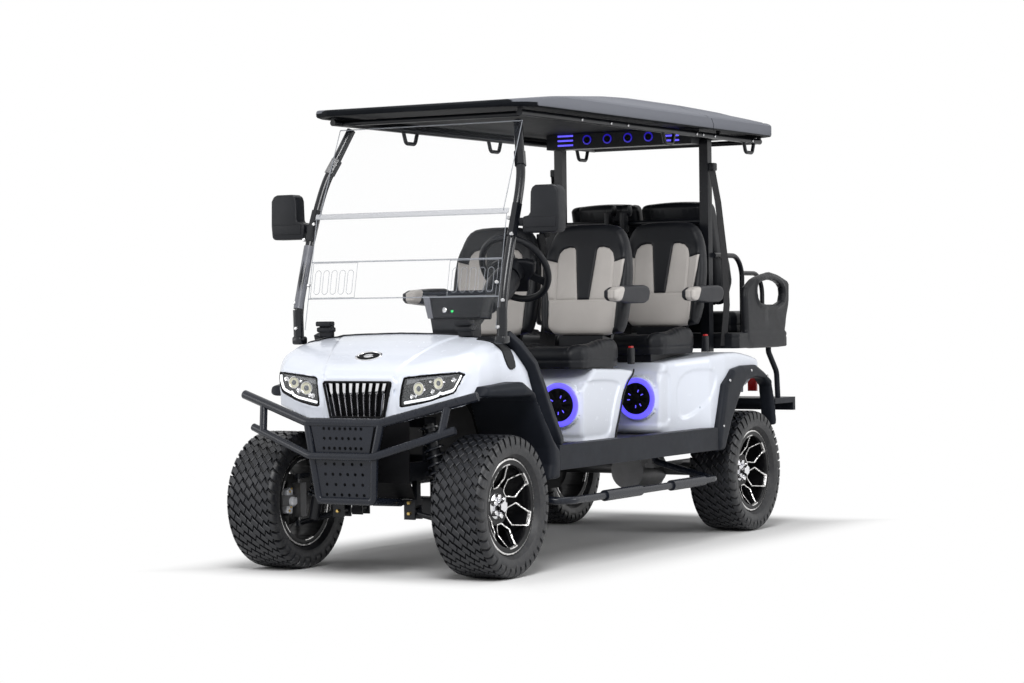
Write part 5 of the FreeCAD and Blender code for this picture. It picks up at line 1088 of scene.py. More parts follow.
@dataclass
class Cowl:
    """White nose and hood with its lamps, grille and badge."""

    nose_y: float = -1.606
    wall: float = 0.013
    plan: tuple[Point2, ...] = ((-0.1, -1.606), (0.13, -1.606), (0.25, -1.598), (0.438, -1.523),
                                (0.492, -1.45), (0.506, -1.37), (0.506, -1.29), (0.525, -1.208),
                                (0.545, -1.10), (0.572, -1.035), (0.600, -0.994), (-0.1, -0.994))
    side: tuple[Point2, ...] = ((-1.606, 0.44), (-1.606, 0.72), (-1.598, 0.80), (-1.575, 0.85),
                                (-1.48, 0.905), (-1.36, 0.962), (-1.245, 1.010), (-1.215, 1.002),
                                (-1.15, 0.935), (-1.075, 0.838), (-1.030, 0.66), (-0.994, 0.54),
                                (-0.994, 0.44))
    cross: tuple[Point2, ...] = ((-0.1, 0.40), (0.60, 0.40), (0.60, 0.545), (0.576, 0.64),
                                 (0.558, 0.76), (0.540, 0.86), (0.510, 0.930), (0.46, 0.968),
                                 (0.36, 0.990), (0.2, 1.004), (0.0, 1.012), (-0.1, 1.012))
    lamp: tuple[Point2, ...] = ((0.197, 0.706), (0.212, 0.812), (0.224, 0.821), (0.440, 0.839),
                                (0.456, 0.832), (0.430, 0.766), (0.418, 0.754), (0.360, 0.736),
                                (0.330, 0.724), (0.210, 0.700))
    grille: tuple[Point2, ...] = ((-0.132, 0.655), (0.132, 0.655), (0.164, 0.795), (0.158, 0.803),
                                  (-0.158, 0.803), (-0.164, 0.795))
    arch: tuple[Point2, ...] = ((-1.0425, 0.2), (-1.0425, 0.5256), (-1.104, 0.648), (-1.171, 0.718),
                                (-1.206, 0.733), (-1.46, 0.733), (-1.50, 0.70), (-1.50, 0.2))

    def skin(self, x: Array, y: Array, z: Array) -> Array:
        """The cowl's outer surface before its openings."""
        ax = np.abs(x)
        plan = outline_distance(ax, y, self.plan)
        side = outline_distance(y, z, self.side)
        cross = outline_distance(ax, z, self.cross)
        whole = meet(meet(plan, side, 0.07), cross, 0.07)
        crease = ax - (0.172 + (y + 1.60) * 0.38)
        raised = 1 - ease(crease, -0.010, 0.004)
        rim = outline_distance(x, z, self.grille)
        on_face = 1 - ease(y, -1.57, -1.55)
        band = (1 - ease(rim, 0.014, 0.024)) * on_face
        lip = (1 - ease(outline_distance(ax, z, self.lamp), 0.008, 0.018)) * (1 - ease(y, -1.46, -1.42))
        return whole - 0.005 * raised - 0.006 * band - 0.003 * lip

    def shell(self, x: Array, y: Array, z: Array) -> Array:
        """The cowl with its openings."""
        ax = np.abs(x)
        outer = self.skin(x, y, z)
        shell = np.maximum(outer, -(outer + self.wall))
        grille = np.maximum(outline_distance(x, z, self.grille), y + 1.54)
        lamp = np.maximum(outline_distance(ax, z, self.lamp), y + 1.44)
        arch = np.maximum(outline_distance(y, z, self.arch), 0.25 - ax)
        under = np.maximum(z - (0.629 + np.maximum(0.0, ax - 0.18) * 0.272), y + 1.44)
        behind = limited(ax - 0.478, -(y + 1.235), z - 0.985)
        low = limited(z - 0.735, ax - 0.24, -(y + 1.50))
        for gap in (grille, lamp, arch, under):
            shell = meet(shell, -gap, 0.006)
        return limited(shell, -behind, -low)

    def build(self) -> None:
        """Makes the cowl, its lamps, grille bars and badge."""
        shell = cast("cowl_shell", self.shell, (-0.61, -1.62, 0.44), (0.61, -0.98, 1.02), 0.0075,
                     0.6, 50.0)
        fit(shell, Finishes.WHITE, "front_cowl")
        self.grille_bars()
        self.lamps()
        self.badge()
        self.pillar_strip()
        self.jamb_trim()

    def grille_bars(self) -> None:
        """Tapered chrome bars in a black recess."""
        back = plank("grille_recess", [(x, self.nose_y + 0.036, z) for x, z in self.grille],
                     (0, 0.006, 0), 0.001)
        fit(back, Finishes.DARK, "grille")
        frame = [(x * 0.985, self.nose_y + 0.001, 0.729 + (z - 0.729) * 0.97) for x, z in self.grille]
        ring = tube("grille_frame", frame, 0.0060, closed=True)
        fit(ring, Finishes.DARK)
        bars = []
        for bar in range(9):
            share = (bar + 0.5) / 9 * 2 - 1
            low, high = share * 0.124, share * 0.150
            rows = []
            for z, half, back_by in ((0.661, 0.0030, 0.014), (0.70, 0.0034, 0.010), (0.748, 0.0040, 0.006),
                                     (0.764, 0.0075, 0.0), (0.797, 0.0100, 0.003)):
                mid = low + (high - low) * (z - 0.655) / 0.147
                y = self.nose_y - 0.001 + back_by
                rows.append([(mid - half, y + 0.004, z), (mid, y - 0.004, z), (mid + half, y + 0.004, z),
                             (mid + half * 0.8, y + 0.022, z), (mid - half * 0.8, y + 0.022, z)])
            bars.append(loft("bar", rows, 30.0))
        fit(joined("grille_bars", bars), Finishes.CHROME)

    def lamps(self) -> None:
        """Headlamp units: black bezel, two projectors, a light strip and a clear cover."""
        def bezel(x: Array, y: Array, z: Array) -> Array:
            outline = outline_distance(x, z, self.lamp) + 0.0015
            depth = self.skin(x, y, z) + 0.022
            floor = -(self.skin(x, y, z) + 0.034)
            wall = limited(np.abs(outline + 0.002) - 0.002, self.skin(x, y, z) + 0.004, floor)
            return np.minimum(limited(outline, depth, floor), wall)

        def cover(x: Array, y: Array, z: Array) -> Array:
            outline = outline_distance(x, z, self.lamp) + 0.004
            return np.maximum(outline, np.abs(self.skin(x, y, z) + 0.007) - 0.002)

        low, high = (0.19, -1.61, 0.68), (0.48, -1.40, 0.86)
        base = cast("lamp_bezel_left", bezel, low, high, 0.0042, 0.6)
        glass = cast("lamp_cover_left", cover, low, high, 0.0036, 0.5)
        pair(base, Finishes.DARK, "headlamps")
        pair(glass, Finishes.LENS)
        outline = [(x, self.face_y(x, z) + 0.001, z) for x, z in softened(self.lamp, 1, 0.3)]
        gasket = tube("lamp_gasket_left", outline, 0.0034, closed=True)
        pair(gasket, Finishes.DARK)
        strip = [(0.446, 0.826), (0.439, 0.804), (0.423, 0.773), (0.412, 0.765), (0.374, 0.753),
                 (0.366, 0.757), (0.354, 0.744), (0.32, 0.734), (0.216, 0.716)]
        path = [(x, self.face_y(x, z) + 0.009, z) for x, z in strip]
        light = tube("lamp_strip_left", path, 0.0055)
        pair(light, Finishes.WHITE_LIGHT)
        parts, eyes, yellow = [], [], []
        for x, z, radius in ((0.278, 0.774, 0.028), (0.358, 0.796, 0.026)):
            y = self.face_y(x, z)
            parts.append(turned("ring", [(0.0, radius), (-0.012, radius * 0.98), (-0.012, radius * 0.88),
                                         (0.0, radius * 0.80), (0.004, radius * 0.5)],
                                (x, y + 0.024, z), (0.12, 1.0, 0.0), 28))
            yellow.append(turned("rim", [(-0.012, radius * 0.90), (-0.0135, radius * 0.86),
                                         (-0.012, radius * 0.76), (-0.008, radius * 0.74)],
                                 (x, y + 0.024, z), (0.12, 1.0, 0.0), 28))
            eyes.append(turned("eye", [(0.004, radius * 0.76), (-0.006, radius * 0.66),
                                       (-0.011, radius * 0.42), (-0.013, radius * 0.12)],
                               (x, y + 0.023, z), (0.12, 1.0, 0.0), 28))
        for x, z, radius in ((0.244, 0.742, 0.011), (0.330, 0.762, 0.012), (0.412, 0.808, 0.013),
                             (0.320, 0.802, 0.008), (0.262, 0.744, 0.008)):
            parts.append(turned("bead", [(0.0, radius), (-0.006, radius * 0.9), (-0.008, radius * 0.5),
                                         (-0.004, radius * 0.1)],
                                (x, self.face_y(x, z) + 0.024, z), (0.12, 1.0, 0.0), 20))
        rims = joined("lamp_rims_left", yellow)
        pair(rims, Finishes.LAMP_RIM)
        rings = joined("lamp_reflectors_left", parts)
        lenses = joined("lamp_projectors_left", eyes)
        pair(rings, Finishes.CHROME)
        pair(lenses, Finishes.LAMP_GLASS)
        brow = [(0.222, 0.790), (0.225, 0.815), (0.33, 0.826), (0.436, 0.833), (0.40, 0.823),
                (0.335, 0.814), (0.28, 0.808), (0.25, 0.796)]
        trim = plank("lamp_brow_left", [(x, self.face_y(x, z) + 0.011, z) for x, z in brow],
                     (0, 0.008, 0), 0.001)
        pair(trim, Finishes.GREY_TRIM)

    def face_y(self, x: float, z: float) -> float:
        """Where the nose's surface lies at a place seen from the front."""
        ys = np.linspace(-1.64, -1.30, 341)
        values = self.skin(np.full_like(ys, x), ys, np.full_like(ys, z))
        return float(ys[np.argmax(values < 0)])

    def top_z(self, x: float, y: float) -> float:
        """Where the hood's surface lies at a place seen from above."""
        zs = np.linspace(1.06, 0.60, 461)
        values = self.skin(np.full_like(zs, x), np.full_like(zs, y), zs)
        return float(zs[np.argmax(values < 0)])

    def pillar_strip(self) -> None:
        """Black strips down the flanks from the strut feet."""
        edge = softened([(-1.318, 0.992), (-1.222, 0.992), (-1.205, 0.930), (-1.192, 0.858),
                         (-1.212, 0.842), (-1.238, 0.842), (-1.256, 0.870), (-1.272, 0.935)], 1)

        def form(x: Array, y: Array, z: Array) -> Array:
            return np.maximum(outline_distance(y, z, edge), np.abs(self.skin(x, y, z) - 0.001) - 0.004)

        strip = cast("pillar_strip_left", form, (0.40, -1.33, 0.83), (0.58, -1.18, 1.01), 0.005, 1.0,
                     50.0)
        pair(strip, Finishes.TRIM)

    def badge(self) -> None:
        """Plain oval badge on the hood."""
        x, y = -0.014, -1.490
        z = self.top_z(x, y)
        normal = (0.0, self.top_z(0.0, y - 0.02) - self.top_z(0.0, y + 0.02), 0.04)
        oval = turned("hood_badge", [(-0.002, 0.064), (0.004, 0.064), (0.0065, 0.060), (0.0055, 0.054),
                                     (0.0020, 0.051), (0.0034, 0.020)], (0, 0, 0), normal, 40)
        inlay = turned("badge_inlay", [(0.0010, 0.052), (0.0036, 0.050), (0.0048, 0.020)], (0, 0, 0),
                       normal, 40)
        crest = turned("badge_crest", [(0.0030, 0.026), (0.0062, 0.020), (0.0070, 0.006)], (0, 0, 0),
                       normal, 24)
        for made, finish in ((oval, Finishes.CHROME), (inlay, Finishes.DARK), (crest, Finishes.CHROME)):
            made.data.transform(Matrix.Diagonal((1.0, 0.62, 0.62, 1.0)))
            made.location = (x, y, z)
            fit(made, finish)

    def jamb_trim(self) -> None:
        """Dark grey liner band behind each flank."""
        line = [(0.486, -1.205, 0.992), (0.512, -1.15, 0.945), (0.545, -1.085, 0.862),
                (0.563, -1.045, 0.76), (0.585, -1.010, 0.64), (0.604, -0.975, 0.545),
                (0.604, -0.968, 0.515)]
        rows = [[(x + 0.002, y - 0.004, z - 0.002), (x - 0.004, y + 0.030, z + 0.012),
                 (x - 0.022, y + 0.050, z + 0.010), (x - 0.07, y + 0.052, z),
                 (x - 0.07, y - 0.004, z - 0.02)] for x, y, z in line]
        band = loft("jamb_liner_left", rows, 40.0)
        turned_out(band)
        eased(band, 0.006)
        band.data.shade_smooth()
        pair(band, Finishes.FLARE)


@dataclass
class Arches:
    """Black flares over the wheels."""

    margin: float = 0.014
    half_room: float = 0.132
    front: tuple[Point2, ...] = ((-0.31, 1.52), (-0.23, 1.67), (0.45, 1.72), (0.71, 1.57),
                                 (0.96, 1.15), (1.17, 0.88), (1.35, 0.72), (1.35, 0.30),
                                 (1.05, 0.30), (1.11, 0.52), (1.07, 0.75), (0.87, 1.14),
                                 (0.79, 1.32), (0.75, 1.43), (0.63, 1.51), (0.29, 1.51))
    plan: tuple[Point2, ...] = ((0.40, -0.32), (0.83, -0.31), (0.87, -0.23), (0.97, 0.45),
                                (1.0, 1.0), (1.0, 1.36), (0.40, 1.36))
    rear: tuple[Point2, ...] = ((-1.40, 0.40), (-1.40, 0.60), (-1.13, 1.47), (-0.80, 1.71),
                                (-0.42, 1.76), (0.11, 1.76), (0.40, 1.65), (0.70, 1.50),
                                (0.82, 1.13), (0.89, 0.72), (0.79, 0.72), (0.67, 1.39),
                                (0.47, 1.52), (0.07, 1.55), (-0.29, 1.50), (-0.52, 1.32),
                                (-0.88, 0.87), (-1.16, 0.40))

    def front_form(self, x: Array, y: Array, z: Array) -> Array:
        """One front flare with its outer roll."""
        side = outline_distance(y, z, about_axle(self.front, FRONT_AXLE_Y))
        edge = [(0.62 * u, FRONT_AXLE_Y + TYRE_RADIUS * v) for u, v in self.plan]
        plan = outline_distance(x, y, edge)
        return limited(meet(side, plan, 0.030), 0.28 - x, -self.tyre_room(x, y, z))

    def tyre_room(self, x: Array, y: Array, z: Array) -> Array:
        """Distance into the room that the steered tyre needs, with its margin."""
        room = np.full(x.shape, 9.0)
        ahead = y - FRONT_AXLE_Y
        for turn in (math.radians(angle) for angle in STEER_DEGREES):
            across = (x - KINGPIN_X) * math.cos(turn) + ahead * math.sin(turn)
            along = ahead * math.cos(turn) - (x - KINGPIN_X) * math.sin(turn)
            tyre = np.maximum(np.hypot(along, z - TYRE_RADIUS) - TYRE_RADIUS - self.margin,
                              np.abs(across - (WHEEL_X - KINGPIN_X)) - self.half_room)
            room = np.minimum(room, tyre)
        return room

    def rear_form(self, x: Array, y: Array, z: Array) -> Array:
        """One rear flare."""
        side = outline_distance(y, z, about_axle(self.rear, REAR_AXLE_Y))
        return np.maximum(meet(side, x - 0.620, 0.030), 0.545 - x)

    def build(self) -> None:
        """Makes the flares and gives them screws."""
        front = cast("front_flare_left", self.front_form, (0.28, -1.49, 0.37), (0.63, -0.98, 0.81),
                     0.007, 0.5, 45.0)
        rear = cast("rear_flare_left", self.rear_form, (0.54, 0.53, 0.40), (0.63, 1.22, 0.82),
                    0.007, 0.6, 45.0)
        pair(front, Finishes.FLARE, "front_flares")
        pair(rear, Finishes.FLARE, "rear_flares")
        places = about_axle(((-0.98, 1.53), (-0.15, 1.67), (0.50, 1.56), (-1.24, 0.80)), REAR_AXLE_Y)
        heads = studs("rear_flare_screws_left", [(-0.004, 0.007), (0.0, 0.007), (0.002, 0.005)],
                      [(0.619, y, z) for y, z in places], (1, 0, 0), 12)
        pair(heads, Finishes.BRIGHT)


@dataclass
class SeatPods:
    """White mouldings under the seats, and the rear fenders."""

    speaker_x: float = 0.35
    speaker_z: float = 0.668
    front_side: tuple[Point2, ...] = ((-0.526, 0.44), (-0.526, 0.828), (-0.040, 0.813),
                                      (-0.040, 0.792), (-0.105, 0.755), (-0.150, 0.69),
                                      (-0.185, 0.60), (-0.222, 0.53), (-0.235, 0.44))
    front_recess: tuple[Point2, ...] = ((-0.60, 0.560), (-0.60, 0.775), (-0.150, 0.770),
                                        (-0.205, 0.700), (-0.245, 0.61), (-0.27, 0.530),
                                        (-0.34, 0.512), (-0.60, 0.512))
    rear_side: tuple[Point2, ...] = ((0.214, 0.44), (0.214, 0.828), (0.50, 0.855), (0.70, 0.871),
                                     (0.842, 0.871), (1.02, 0.845), (1.165, 0.800), (1.165, 0.44))
    rear_recess: tuple[Point2, ...] = ((0.365, 0.795), (0.355, 0.575), (0.43, 0.565), (0.575, 0.690),
                                       (0.600, 0.800))
    arch: tuple[Point2, ...] = ((0.79, 0.72), (0.67, 1.39), (0.47, 1.52), (0.07, 1.55),
                                (-0.29, 1.50), (-0.52, 1.32), (-0.88, 0.87), (-1.16, 0.40),
                                (-1.16, -0.5), (1.2, -0.5), (1.2, 0.72))
    rear_plan: tuple[Point2, ...] = ((-0.1, 0.214), (0.440, 0.214), (0.462, 0.222), (0.467, 0.24),
                                     (0.469, 0.33), (0.530, 0.45), (0.590, 0.541), (0.590, 1.165),
                                     (-0.1, 1.165))

    def collar(self, ax: Array, y: Array, z: Array, fade: Point2) -> Array:
        """1 on the collar round a speaker, where the form isn't behind the fade."""
        away = np.hypot(ax - self.speaker_x, z - self.speaker_z)
        ring = (1 - ease(away, 0.100, 0.110)) * (1 - ease(y, *fade))
        return ring * (1 - ease(ax, 0.428, 0.450))

    def front_form(self, x: Array, y: Array, z: Array) -> Array:
        """The front pod with its recessed panels."""
        ax = np.abs(x)
        side = outline_distance(y, z, softened(self.front_side, 1))
        plan = outline_distance(ax, y, [(-0.1, -0.526), (0.445, -0.526), (0.467, -0.506),
                                        (0.467, -0.02), (-0.1, -0.02)])
        whole = meet(side, plan, 0.016)
        panel = outline_distance(y, z, softened(self.front_recess, 2))
        sunk = (1 - ease(panel, -0.010, 0.006)) * ease(ax, 0.42, 0.44)
        face = outline_distance(ax, z, [(-0.1, 0.512), (0.60, 0.512), (0.60, 0.772), (-0.1, 0.772)])
        sunk_front = (1 - ease(face, -0.010, 0.006)) * (1 - ease(y, -0.50, -0.48))
        ring = self.collar(ax, y, z, (-0.50, -0.47))
        whole = whole + 0.008 * np.maximum(sunk, sunk_front) * (1 - ring) - 0.008 * ring
        return limited(whole, -(whole + 0.014), 0.4995 - z)

    def rear_form(self, x: Array, y: Array, z: Array) -> Array:
        """The second pod that widens into the rear fenders."""
        ax = np.abs(x)
        side = outline_distance(y, z, softened(self.rear_side, 1, 0.2))
        plan = outline_distance(ax, y, softened(self.rear_plan, 1, 0.2))
        whole = meet(side, plan, 0.030)
        panel = outline_distance(y, z, softened(self.rear_recess, 2))
        sunk = (1 - ease(panel, -0.012, 0.006)) * ease(ax, 0.40, 0.43)
        face = outline_distance(ax, z, [(-0.1, 0.545), (0.60, 0.545), (0.60, 0.790), (-0.1, 0.790)])
        wrap = 1 - ease(outline_distance(y, z, softened([(0.1, 0.545), (0.315, 0.545), (0.325, 0.790),
                                                         (0.1, 0.790)], 1, 0.1)), -0.010, 0.006)
        sunk_front = np.maximum((1 - ease(face, -0.010, 0.006)) * (1 - ease(y, 0.24, 0.26)), wrap)
        ring = self.collar(ax, y, z, (0.24, 0.27))
        whole = whole + 0.007 * np.maximum(sunk, sunk_front) * (1 - ring) - 0.008 * ring
        arch = outline_distance(y, z, about_axle(self.arch, REAR_AXLE_Y))
        tail = np.maximum(1.10 - y, z - 0.600)
        return limited(whole, -(whole + 0.015), 0.4995 - z, -arch, -tail)

    def build(self) -> None:
        """Makes both mouldings and their speakers."""
        pod = cast("front_pod", self.front_form, (-0.48, -0.54, 0.49), (0.48, -0.03, 0.835), 0.0075,
                   0.42, 50.0)
        fit(pod, Finishes.WHITE, "front_seat_pod")
        tail = cast("rear_fenders", self.rear_form, (-0.60, 0.20, 0.49), (0.60, 1.18, 0.88), 0.008,
                    0.42, 50.0)
        fit(tail, Finishes.WHITE, "rear_body")
        seam = [(0.467, y, z) for y, z in self.front_side[2:]]
        line = tube("pod_seam_left", seam, 0.0042, smooth=True)
        pair(line, Finishes.TRIM)
        self.speakers()

    def speakers(self) -> None:
        """Round speakers with a lit ring and a spoked cover."""
        glow, dark = [], []
        for face in (-0.534, 0.206):
            for side in (-1, 1):
                centre = (side * self.speaker_x, face, self.speaker_z)
                glow.append(turned("halo", [(0.002, 0.0965), (-0.006, 0.0960), (-0.009, 0.090),
                                            (-0.008, 0.078), (-0.004, 0.0735), (0.002, 0.0730)],
                                   centre, (0, 1, 0), 56))
                dark.append(turned("cone", [(0.0, 0.0735), (-0.0105, 0.0725), (-0.0110, 0.066),
                                            (-0.006, 0.058), (-0.0045, 0.030), (-0.006, 0.012)],
                                   centre, (0, 1, 0), 48))
                dark.append(turned("boss", [(0.0, 0.023), (-0.010, 0.022), (-0.0125, 0.014),
                                            (-0.0115, 0.004)], centre, (0, 1, 0), 24))
                for spoke in range(9):
                    turn = math.radians(40 * spoke + 10)
                    out = Vector((math.cos(turn), 0, math.sin(turn)))
                    across = Vector((-math.sin(turn), 0, math.cos(turn)))
                    mid = Vector(centre) - Vector((0, 0.004, 0))
                    corners = [mid + out * 0.018 - across * 0.0035, mid + out * 0.068 - across * 0.010,
                               mid + out * 0.071, mid + out * 0.068 + across * 0.010,
                               mid + out * 0.018 + across * 0.0035]
                    dark.append(plank("spoke", [tuple(c) for c in corners], (0, -0.0065, 0), 0.001))
                    spot = [mid + out * r + across * w for r, w in ((0.029, 0.0085), (0.043, 0.0125),
                                                                    (0.040, 0.0165), (0.029, 0.0130))]
                    if spoke % 3 != 2:
                        glow.append(plank("accent", [tuple(c) for c in spot], (0, -0.003, 0), 0.0005))
        lit = joined("speaker_lights", glow)
        cones = joined("speaker_covers", dark)
        fit(lit, Finishes.BLUE)
        fit(cones, Finishes.DARK, "pod_speakers", slot=Slot.SPEAKER)


@dataclass
class Roof:
    """Moulded canopy with its creased top."""

    plan: tuple[Point2, ...] = ((-0.1, -1.165), (0.30, -1.163), (0.44, -1.154), (0.53, -1.105),
                                (0.566, -1.02), (0.570, -0.90), (0.570, 1.15), (0.566, 1.28),
                                (0.54, 1.345), (0.49, 1.385), (0.40, 1.400), (-0.1, 1.400))
    side: tuple[Point2, ...] = ((-1.165, 1.936), (-1.165, 1.958), (-1.14, 1.966), (-1.05, 1.975),
                                (-0.90, 1.990), (-0.56, 2.018), (-0.15, 2.045), (0.12, 2.058),
                                (0.62, 2.060), (1.00, 2.048), (1.24, 2.034), (1.37, 2.010),
                                (1.400, 1.988), (1.400, 1.936))
    cross: tuple[Point2, ...] = ((-0.1, 1.90), (0.570, 1.90), (0.570, 1.948), (0.553, 1.990),
                                 (0.520, 2.004), (0.43, 2.032), (0.37, 2.058), (-0.1, 2.070))

    def form(self, x: Array, y: Array, z: Array) -> Array:
        """The canopy with a lowered rim and ribs."""
        ax = np.abs(x)
        plan = outline_distance(ax, y, self.plan)
        side = outline_distance(y, z, self.side)
        cross = outline_distance(ax, z, self.cross)
        whole = meet(meet(plan, side, 0.014), cross, 0.010)
        seam = 1 - ease(np.abs(y - ROOF_SEAM_Y), 0.002, 0.006)
        gutter = (1 - ease(np.abs(plan + 0.030), 0.004, 0.012)) * ease(z, 1.96, 1.98)
        field_zone = ease(-plan, 0.16, 0.18) * ease(z, 2.0, 2.01)
        whole = whole + 0.003 * seam + 0.004 * gutter - 0.003 * field_zone
        under = np.maximum(plan + 0.045, z - 1.952)
        return meet(whole, -under, 0.006)

    def build(self) -> None:
        """Makes the canopy."""
        top = cast("roof_shell", self.form, (-0.58, -1.17, 1.93), (0.58, 1.405, 2.075), 0.0095,
                   0.30, 30.0)
        fit(top, Finishes.ROOF, "roof_canopy")
        left = studs("roof_rail_screws_left", [(-0.004, 0.0065), (0.003, 0.0065), (0.005, 0.0045)],
                     [(0.486, y, 1.914) for y in (-0.54, -0.27, -0.107, 0.60, 0.67, 0.80, 1.235)],
                     (1, 0, 0), 12)
        pair(left, Finishes.BRIGHT)


@dataclass
class Seats:
    """Cushions, backs and armrests of both forward rows."""

    seat_x: float = 0.240
    back_front: float = -0.090
    back_middle: float = 1.267
    recline: float = 10.0
    rise: float = 0.030
    light: Colour = (0.56, 0.53, 0.505)
    outline: tuple[Point2, ...] = ((-0.190, -0.300), (0.190, -0.300), (0.218, -0.235),
                                   (0.226, -0.10), (0.226, -0.01), (0.215, 0.080), (0.190, 0.162),
                                   (0.152, 0.208), (0.08, 0.220), (-0.08, 0.220), (-0.152, 0.208),
                                   (-0.190, 0.162), (-0.215, 0.080), (-0.226, -0.01),
                                   (-0.226, -0.10), (-0.218, -0.235))
    panels: tuple[tuple[Point2, ...], ...] = (
        ((-0.146, -0.296), (0.146, -0.296), (0.170, -0.262), (0.176, -0.136), (-0.176, -0.136),
         (-0.170, -0.262)),
        ((0.031, -0.138), (0.146, -0.138), (0.146, 0.050), (0.138, 0.080), (0.118, 0.100),
         (0.088, 0.108), (0.064, 0.106), (0.056, 0.095)),
        ((-0.146, -0.138), (-0.031, -0.138), (-0.056, 0.095), (-0.064, 0.106), (-0.088, 0.108),
         (-0.118, 0.100), (-0.138, 0.080), (-0.146, 0.050)),
        ((0.144, -0.138), (0.178, -0.138), (0.198, -0.02), (0.203, 0.050), (0.146, 0.038)),
        ((-0.178, -0.138), (-0.144, -0.138), (-0.146, 0.038), (-0.203, 0.050), (-0.198, -0.02)))

    def back_form(self, x: Array, y: Array, z: Array) -> Array:
        """A backrest in its own frame, face towards -Y."""
        edge = outline_distance(x, z, softened(self.outline, 1))
        crown = 0.010 * np.clip(-edge / 0.10, 0.0, 1.0) ** 0.5
        wing = 0.012 * ease(np.abs(x), 0.15, 0.20) * (1 - ease(z, 0.06, 0.14))
        groove = 0.0
        for panel in self.panels:
            gap = np.abs(outline_distance(x, z, panel))
            groove = np.maximum(groove, 0.006 * dip(gap, 0.0045))
            inner = np.clip(-outline_distance(x, z, panel) / 0.03, 0.0, 1.0)
            groove = groove - 0.0045 * inner * (2 - inner)
        front = -(y - 0.016) - crown * 0.5 - wing + groove
        back = y - 0.088 - crown
        return meet(meet(edge, front, 0.035), back, 0.045)

    def cushion_form(self, x: Array, y: Array, z: Array) -> Array:
        """A cushion in its own frame: X across, Y back, Z up from its base."""
        plan = outline_distance(x, y, softened([(-0.220, -0.207), (0.220, -0.207), (0.224, 0.209),
                                                (-0.224, 0.209)], 3, 0.12))
        wing = 0.014 * ease(np.abs(x), 0.13, 0.20) * (1 - ease(np.abs(y), 0.17, 0.21))
        wing = wing + 0.020 * ease(x, 0.10, 0.17) * ease(y, -0.09, 0.06)
        creases = (0.0014 * np.sin(x * 95 + 9 * np.sin(y * 21)) * np.sin(y * 34 + 1.3)
                   * ease(y, -0.20, -0.12))
        sag = 0.012 * np.exp(-((x / 0.14) ** 2 + ((y - 0.02) / 0.15) ** 2))
        seam = 0.005 * dip(np.abs(x) - 0.152, 0.005)
        cross = 0.004 * dip(y + 0.10, 0.005) * (1 - ease(np.abs(x), 0.14, 0.15))
        top = z - (0.093 + wing) + sag + seam + cross + creases
        crown = 0.006 * np.sin(np.clip(z / 0.11, 0.0, 1.0) * math.pi)
        piping = 0.0035 * dip(z - 0.034, 0.004)
        sides = plan - crown + 0.004 + piping
        return np.maximum(meet(top, sides, 0.045), -z)

    def arm_form(self, x: Array, y: Array, z: Array) -> Array:
        """An armrest in its own frame, its pivot at the origin and its front towards -Y."""
        side = outline_distance(y, z, softened([(-0.298, -0.028), (-0.298, 0.030), (-0.10, 0.041),
                                                (0.02, 0.041), (0.041, 0.010), (0.020, -0.040),
                                                (-0.11, -0.042), (-0.20, -0.036)], 1, 0.2))
        seam = 0.003 * dip(np.abs(x) - 0.014, 0.003) * (1 - ease(y, -0.27, -0.25))
        return meet(side + seam, np.abs(x) - 0.036, 0.022)

    def build(self) -> None:
        """Makes the seats of both rows."""
        back_finish = Vinyl("seat_vinyl", (0.009, 0.010, 0.013), self.light, self.panels,
                            ("X", "Z"), ("Y", 0.045))
        pattern = cast("back_pattern", self.back_form, (-0.235, -0.02, -0.305), (0.235, 0.11, 0.225),
                       0.005, 0.55, 60.0)
        cushion = cast("cushion_pattern", self.cushion_form, (-0.23, -0.22, -0.002),
                       (0.23, 0.22, 0.125), 0.0055, 0.6, 60.0)
        arm_finish = Vinyl("arm_vinyl", (0.020, 0.021, 0.026), self.light,
                           (((-0.31, -0.050), (-0.262, -0.050), (-0.205, 0.050), (-0.31, 0.050)),),
                           ("Y", "Z"), ("-X", 0.010))
        arm = cast("arm_pattern", self.arm_form, (-0.04, -0.30, -0.045), (0.04, 0.045, 0.045),
                   0.0045, 0.7, 60.0)
        tilt = Matrix.Rotation(math.radians(-self.recline), 4, "X")
        for row, name in enumerate(("front", "second")):
            y = row * ROW_PITCH
            for side, label in ((-1, "right"), (1, "left")):
                back = linked(f"seat_back_{name}_{label}", pattern.data.copy())
                place = (side * self.seat_x, self.back_front + y, self.back_middle + row * self.rise)
                back.matrix_world = Matrix.Translation(place) @ tilt
                fit(back, back_finish, "seat_backs", fill=0.8)
                pad_name = f"seat_cushion_{name}_{label}"
                pad = linked(pad_name, cushion.data.copy()) if side > 0 else mirrored(cushion, pad_name)
                pad.location = (side * self.seat_x, -0.340 + y, 0.8295 + row * 0.0425)
                fit(pad, Finishes.VINYL, "seat_cushions", fill=0.7)
                rest = linked(f"arm_pad_{name}_{label}", arm.data.copy())
                rest.location = (side * 0.529, -0.084 + y, 1.152)
                body = f"armrest_{name}_{label}"
                fit(rest, arm_finish, body, body=body, fill=0.9)
        for spare in (pattern, cushion, arm):
            bpy.data.objects.remove(spare)


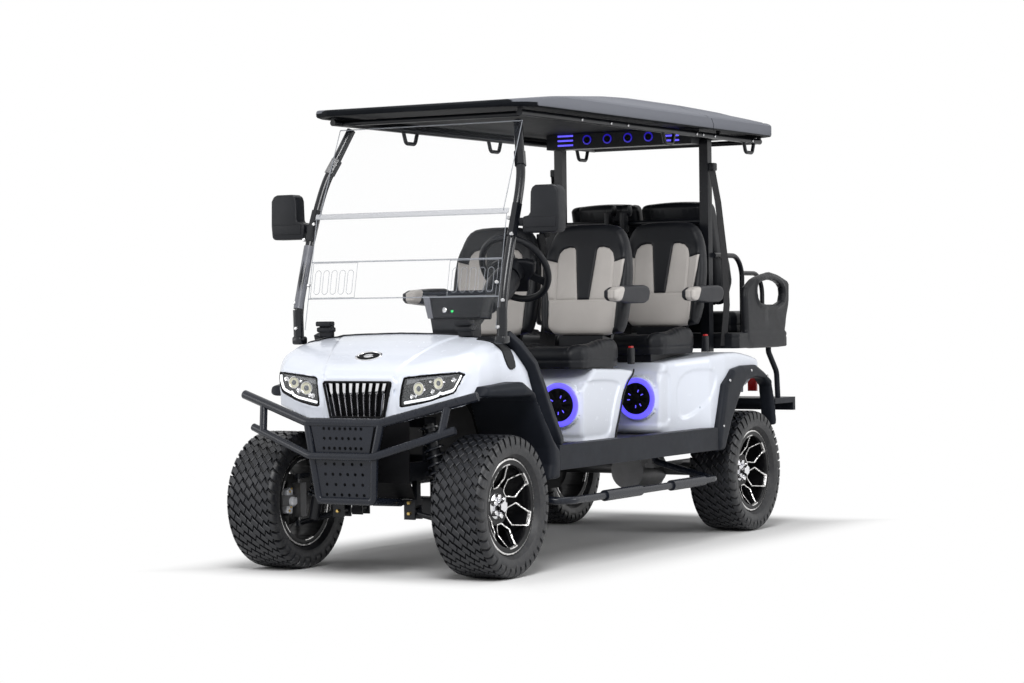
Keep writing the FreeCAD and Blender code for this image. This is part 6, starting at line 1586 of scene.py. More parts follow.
@dataclass
class RearBench:
    """Rear-facing bench: tray, side arms, cushion and backs."""

    arm: tuple[Point2, ...] = ((1.044, 0.886), (1.477, 0.886), (1.488, 0.950), (1.561, 1.105),
                               (1.564, 1.215), (1.436, 1.249), (1.323, 1.264), (1.136, 1.232),
                               (1.022, 1.177))
    hole: tuple[Point2, ...] = ((1.224, 1.099), (1.463, 1.098), (1.494, 1.170), (1.437, 1.209),
                                (1.322, 1.225), (1.179, 1.209), (1.151, 1.177), (1.168, 1.123))

    def base_form(self, x: Array, y: Array, z: Array) -> Array:
        """Tray and side arms in one moulding."""
        ax = np.abs(x)
        plan = outline_distance(ax, y, [(-0.1, 0.912), (0.515, 0.912), (0.542, 0.935), (0.542, 1.50),
                                        (0.500, 1.560), (0.44, 1.594), (-0.1, 1.594)])
        seam = 0.003 * dip(z - 0.938, 0.003)
        tray = meet(meet(plan + seam, z - 0.9615, 0.010), 0.886 - z, 0.010)
        side = outline_distance(y, z, softened(self.arm, 1, 0.12))
        hole = outline_distance(y, z, softened(self.hole, 1))
        waist = 0.010 * ease(z, 0.98, 1.05) * (1 - ease(np.abs(y - 1.44), 0.14, 0.20))
        rim = 0.008 * (1 - ease(hole, 0.012, 0.030))
        slab = np.abs(ax - 0.520) - 0.020 - rim + waist * 0.5
        arm = meet(meet(side, slab, 0.022), -hole, 0.020)
        return join(tray, arm, 0.012)

    def back_form(self, x: Array, y: Array, z: Array) -> Array:
        """One rear-facing backrest."""
        outline = ((0.910, 1.577), (0.930, 1.606), (1.009, 1.614), (1.094, 1.446), (1.182, 1.329),
                   (1.216, 1.211), (1.164, 1.125), (1.103, 1.088), (1.045, 1.141))
        side = outline_distance(y, z, softened(outline, 1, 0.15))
        ax = np.abs(x - 0.200)
        seam = 0.004 * dip(ax - 0.135, 0.004)
        band = 0.004 * dip(z - 1.46, 0.004)
        crown = 0.010 * np.cos(np.clip(ax / 0.19, 0.0, 1.0) * math.pi / 2)
        return meet(side + seam + band - crown + 0.010, ax - 0.190, 0.035)

    def cushion_form(self, x: Array, y: Array, z: Array) -> Array:
        """The flip-over cushion."""
        ax = np.abs(x)
        plan = outline_distance(ax, y, [(-0.1, 1.174), (0.380, 1.174), (0.404, 1.20), (0.404, 1.56),
                                        (0.380, 1.586), (-0.1, 1.586)])
        seam = 0.0045 * dip(x, 0.005) + 0.004 * dip(ax - 0.27, 0.005)
        top = z - 1.068 + seam
        piping = 0.003 * dip(z - 0.998, 0.004)
        return np.maximum(meet(top, plan + piping, 0.040), 0.9626 - z)

    def build(self) -> None:
        """Makes the bench."""
        base = cast("bench_tray", self.base_form, (-0.555, 0.90, 0.875), (0.555, 1.60, 1.275), 0.0075,
                    0.5, 45.0)
        fit(base, Finishes.TRIM, "rear_seat_base")
        back = cast("bench_back_left", self.back_form, (0.0, 0.90, 1.08), (0.40, 1.225, 1.625), 0.0065,
                    0.6, 60.0)
        pair(back, Finishes.VINYL, "rear_seat_backs", fill=0.8)
        cushion = cast("bench_cushion", self.cushion_form, (-0.41, 1.165, 0.96), (0.41, 1.60, 1.075),
                       0.0065, 0.6, 60.0)
        fit(cushion, Finishes.VINYL, "rear_seat_cushion", body="rear_cushion", fill=0.7)
        hinges = []
        for x in (-0.31, -0.19, 0.19, 0.31):
            hinges.append(block("leaf", (x - 0.029, 1.570, 0.968), (x + 0.029, 1.612, 0.978), 0.002))
            hinges.append(turned("eye", [(-0.029, 0.008), (0.029, 0.008)], (x, 1.610, 0.970),
                                 (1, 0, 0), 20))
        fit(joined("bench_hinge_leaves", hinges), Finishes.STEEL, body="rear_cushion")


@dataclass
class Windscreen:
    """Struts with their clamps, and the fittings of the clear panes."""

    line: tuple[Point3, ...] = ((0.508, -1.2847, 0.975), (0.510, -1.2917, 1.1094),
                                (0.506, -1.1864, 1.4187), (0.500, -1.0998, 1.6269),
                                (0.471, -1.0577, 1.728), (0.423, -0.9875, 1.8847))
    foot: Point2 = (-1.2805, 1.0103)
    joint: Point2 = (-1.1790, 1.4950)
    slot_z: float = 1.216
    slot_half: float = 0.037
    slot_radius: float = 0.0145

    def pane_y(self, z: float) -> float:
        """Where the lower pane's front face lies."""
        share = (z - self.foot[1]) / (self.joint[1] - self.foot[1])
        return self.foot[0] + (self.joint[0] - self.foot[0]) * share - 0.004

    def build(self, cowl: "Cowl") -> None:
        """Makes the struts, seals, vents and clips.

        Args:
            cowl: The cowl they stand on.
        """
        strut = tube("strut", self.line, 0.0200, 16, smooth=True)
        sleeve = tube("sleeve", [(0.508, -1.2865, 0.975), (0.5095, -1.2880, 1.100)], 0.0228, 16)
        plate = block("plate", (0.482, -1.312, 0.950), (0.530, -1.255, 0.986), 0.010)
        low = tube("low", [(0.507, -1.196, 1.392), (0.504, -1.143, 1.527)], 0.0235)
        high = tube("high", [(0.483, -1.075, 1.690), (0.462, -1.045, 1.752)], 0.0245)
        left = joined("strut_left", [strut, sleeve, plate, low, high])
        pair(left, Finishes.GLOSS_STEEL, "windscreen_struts")
        # Painted reflection: a grey strip on the right strut's lower part stands in for the white surround
        # that it reflects; the left strut has none.
        painted_reflection = tube("strut_film_right", [(-0.5097, -1.2860, 1.103), (-0.5070, -1.2030, 1.374)], 0.0216, 16)
        fit(painted_reflection, Finishes.GREY_PANEL, slot=Slot.STEEL)
        heads = studs("strut_bolts_left", [(0.004, 0.0080), (-0.003, 0.0080), (-0.006, 0.0055)],
                      [(0.520, -1.222, 1.403), (0.489, -1.190, 1.470), (0.520, -1.300, 1.130),
                       (0.470, -1.262, 1.205), (0.505, -1.312, 1.020)], (0, 1, -0.2), 16)
        pair(heads, Finishes.BRIGHT)
        self.seals()
        self.vents()
        self.clips(cowl)

    def seals(self) -> None:
        """Clear strips along the panes' edges."""
        mid = plank("pane_seal", [(-0.484, -1.187, 1.491), (0.484, -1.187, 1.491),
                                  (0.484, -1.179, 1.512), (-0.484, -1.179, 1.512)],
                    (0, 0.006, 0), 0.002)
        fit(mid, Finishes.PANE_SEAL)
        lines = [tube("mid", [(-0.482, -1.189, 1.489), (0.482, -1.189, 1.489)], 0.0016),
                 tube("top", [(-0.462, -1.016, 1.884), (0.462, -1.016, 1.884)], 0.0030)]
        for z, radius in ((1.146, 0.0030), (1.303, 0.0038)):
            y = self.pane_y(z)
            lines.append(tube("vent", [(-0.478, y, z), (0.478, y, z)], radius))
        for side in (-1, 1):
            high = side * 0.461
            low = side * 0.477
            lines.append(tube("side", [(high, -1.184, 1.503), (high, -1.018, 1.883)], 0.0022))
            lines.append(tube("low_side", [(low, self.pane_y(z), z) for z in (1.012, 1.488)], 0.0020))
        fit(joined("pane_edges", lines), Finishes.PANE_EDGE)

    def vents(self) -> None:
        """Two sliding vents with five slots each."""
        lines = []
        for left, right in ((-0.466, -0.238), (0.226, 0.462)):
            corners = [(left, 1.150), (right, 1.150), (right, 1.298), (left, 1.298)]
            frame = [(x, self.pane_y(z) - 0.003, z) for x, z in corners]
            lines.append(tube("frame", frame, 0.0015, closed=True))
            for slot in range(5):
                mid = left + (right - left) * (slot + 0.72) / 5.45
                loop = []
                for step in range(20):
                    turn = 2 * math.pi * step / 20
                    rise = self.slot_half if math.sin(turn) > 0 else -self.slot_half
                    z = self.slot_z + rise + self.slot_radius * math.sin(turn)
                    loop.append((mid + self.slot_radius * math.cos(turn), self.pane_y(z) - 0.003, z))
                lines.append(tube("slot", loop, 0.0013, closed=True))
        fit(joined("pane_vents", lines), Finishes.PANE_EDGE)

    def clips(self, cowl: "Cowl") -> None:
        """Rubber clips on the cowl's rear edge and the seal along it."""
        parts = []
        for side in (-1, 1):
            middle = 0.322 if side > 0 else -0.377
            for lift, lead in ((0.0, 0.0), (0.025, -0.008)):
                parts.append(block("clip", (middle - 0.036, -1.292 + lead, 1.003 + lift),
                                   (middle + 0.036, -1.246 + lead, 1.024 + lift), 0.006))
            parts.append(block("stem", (middle - 0.030, -1.280, 0.982),
                               (middle + 0.032, -1.252, 1.040), 0.004))
        seal = [(x, -1.262, cowl.top_z(x, -1.262) + 0.001) for x in np.linspace(-0.485, 0.485, 31)]
        parts.append(tube("seal", seal, 0.0055))
        fit(joined("pane_clips", parts), Finishes.TRIM)


@dataclass
class Mirrors:
    """Plain black door mirrors on short arms."""

    outline: tuple[Point2, ...] = ((0.549, 1.410), (0.560, 1.406), (0.706, 1.406), (0.718, 1.416),
                                   (0.722, 1.470), (0.720, 1.575), (0.708, 1.596), (0.690, 1.603),
                                   (0.612, 1.603), (0.596, 1.594), (0.589, 1.575), (0.586, 1.492),
                                   (0.578, 1.478), (0.552, 1.474), (0.548, 1.466))

    def build(self) -> None:
        """Makes both mirrors."""
        shell = plank("mirror_left", [(x, -1.184, z) for x, z in self.outline], (0, 0.070, 0), 0.011)
        band = plank("band", [(x * 0.97 + 0.0195, -1.187, 1.478 + (z - 1.478) * 0.94)
                              for x, z in ((0.56, 1.425), (0.71, 1.425), (0.712, 1.470), (0.56, 1.470))],
                     (0, 0.006, 0), 0.0025)
        arm = tube("arm", [(0.520, -1.150, 1.452), (0.562, -1.150, 1.452)], 0.011, 12)
        knuckle = block("knuckle", (0.516, -1.172, 1.436), (0.546, -1.128, 1.470), 0.006)
        left = joined("mirror_left", [shell, band, arm, knuckle])
        pair(left, Finishes.TRIM, "mirrors")
        glass = plank("mirror_glass_left", [(0.635 + (x - 0.635) * 0.86, -1.1145,
                                             1.505 + (z - 1.505) * 0.86) for x, z in self.outline],
                      (0, 0.002, 0), 0.0)
        pair(glass, Finishes.CHROME)


@dataclass
class Cabin:
    """Dash, console, sound bar and belts."""

    bar_z: float = 1.922
    bar_face: float = 0.716

    def build(self) -> None:
        """Makes the cabin's fittings."""
        self.dash()
        self.console()
        self.sound_bar()
        self.belts()

    def dash(self) -> None:
        """Dash panel under the cowl's rear edge, with the column housing."""
        edge = [(-0.470, 0.834), (0.470, 0.834), (0.470, 0.870), (0.440, 0.905), (0.37, 0.940),
                (0.22, 0.966), (-0.22, 0.966), (-0.37, 0.940), (-0.440, 0.905), (-0.470, 0.870)]
        panel = plank("panel", [(x, -1.236, z) for x, z in edge], (0, 0.146, 0), 0.010)
        rail = block("rail", (-0.44, -1.098, 0.905), (0.44, -1.088, 0.925), 0.004)
        ends = [tuple(Vector(COLUMN_TOP) + self.column_axis * along) for along in (-0.415, -0.075)]
        column = tube("column", ends, 0.0315, 16)
        made = joined("dash_panel", [panel, rail, column])
        fit(made, Finishes.TRIM, "dashboard")

    @property
    def column_axis(self) -> Vector:
        """Direction of the steering column, towards the driver."""
        tilt = math.radians(COLUMN_DEGREES)
        return Vector((0.0, math.cos(tilt), math.sin(tilt)))

    def console(self) -> None:
        """Instrument box: pedestal, dark face, pale flank and hollow lid."""
        pedestal = plank("pedestal", [(0.110, -1.180, 0.960), (0.300, -1.180, 0.960),
                                      (0.300, -1.186, 1.062), (0.095, -1.186, 1.062)],
                         (0, 0.080, 0), 0.006)
        back = plank("back", [(0.095, -1.118, 1.050), (0.352, -1.118, 1.050), (0.362, -1.108, 1.160),
                              (0.066, -1.108, 1.160)], (0, 0.014, 0), 0.005)
        face = plank("face", [(0.110, -1.200, 1.058), (0.345, -1.200, 1.058), (0.362, -1.178, 1.150),
                              (0.080, -1.178, 1.150)], (0, 0.012, 0), 0.004)
        base = plank("base", [(0.100, -1.196, 1.056), (0.348, -1.196, 1.056), (0.352, -1.196, 1.082),
                              (0.092, -1.196, 1.082)], (0, 0.090, 0), 0.005)
        end = plank("end", [(0.330, -1.196, 1.062), (0.346, -1.196, 1.062), (0.364, -1.176, 1.158),
                            (0.350, -1.176, 1.158)], (0, 0.084, 0), 0.004)
        rolls = [tube("roll", [(left, y, z), (right, y, z)], 0.0085, 10)
                 for left, right, y, z in ((0.064, 0.364, -1.182, 1.160), (0.100, 0.350, -1.098, 1.166))]
        rolls.append(tube("roll", [(0.362, -1.180, 1.161), (0.350, -1.098, 1.167)], 0.0085, 10))
        dark = joined("console_body", [pedestal, back, face, base, end])
        fit(dark, Finishes.TRIM)
        fit(joined("console_lid", rolls), Finishes.FLARE)
        flank = plank("console_flank", [(0.058, -1.186, 1.160), (0.096, -1.204, 1.056),
                                        (0.122, -1.204, 1.056), (0.092, -1.186, 1.150)],
                      (0, 0.086, 0), 0.003)
        fit(flank, Finishes.GREY_PANEL)
        switch = turned("key_switch", [(0.004, 0.0115), (-0.006, 0.0115), (-0.008, 0.0085),
                                       (-0.005, 0.0060), (-0.005, 0.001)], (0.177, -1.194, 1.091),
                        (0, 1, 0), 20)
        fit(switch, Finishes.BRIGHT, slot=Slot.CHROME)
        lamp = turned("charge_light", [(0.004, 0.0050), (-0.006, 0.0050), (-0.008, 0.002)],
                      (0.213, -1.193, 1.086), (0, 1, 0), 14)
        fit(lamp, Finishes.GREEN)
        self.steering()

    def steering(self) -> None:
        """Padded centre of the steering wheel and the shroud round its column."""
        centre, axis = Vector(COLUMN_TOP), self.column_axis
        rise = Vector((0.0, -axis.z, axis.y))
        outline = ((-0.112, 0.028), (-0.070, 0.044), (0.070, 0.044), (0.112, 0.028), (0.092, -0.022),
                   (0.052, -0.062), (0.034, -0.116), (-0.034, -0.116), (-0.052, -0.062), (-0.092, -0.022))
        corners = [centre + Vector((u, 0, 0)) + rise * v - axis * 0.014 for u, v in outline]
        pad = plank("pad", [tuple(corner) for corner in corners], tuple(axis * 0.030), 0.009)
        boss = turned("boss", [(-0.052, 0.046), (-0.020, 0.052), (0.014, 0.048), (0.020, 0.036),
                               (0.022, 0.002)], tuple(centre), tuple(axis), 28)
        fit(joined("steering_pad", [pad, boss]), Finishes.TRIM, body="steering_wheel")
        shroud = turned("column_shroud", [(-0.300, 0.034), (-0.290, 0.046), (-0.160, 0.066),
                                          (-0.085, 0.062), (-0.068, 0.050), (-0.066, 0.030)],
                        tuple(centre), tuple(axis), 28)
        fit(shroud, Finishes.TRIM)

    def sound_bar(self) -> None:
        """Lit slots and ringed speakers in the overhead bar."""
        lit, dark = [], []
        for side in (-1, 1):
            for row in (-1, 0, 1):
                z = self.bar_z + row * 0.023
                lit.append(block("slot", (side * 0.292 - 0.043, 0.7115, z - 0.0042),
                                 (side * 0.292 + 0.043, 0.718, z + 0.0042), 0.0015))
        rings = []
        for x in (-0.170, -0.057, 0.057, 0.170):
            rings.append(turned("halo", [(0.002, 0.0235), (-0.004, 0.0235), (-0.005, 0.0185),
                                       (0.0, 0.0160)], (x, self.bar_face, self.bar_z), (0, 1, 0), 32))
            dark.append(turned("cone", [(0.002, 0.0165), (-0.0055, 0.0160), (-0.003, 0.009),
                                        (-0.0065, 0.003)], (x, self.bar_face, self.bar_z), (0, 1, 0), 24))
        fit(joined("sound_bar_lights", lit), Finishes.BLUE)
        fit(joined("sound_bar_rings", rings), Finishes.BLUE_RING)
        fit(joined("sound_bar_cones", dark), Finishes.DARK, slot=Slot.SPEAKER)

    def strap(self, name: str, line: Sequence[Point3], half: float,
              wide: Point3 = (1.0, 0.0, 0.0)) -> bpy.types.Object:
        """A flat belt along a line.

        Args:
            name: The piece's name.
            line: Its middle.
            half: Half its width.
            wide: The direction of its width.

        Returns:
            The belt.
        """
        across = Vector(wide).normalized() * half
        rows = []
        for row, spot in enumerate(line):
            ahead = Vector(line[min(row + 1, len(line) - 1)]) - Vector(line[max(row - 1, 0)])
            thick = ahead.cross(across).normalized() * 0.0012
            rows.append([Vector(spot) + across * a + thick * t
                         for a, t in ((-1, -1), (1, -1), (1, 1), (-1, 1))])
        return loft(name, rows, 30.0)

    def belts(self) -> None:
        """Belt webbing, guides and red-tipped buckles."""
        webs, cases, tips = [], [], []
        for side in (-1, 1):
            webs.append(self.strap("shoulder", [(side * 0.440, 0.862, 1.755), (side * 0.452, 0.900, 1.60),
                                                (side * 0.470, 0.925, 1.35), (side * 0.478, 0.930, 1.10),
                                                (side * 0.470, 0.905, 0.90)], 0.022, (0.3, 1.0, 0.0)))
            cases.append(block("guide", (side * 0.440 - 0.016, 0.845, 1.752),
                               (side * 0.440 + 0.016, 0.888, 1.790), 0.006))
            for row in (0, 1):
                y = row * ROW_PITCH
                z = row * 0.042
                webs.append(self.strap("inner", [(side * 0.028, 0.045 + y, 1.34 + z),
                                                 (side * 0.022, 0.030 + y, 1.10 + z),
                                                 (side * 0.020, -0.020 + y, 0.90 + z)], 0.020))
                cases.append(block("buckle", (side * 0.482 - 0.012, -0.112 + y, 0.836 + z),
                                   (side * 0.482 + 0.012, -0.078 + y, 0.910 + z), 0.005))
                tips.append(block("tip", (side * 0.482 - 0.008, -0.108 + y, 0.908 + z),
                                  (side * 0.482 + 0.008, -0.082 + y, 0.918 + z), 0.003))
        for row, spots in enumerate(((-0.046, 0.046), (-0.108, -0.022))):
            for x in spots:
                place = Vector((x, 0.060 + row * 0.790, 1.450 + row * 0.122))
                cases.append(turned("reel", [(-0.018, 0.022), (-0.014, 0.029), (0.014, 0.029),
                                             (0.018, 0.022)], tuple(place), (1, 0, 0), 20))
                cases.append(block("reel_foot", (x - 0.012, place.y - 0.060, place.z - 0.110),
                                   (x + 0.012, place.y - 0.010, place.z - 0.010), 0.004))
        fit(joined("belt_webbing", webs), Finishes.WEB)
        fit(joined("belt_cases", cases), Finishes.TRIM)
        fit(joined("belt_buttons", tips), Finishes.RED)


@dataclass
class FrontEnd:
    """Springs round the dampers, bolts on the arm brackets and the callipers."""

    damper_low: Point3 = (0.335, -1.442, 0.220)
    damper_top: Point3 = (0.246, -1.442, 0.624)
    coil_radius: float = 0.037
    coil_turns: int = 9

    def spring(self) -> bpy.types.Object:
        """A coil about the left damper's upper part."""
        low, top = Vector(self.damper_low), Vector(self.damper_top)
        line = top - low
        first = line.cross(Vector((0, 1, 0))).normalized()
        second = line.cross(first).normalized()
        steps = 14 * self.coil_turns
        points = []
        for step in range(steps + 1):
            turn = 2 * math.pi * step / 14
            spot = low + line * (0.27 + 0.68 * step / steps)
            points.append(tuple(spot + (first * math.cos(turn) + second * math.sin(turn))
                                * self.coil_radius))
        coil = tube("coil", points, 0.0055)
        direction = tuple(line.normalized())
        seats = [turned("seat", [(-0.005, 0.030), (-0.005, 0.046), (0.003, 0.046), (0.004, 0.020)],
                        tuple(low + line * share), direction, 24) for share in (0.255, 0.965)]
        return joined("coil_spring_left", [coil] + seats)

    def build(self) -> None:
        """Makes the front end's small parts."""
        spring = self.spring()
        pair(spring, Finishes.SPRING)
        bolts = []
        for y in (-1.492, -1.288):
            for z in (0.259, 0.303):
                bolts.append(turned("bolt", [(-0.004, 0.0085), (0.006, 0.0085), (0.009, 0.006),
                                             (0.009, 0.001)], (0.176, y, z),
                                    (0, math.copysign(1, y - FRONT_AXLE_Y), 0), 6))
        left = joined("arm_bolts_left", bolts)
        pair(left, Finishes.GOLD)
        body = plank("body", [(0.4865, -1.466, 0.238), (0.4865, -1.470, 0.286), (0.4865, -1.462, 0.336),
                              (0.4865, -1.424, 0.346), (0.4865, -1.418, 0.286), (0.4865, -1.428, 0.232)],
                     (-0.034, 0, 0), 0.006)
        piston = turned("piston", [(0.0, 0.021), (0.020, 0.020), (0.026, 0.014), (0.026, 0.002)],
                        (0.454, -1.444, 0.287), (-1, 0, 0), 20)
        arm = block("arm", (0.440, -1.444, 0.272), (0.462, -1.385, 0.302), 0.004)
        calliper = joined("brake_calliper_left", [body, piston, arm])
        pair(calliper, Finishes.CALLIPER, body="knuckle_left")
        places = ((-1.448, 0.330), (-1.436, 0.342), (-1.452, 0.248), (-1.440, 0.264), (-1.456, 0.288))
        heads = studs("calliper_bolts_left", [(0.0, 0.0055), (0.004, 0.0055), (0.006, 0.003)],
                      [(0.4535, y, z) for y, z in places], (-1, 0, 0), 10)
        pair(heads, Finishes.GOLD, body="knuckle_left")


@dataclass
class Wheels:
    """Tyres with their tread and rims with their spokes."""

    lugs: int = 40
    crown: float = 0.2915
    groove: float = 0.281

    def carcass(self) -> list[Point2]:
        """The tyre's (x offset, radius) outline."""
        return [(-0.081, 0.178), (-0.083, 0.197), (-0.094, 0.203), (-0.110, 0.214), (-0.116, 0.232),
                (-0.1165, 0.246), (-0.111, 0.262), (-0.100, 0.274), (-0.080, 0.2795),
                (-0.04, self.groove), (0.04, self.groove), (0.080, 0.2795), (0.100, 0.274),
                (0.111, 0.262), (0.1165, 0.246), (0.116, 0.232), (0.110, 0.214), (0.094, 0.203),
                (0.083, 0.197), (0.081, 0.178)]

    def height(self, x: float) -> float:
        """Radius of the lugs' tops at a place across the tread."""
        over = max(0.0, abs(x) - 0.070)
        return self.crown - 3.6 * over * over

    def casing(self) -> tuple[list[Point3], list[tuple[int, ...]]]:
        """The smooth tyre under its lugs."""
        sides = 96
        profile = self.carcass()
        count = len(profile)
        points, faces = [], []
        for side in range(sides):
            turn = 2 * math.pi * side / sides
            points += [(x, r * math.cos(turn), r * math.sin(turn)) for x, r in profile]
            here, after = side * count, (side + 1) % sides * count
            faces += [(here + i, after + i, after + (i + 1) % count, here + (i + 1) % count)
                      for i in range(count)]
        return points, faces

    def block(self, points: list, faces: list, outline: Sequence[Point2]) -> None:
        """Adds one tread block.

        Args:
            points: The tyre's vertices.
            faces: Its faces.
            outline: The block's (across, turn) corners.
        """
        size = len(outline)
        first = len(points)
        mid_x = sum(x for x, _ in outline) / size
        mid_t = sum(t for _, t in outline) / size
        for share, below in ((1.0, 0.012), (1.0, 0.0016), (0.88, 0.0)):
            for x, turn in outline:
                px = mid_x + (x - mid_x) * share
                t = mid_t + (turn - mid_t) * share
                r = self.height(px) - below
                points.append((px, r * math.cos(t), r * math.sin(t)))
        for level in (0, 1):
            a, b = first + level * size, first + (level + 1) * size
            faces += [(a + i, b + i, b + (i + 1) % size, a + (i + 1) % size) for i in range(size)]
        faces.append(tuple(first + 2 * size + i for i in range(size))[::-1])

    def shoulder(self, points: list, faces: list, side: int, start: float, end: float,
                 reach: float) -> None:
        """Adds one lug that wraps over the shoulder.

        Args:
            points: The tyre's vertices.
            faces: Its faces.
            side: 1 or -1.
            start: Turn where it starts.
            end: Turn where it ends.
            reach: Radius of its foot on the side wall.
        """
        outer = ((0.0995, 0.2880), (0.1085, 0.2845), (0.1150, 0.2760), (0.1178, 0.2640),
                 (0.1176, reach + 0.006), (0.1160, reach))
        inner = ((0.0995, 0.272), (0.104, 0.268), (0.107, 0.262), (0.110, 0.255),
                 (0.112, reach), (0.112, reach - 0.002))
        first = len(points)
        for (x, r), (xi, ri) in zip(outer, inner):
            lean = side * (x - 0.0995) * 3.2
            for px, pr, turn in ((x, r, start + lean), (x, r, end + lean), (xi, ri, end + lean),
                                 (xi, ri, start + lean)):
                points.append((side * px, pr * math.cos(turn), pr * math.sin(turn)))
        for row in range(len(outer) - 1):
            a = first + 4 * row
            faces += [(a + i, a + (i + 1) % 4, a + 4 + (i + 1) % 4, a + 4 + i) for i in range(4)]
        last = first + 4 * (len(outer) - 1)
        faces += [(first, first + 1, first + 2, first + 3), (last, last + 1, last + 2, last + 3)]

    def tyre(self) -> bpy.types.Object:
        """One tyre about the origin, axle along X."""
        points, faces = self.casing()
        pitch = 2 * math.pi / self.lugs
        fall = 5 * pitch / 0.196
        along = Vector((1.0, fall * self.crown)).normalized()
        across = Vector((0.011, -0.0240))
        spacing = 0.0280
        for rib in range(self.lugs):
            for place in range(7):
                x = (place - 3) * spacing
                middle = Vector((x, (rib * pitch + fall * x) * self.crown))
                middle += across * (0.09 if place % 2 else -0.09)
                half = along * 0.0196
                notch = along * 0.0040
                corners = (middle - half - across * 0.5, middle - half * 0.1 - across * 0.5 - notch,
                           middle + half * 0.2 - across * 0.40, middle + half - across * 0.44,
                           middle + half + across * 0.5, middle + half * 0.1 + across * 0.5 + notch,
                           middle - half * 0.2 + across * 0.40, middle - half + across * 0.44)
                self.block(points, faces, [(c.x, c.y / self.crown) for c in corners])
            for side in (-1, 1):
                start = rib * pitch + side * fall * 0.1 + 0.12 * pitch
                self.shoulder(points, faces, side, start, start + 0.70 * pitch,
                              0.236 if rib % 2 else 0.248)
        made = mesh_object("tyre_pattern", points, faces, 32.0)
        turned_out(made)
        return made

    def rim_form(self, x: Array, y: Array, z: Array) -> Array:
        """The rim about the origin, its dished face towards +X."""
        radius = np.hypot(y, z)
        turn = np.arctan2(z, -y)
        fold = np.abs((turn - math.radians(SPOKE_DEGREES) + RIM_SECTOR / 2) % RIM_SECTOR - RIM_SECTOR / 2)
        u, v = radius * np.cos(fold), radius * np.sin(fold)
        window = outline_distance(u, v, RIM_WINDOW)
        depth = np.clip((radius - DISH_START) / DISH_SPAN, 0.0, 1.0) ** DISH_POWER
        face = DISH_FLOOR + DISH_RISE * depth
        plate = meet(limited(x - face, face - 0.022 - x, radius - 0.176), -window, 0.004)
        open_part = np.minimum(np.minimum(window - 0.0062, radius - 0.080), 0.167 - radius)
        plate = np.maximum(plate, open_part)
        barrel = np.maximum(np.abs(radius - 0.1735) - 0.0055, np.abs(x) - 0.092)
        lip = np.maximum(np.abs(radius - 0.186) - 0.0105, np.abs(x - 0.088) - 0.0048)
        back = np.maximum(np.abs(radius - 0.186) - 0.0105, np.abs(x + 0.088) - 0.0048)
        hub = np.maximum(radius - 0.056, np.abs(x - 0.010) - 0.018)
        solid = join(join(plate, barrel, 0.006), hub, 0.008)
        solid = np.minimum(np.minimum(solid, lip), back)
        disc = limited(np.abs(x + 0.009) - 0.0035, radius - 0.108, 0.045 - radius)
        bore = np.maximum(radius - 0.0185, x - 0.046)
        return np.maximum(np.minimum(solid, disc), -bore)

    def build(self) -> None:
        """Makes the four wheels."""
        tyre = self.tyre()
        rim = cast("rim_pattern", self.rim_form, (-0.095, -0.2, -0.2), (0.095, 0.2, 0.2), 0.0042, 0.38,
                   35.0)
        cap = self.cap()
        for name, y, side in (("front_left", FRONT_AXLE_Y, 1), ("front_right", FRONT_AXLE_Y, -1),
                              ("rear_left", REAR_AXLE_Y, 1), ("rear_right", REAR_AXLE_Y, -1)):
            for pattern, label, finish, nodes in (
                    (tyre, "tread", Finishes.TYRE, (f"tyre_{name}",)),
                    (rim, "wheel", Finishes.RIM, (f"rim_{name}",)), (cap, "hub_cap", Finishes.CHROME, ())):
                if side > 0 or pattern is tyre:
                    made = linked(f"{label}_{name}", pattern.data.copy())
                else:
                    made = mirrored(pattern, f"{label}_{name}")
                made.location = (side * WHEEL_X, y, TYRE_RADIUS)
                fit(made, finish, *nodes, body=f"wheel_{name}",
                    slot=Slot.RIM if pattern is cap else None)
        for spare in (tyre, rim, cap):
            bpy.data.objects.remove(spare)

    def cap(self) -> bpy.types.Object:
        """Lobed chrome hub cover with a six-sided cap."""
        parts = [turned("cap", [(0.026, 0.030), (0.058, 0.029), (0.066, 0.024), (0.067, 0.010)],
                        (0, 0, 0), (1, 0, 0), 6)]
        parts.append(turned("base", [(0.024, 0.054), (0.030, 0.054), (0.034, 0.048), (0.036, 0.030)],
                            (0, 0, 0), (1, 0, 0), 36))
        for lobe in range(6):
            turn = math.radians(60 * lobe + SPOKE_DEGREES)
            spot = (0, -0.041 * math.cos(turn), 0.041 * math.sin(turn))
            parts.append(turned("lobe", [(0.028, 0.0135), (0.044, 0.0125), (0.049, 0.009),
                                         (0.050, 0.002)], spot, (1, 0, 0), 16))
        return joined("hub_cap_pattern", parts)


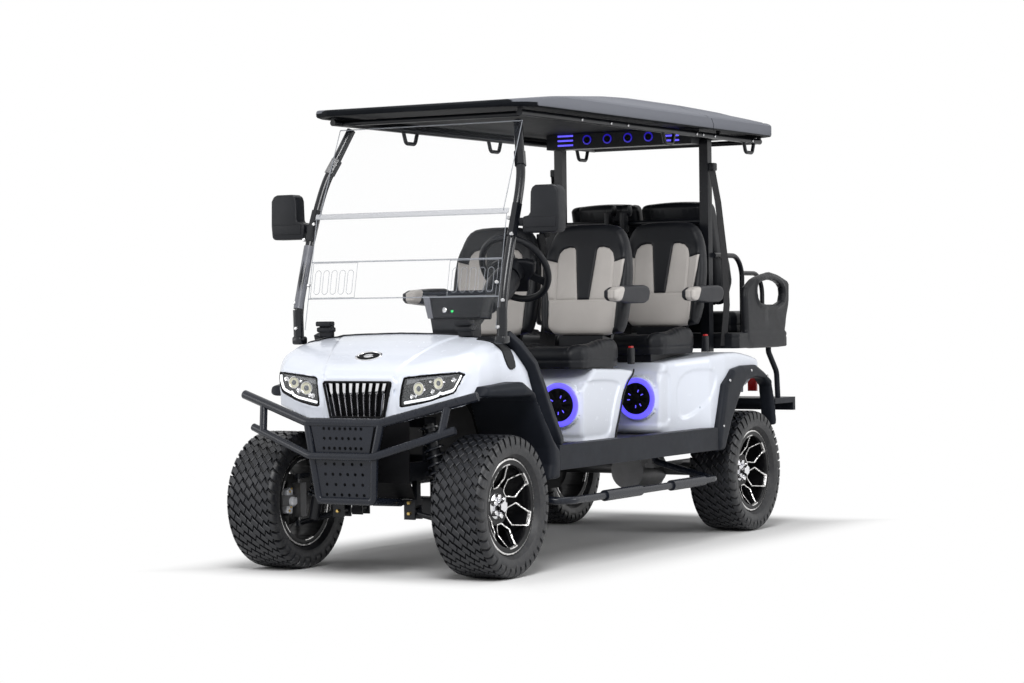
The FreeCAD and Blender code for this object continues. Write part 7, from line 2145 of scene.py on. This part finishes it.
@dataclass
class Stage:
    """Camera, floor and lights."""

    position: Point3 = (5.639, -10.005, 1.097)
    azimuth: float = 30.25
    elevation: float = 0.78
    roll: float = -0.71
    focal_pixels: float = 2466.6

    def camera(self) -> None:
        """Sets the camera of the photograph."""
        a, e, r = (math.radians(v) for v in (self.azimuth, self.elevation, self.roll))
        back = Vector((math.sin(a) * math.cos(e), -math.cos(a) * math.cos(e), math.sin(e)))
        right = Vector((math.cos(a), math.sin(a), 0))
        up = back.cross(right)
        turned_right = right * math.cos(r) + up * math.sin(r)
        turned_up = up * math.cos(r) - right * math.sin(r)
        lens = bpy.data.cameras.new("photo_camera")
        lens.sensor_width = 36.0
        lens.sensor_fit = "HORIZONTAL"
        lens.lens = self.focal_pixels / PHOTO_WIDTH * lens.sensor_width
        lens.clip_end = 100.0
        made = linked("photo_camera", lens)
        frame = Matrix((turned_right, turned_up, back)).transposed().to_4x4()
        made.matrix_world = Matrix.Translation(self.position) @ frame
        bpy.context.scene.camera = made

    def floor(self) -> None:
        """A pale floor that fades into the white background."""
        floor = mesh_object("studio_floor", [(-30, -30, 0), (30, -30, 0), (30, 30, 0), (-30, 30, 0)],
                            [(0, 1, 2, 3)])
        board = Board(bpy.data.materials.new("studio_floor"))
        paint = board.node("ShaderNodeBsdfDiffuse", None, {"Color": (0.86, 0.86, 0.86)})
        light = board.node("ShaderNodeEmission", None, {"Color": PURE_WHITE, "Strength": 1.0})
        beyond = (abs(board.place("X")) - 0.66).highest(abs(board.place("Y")) - 1.45)
        board.split(beyond.step(0.02, 0.40) * board.seen(), paint, light)
        floor.data.materials.append(board.owner)

    def lights(self) -> None:
        """A soft key, a fill, a top and a side light, and the white surround."""
        for name, place, size, power in (("key_light", (2.5, -5.5, 4.6), 2.6, 262.0),
                                         ("fill_light", (-4.5, -4.5, 2.2), 2.5, 48.0),
                                         ("top_light", (0.0, 0.5, 5.5), 3.0, 120.0),
                                         ("side_light", (5.5, 1.0, 2.6), 2.4, 86.0)):
            lamp = bpy.data.lights.new(name, "AREA")
            lamp.size = size
            lamp.energy = power
            made = linked(name, lamp)
            made.location = place
            aim = Vector((0.0, -0.2, 0.8)) - Vector(place)
            made.rotation_euler = aim.to_track_quat("-Z", "Y").to_euler()
        board = Board(bpy.data.worlds.new("studio"))
        soft = board.node("ShaderNodeBackground", None, {"Color": PURE_WHITE, "Strength": 0.34})
        white = board.node("ShaderNodeBackground", None, {"Color": PURE_WHITE, "Strength": 1.0})
        board.split(board.seen(), soft, white)
        bpy.context.scene.world = board.owner
        bpy.context.scene.view_settings.view_transform = "Standard"

    def build(self) -> None:
        """Sets the stage."""
        self.camera()
        self.floor()
        self.lights()


@dataclass
class CarriedOver:
    """Solids of the frame that keep their shape and take a finish."""

    finishes: dict[str, Finish] = field(default_factory=lambda: {
        "chassis_frame": Finishes.STEEL, "front_bumper": Finishes.TUBE,
        "bumper_plates": Finishes.TUBE, "front_fascia": Finishes.DARK,
        "windscreen_panes": Finishes.PANE, "floor_pan": Finishes.GRIP, "rocker_panels": Finishes.FLARE,
        "seat_frames": Finishes.STEEL, "armrest_pivots": Finishes.STEEL,
        "roof_rails": Finishes.STEEL, "rear_posts": Finishes.STEEL, "sound_bar": Finishes.TRIM,
        "rear_grab_rails": Finishes.STEEL, "rear_step": Finishes.FLARE,
        "side_steps": Finishes.TUBE, "front_suspension": Finishes.STEEL,
        "rear_axle": Finishes.CAST, "battery_pack": Finishes.DARK,
        "tail_lamps": Finishes.RED_LENS, "steering_wheel": Finishes.TRIM,
        "knuckle_left": Finishes.CAST, "knuckle_right": Finishes.CAST})

    def build(self, nodes: dict[str, bpy.types.Object]) -> None:
        """Dresses the solids.

        Args:
            nodes: The frame's objects by name.
        """
        for name, finish in self.finishes.items():
            mesh = nodes[name].data
            mesh.materials.clear()
            mesh.materials.append(finish.material())
            shaded(mesh, 30)


def main() -> None:
    """Builds the whole cart."""
    logging.basicConfig(level=logging.INFO, format="%(message)s")
    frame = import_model()
    Stage().build()
    CarriedOver().build(frame["nodes"])
    cowl = Cowl()
    for assembly in (cowl, Arches(), SeatPods(), Roof(), Seats(), RearBench(), Mirrors(), Cabin(),
                     FrontEnd(), Wheels()):
        assembly.build()
        LOG.info("%s built", type(assembly).__name__)
    Windscreen().build(cowl)


if __name__ == "__main__":
    main()
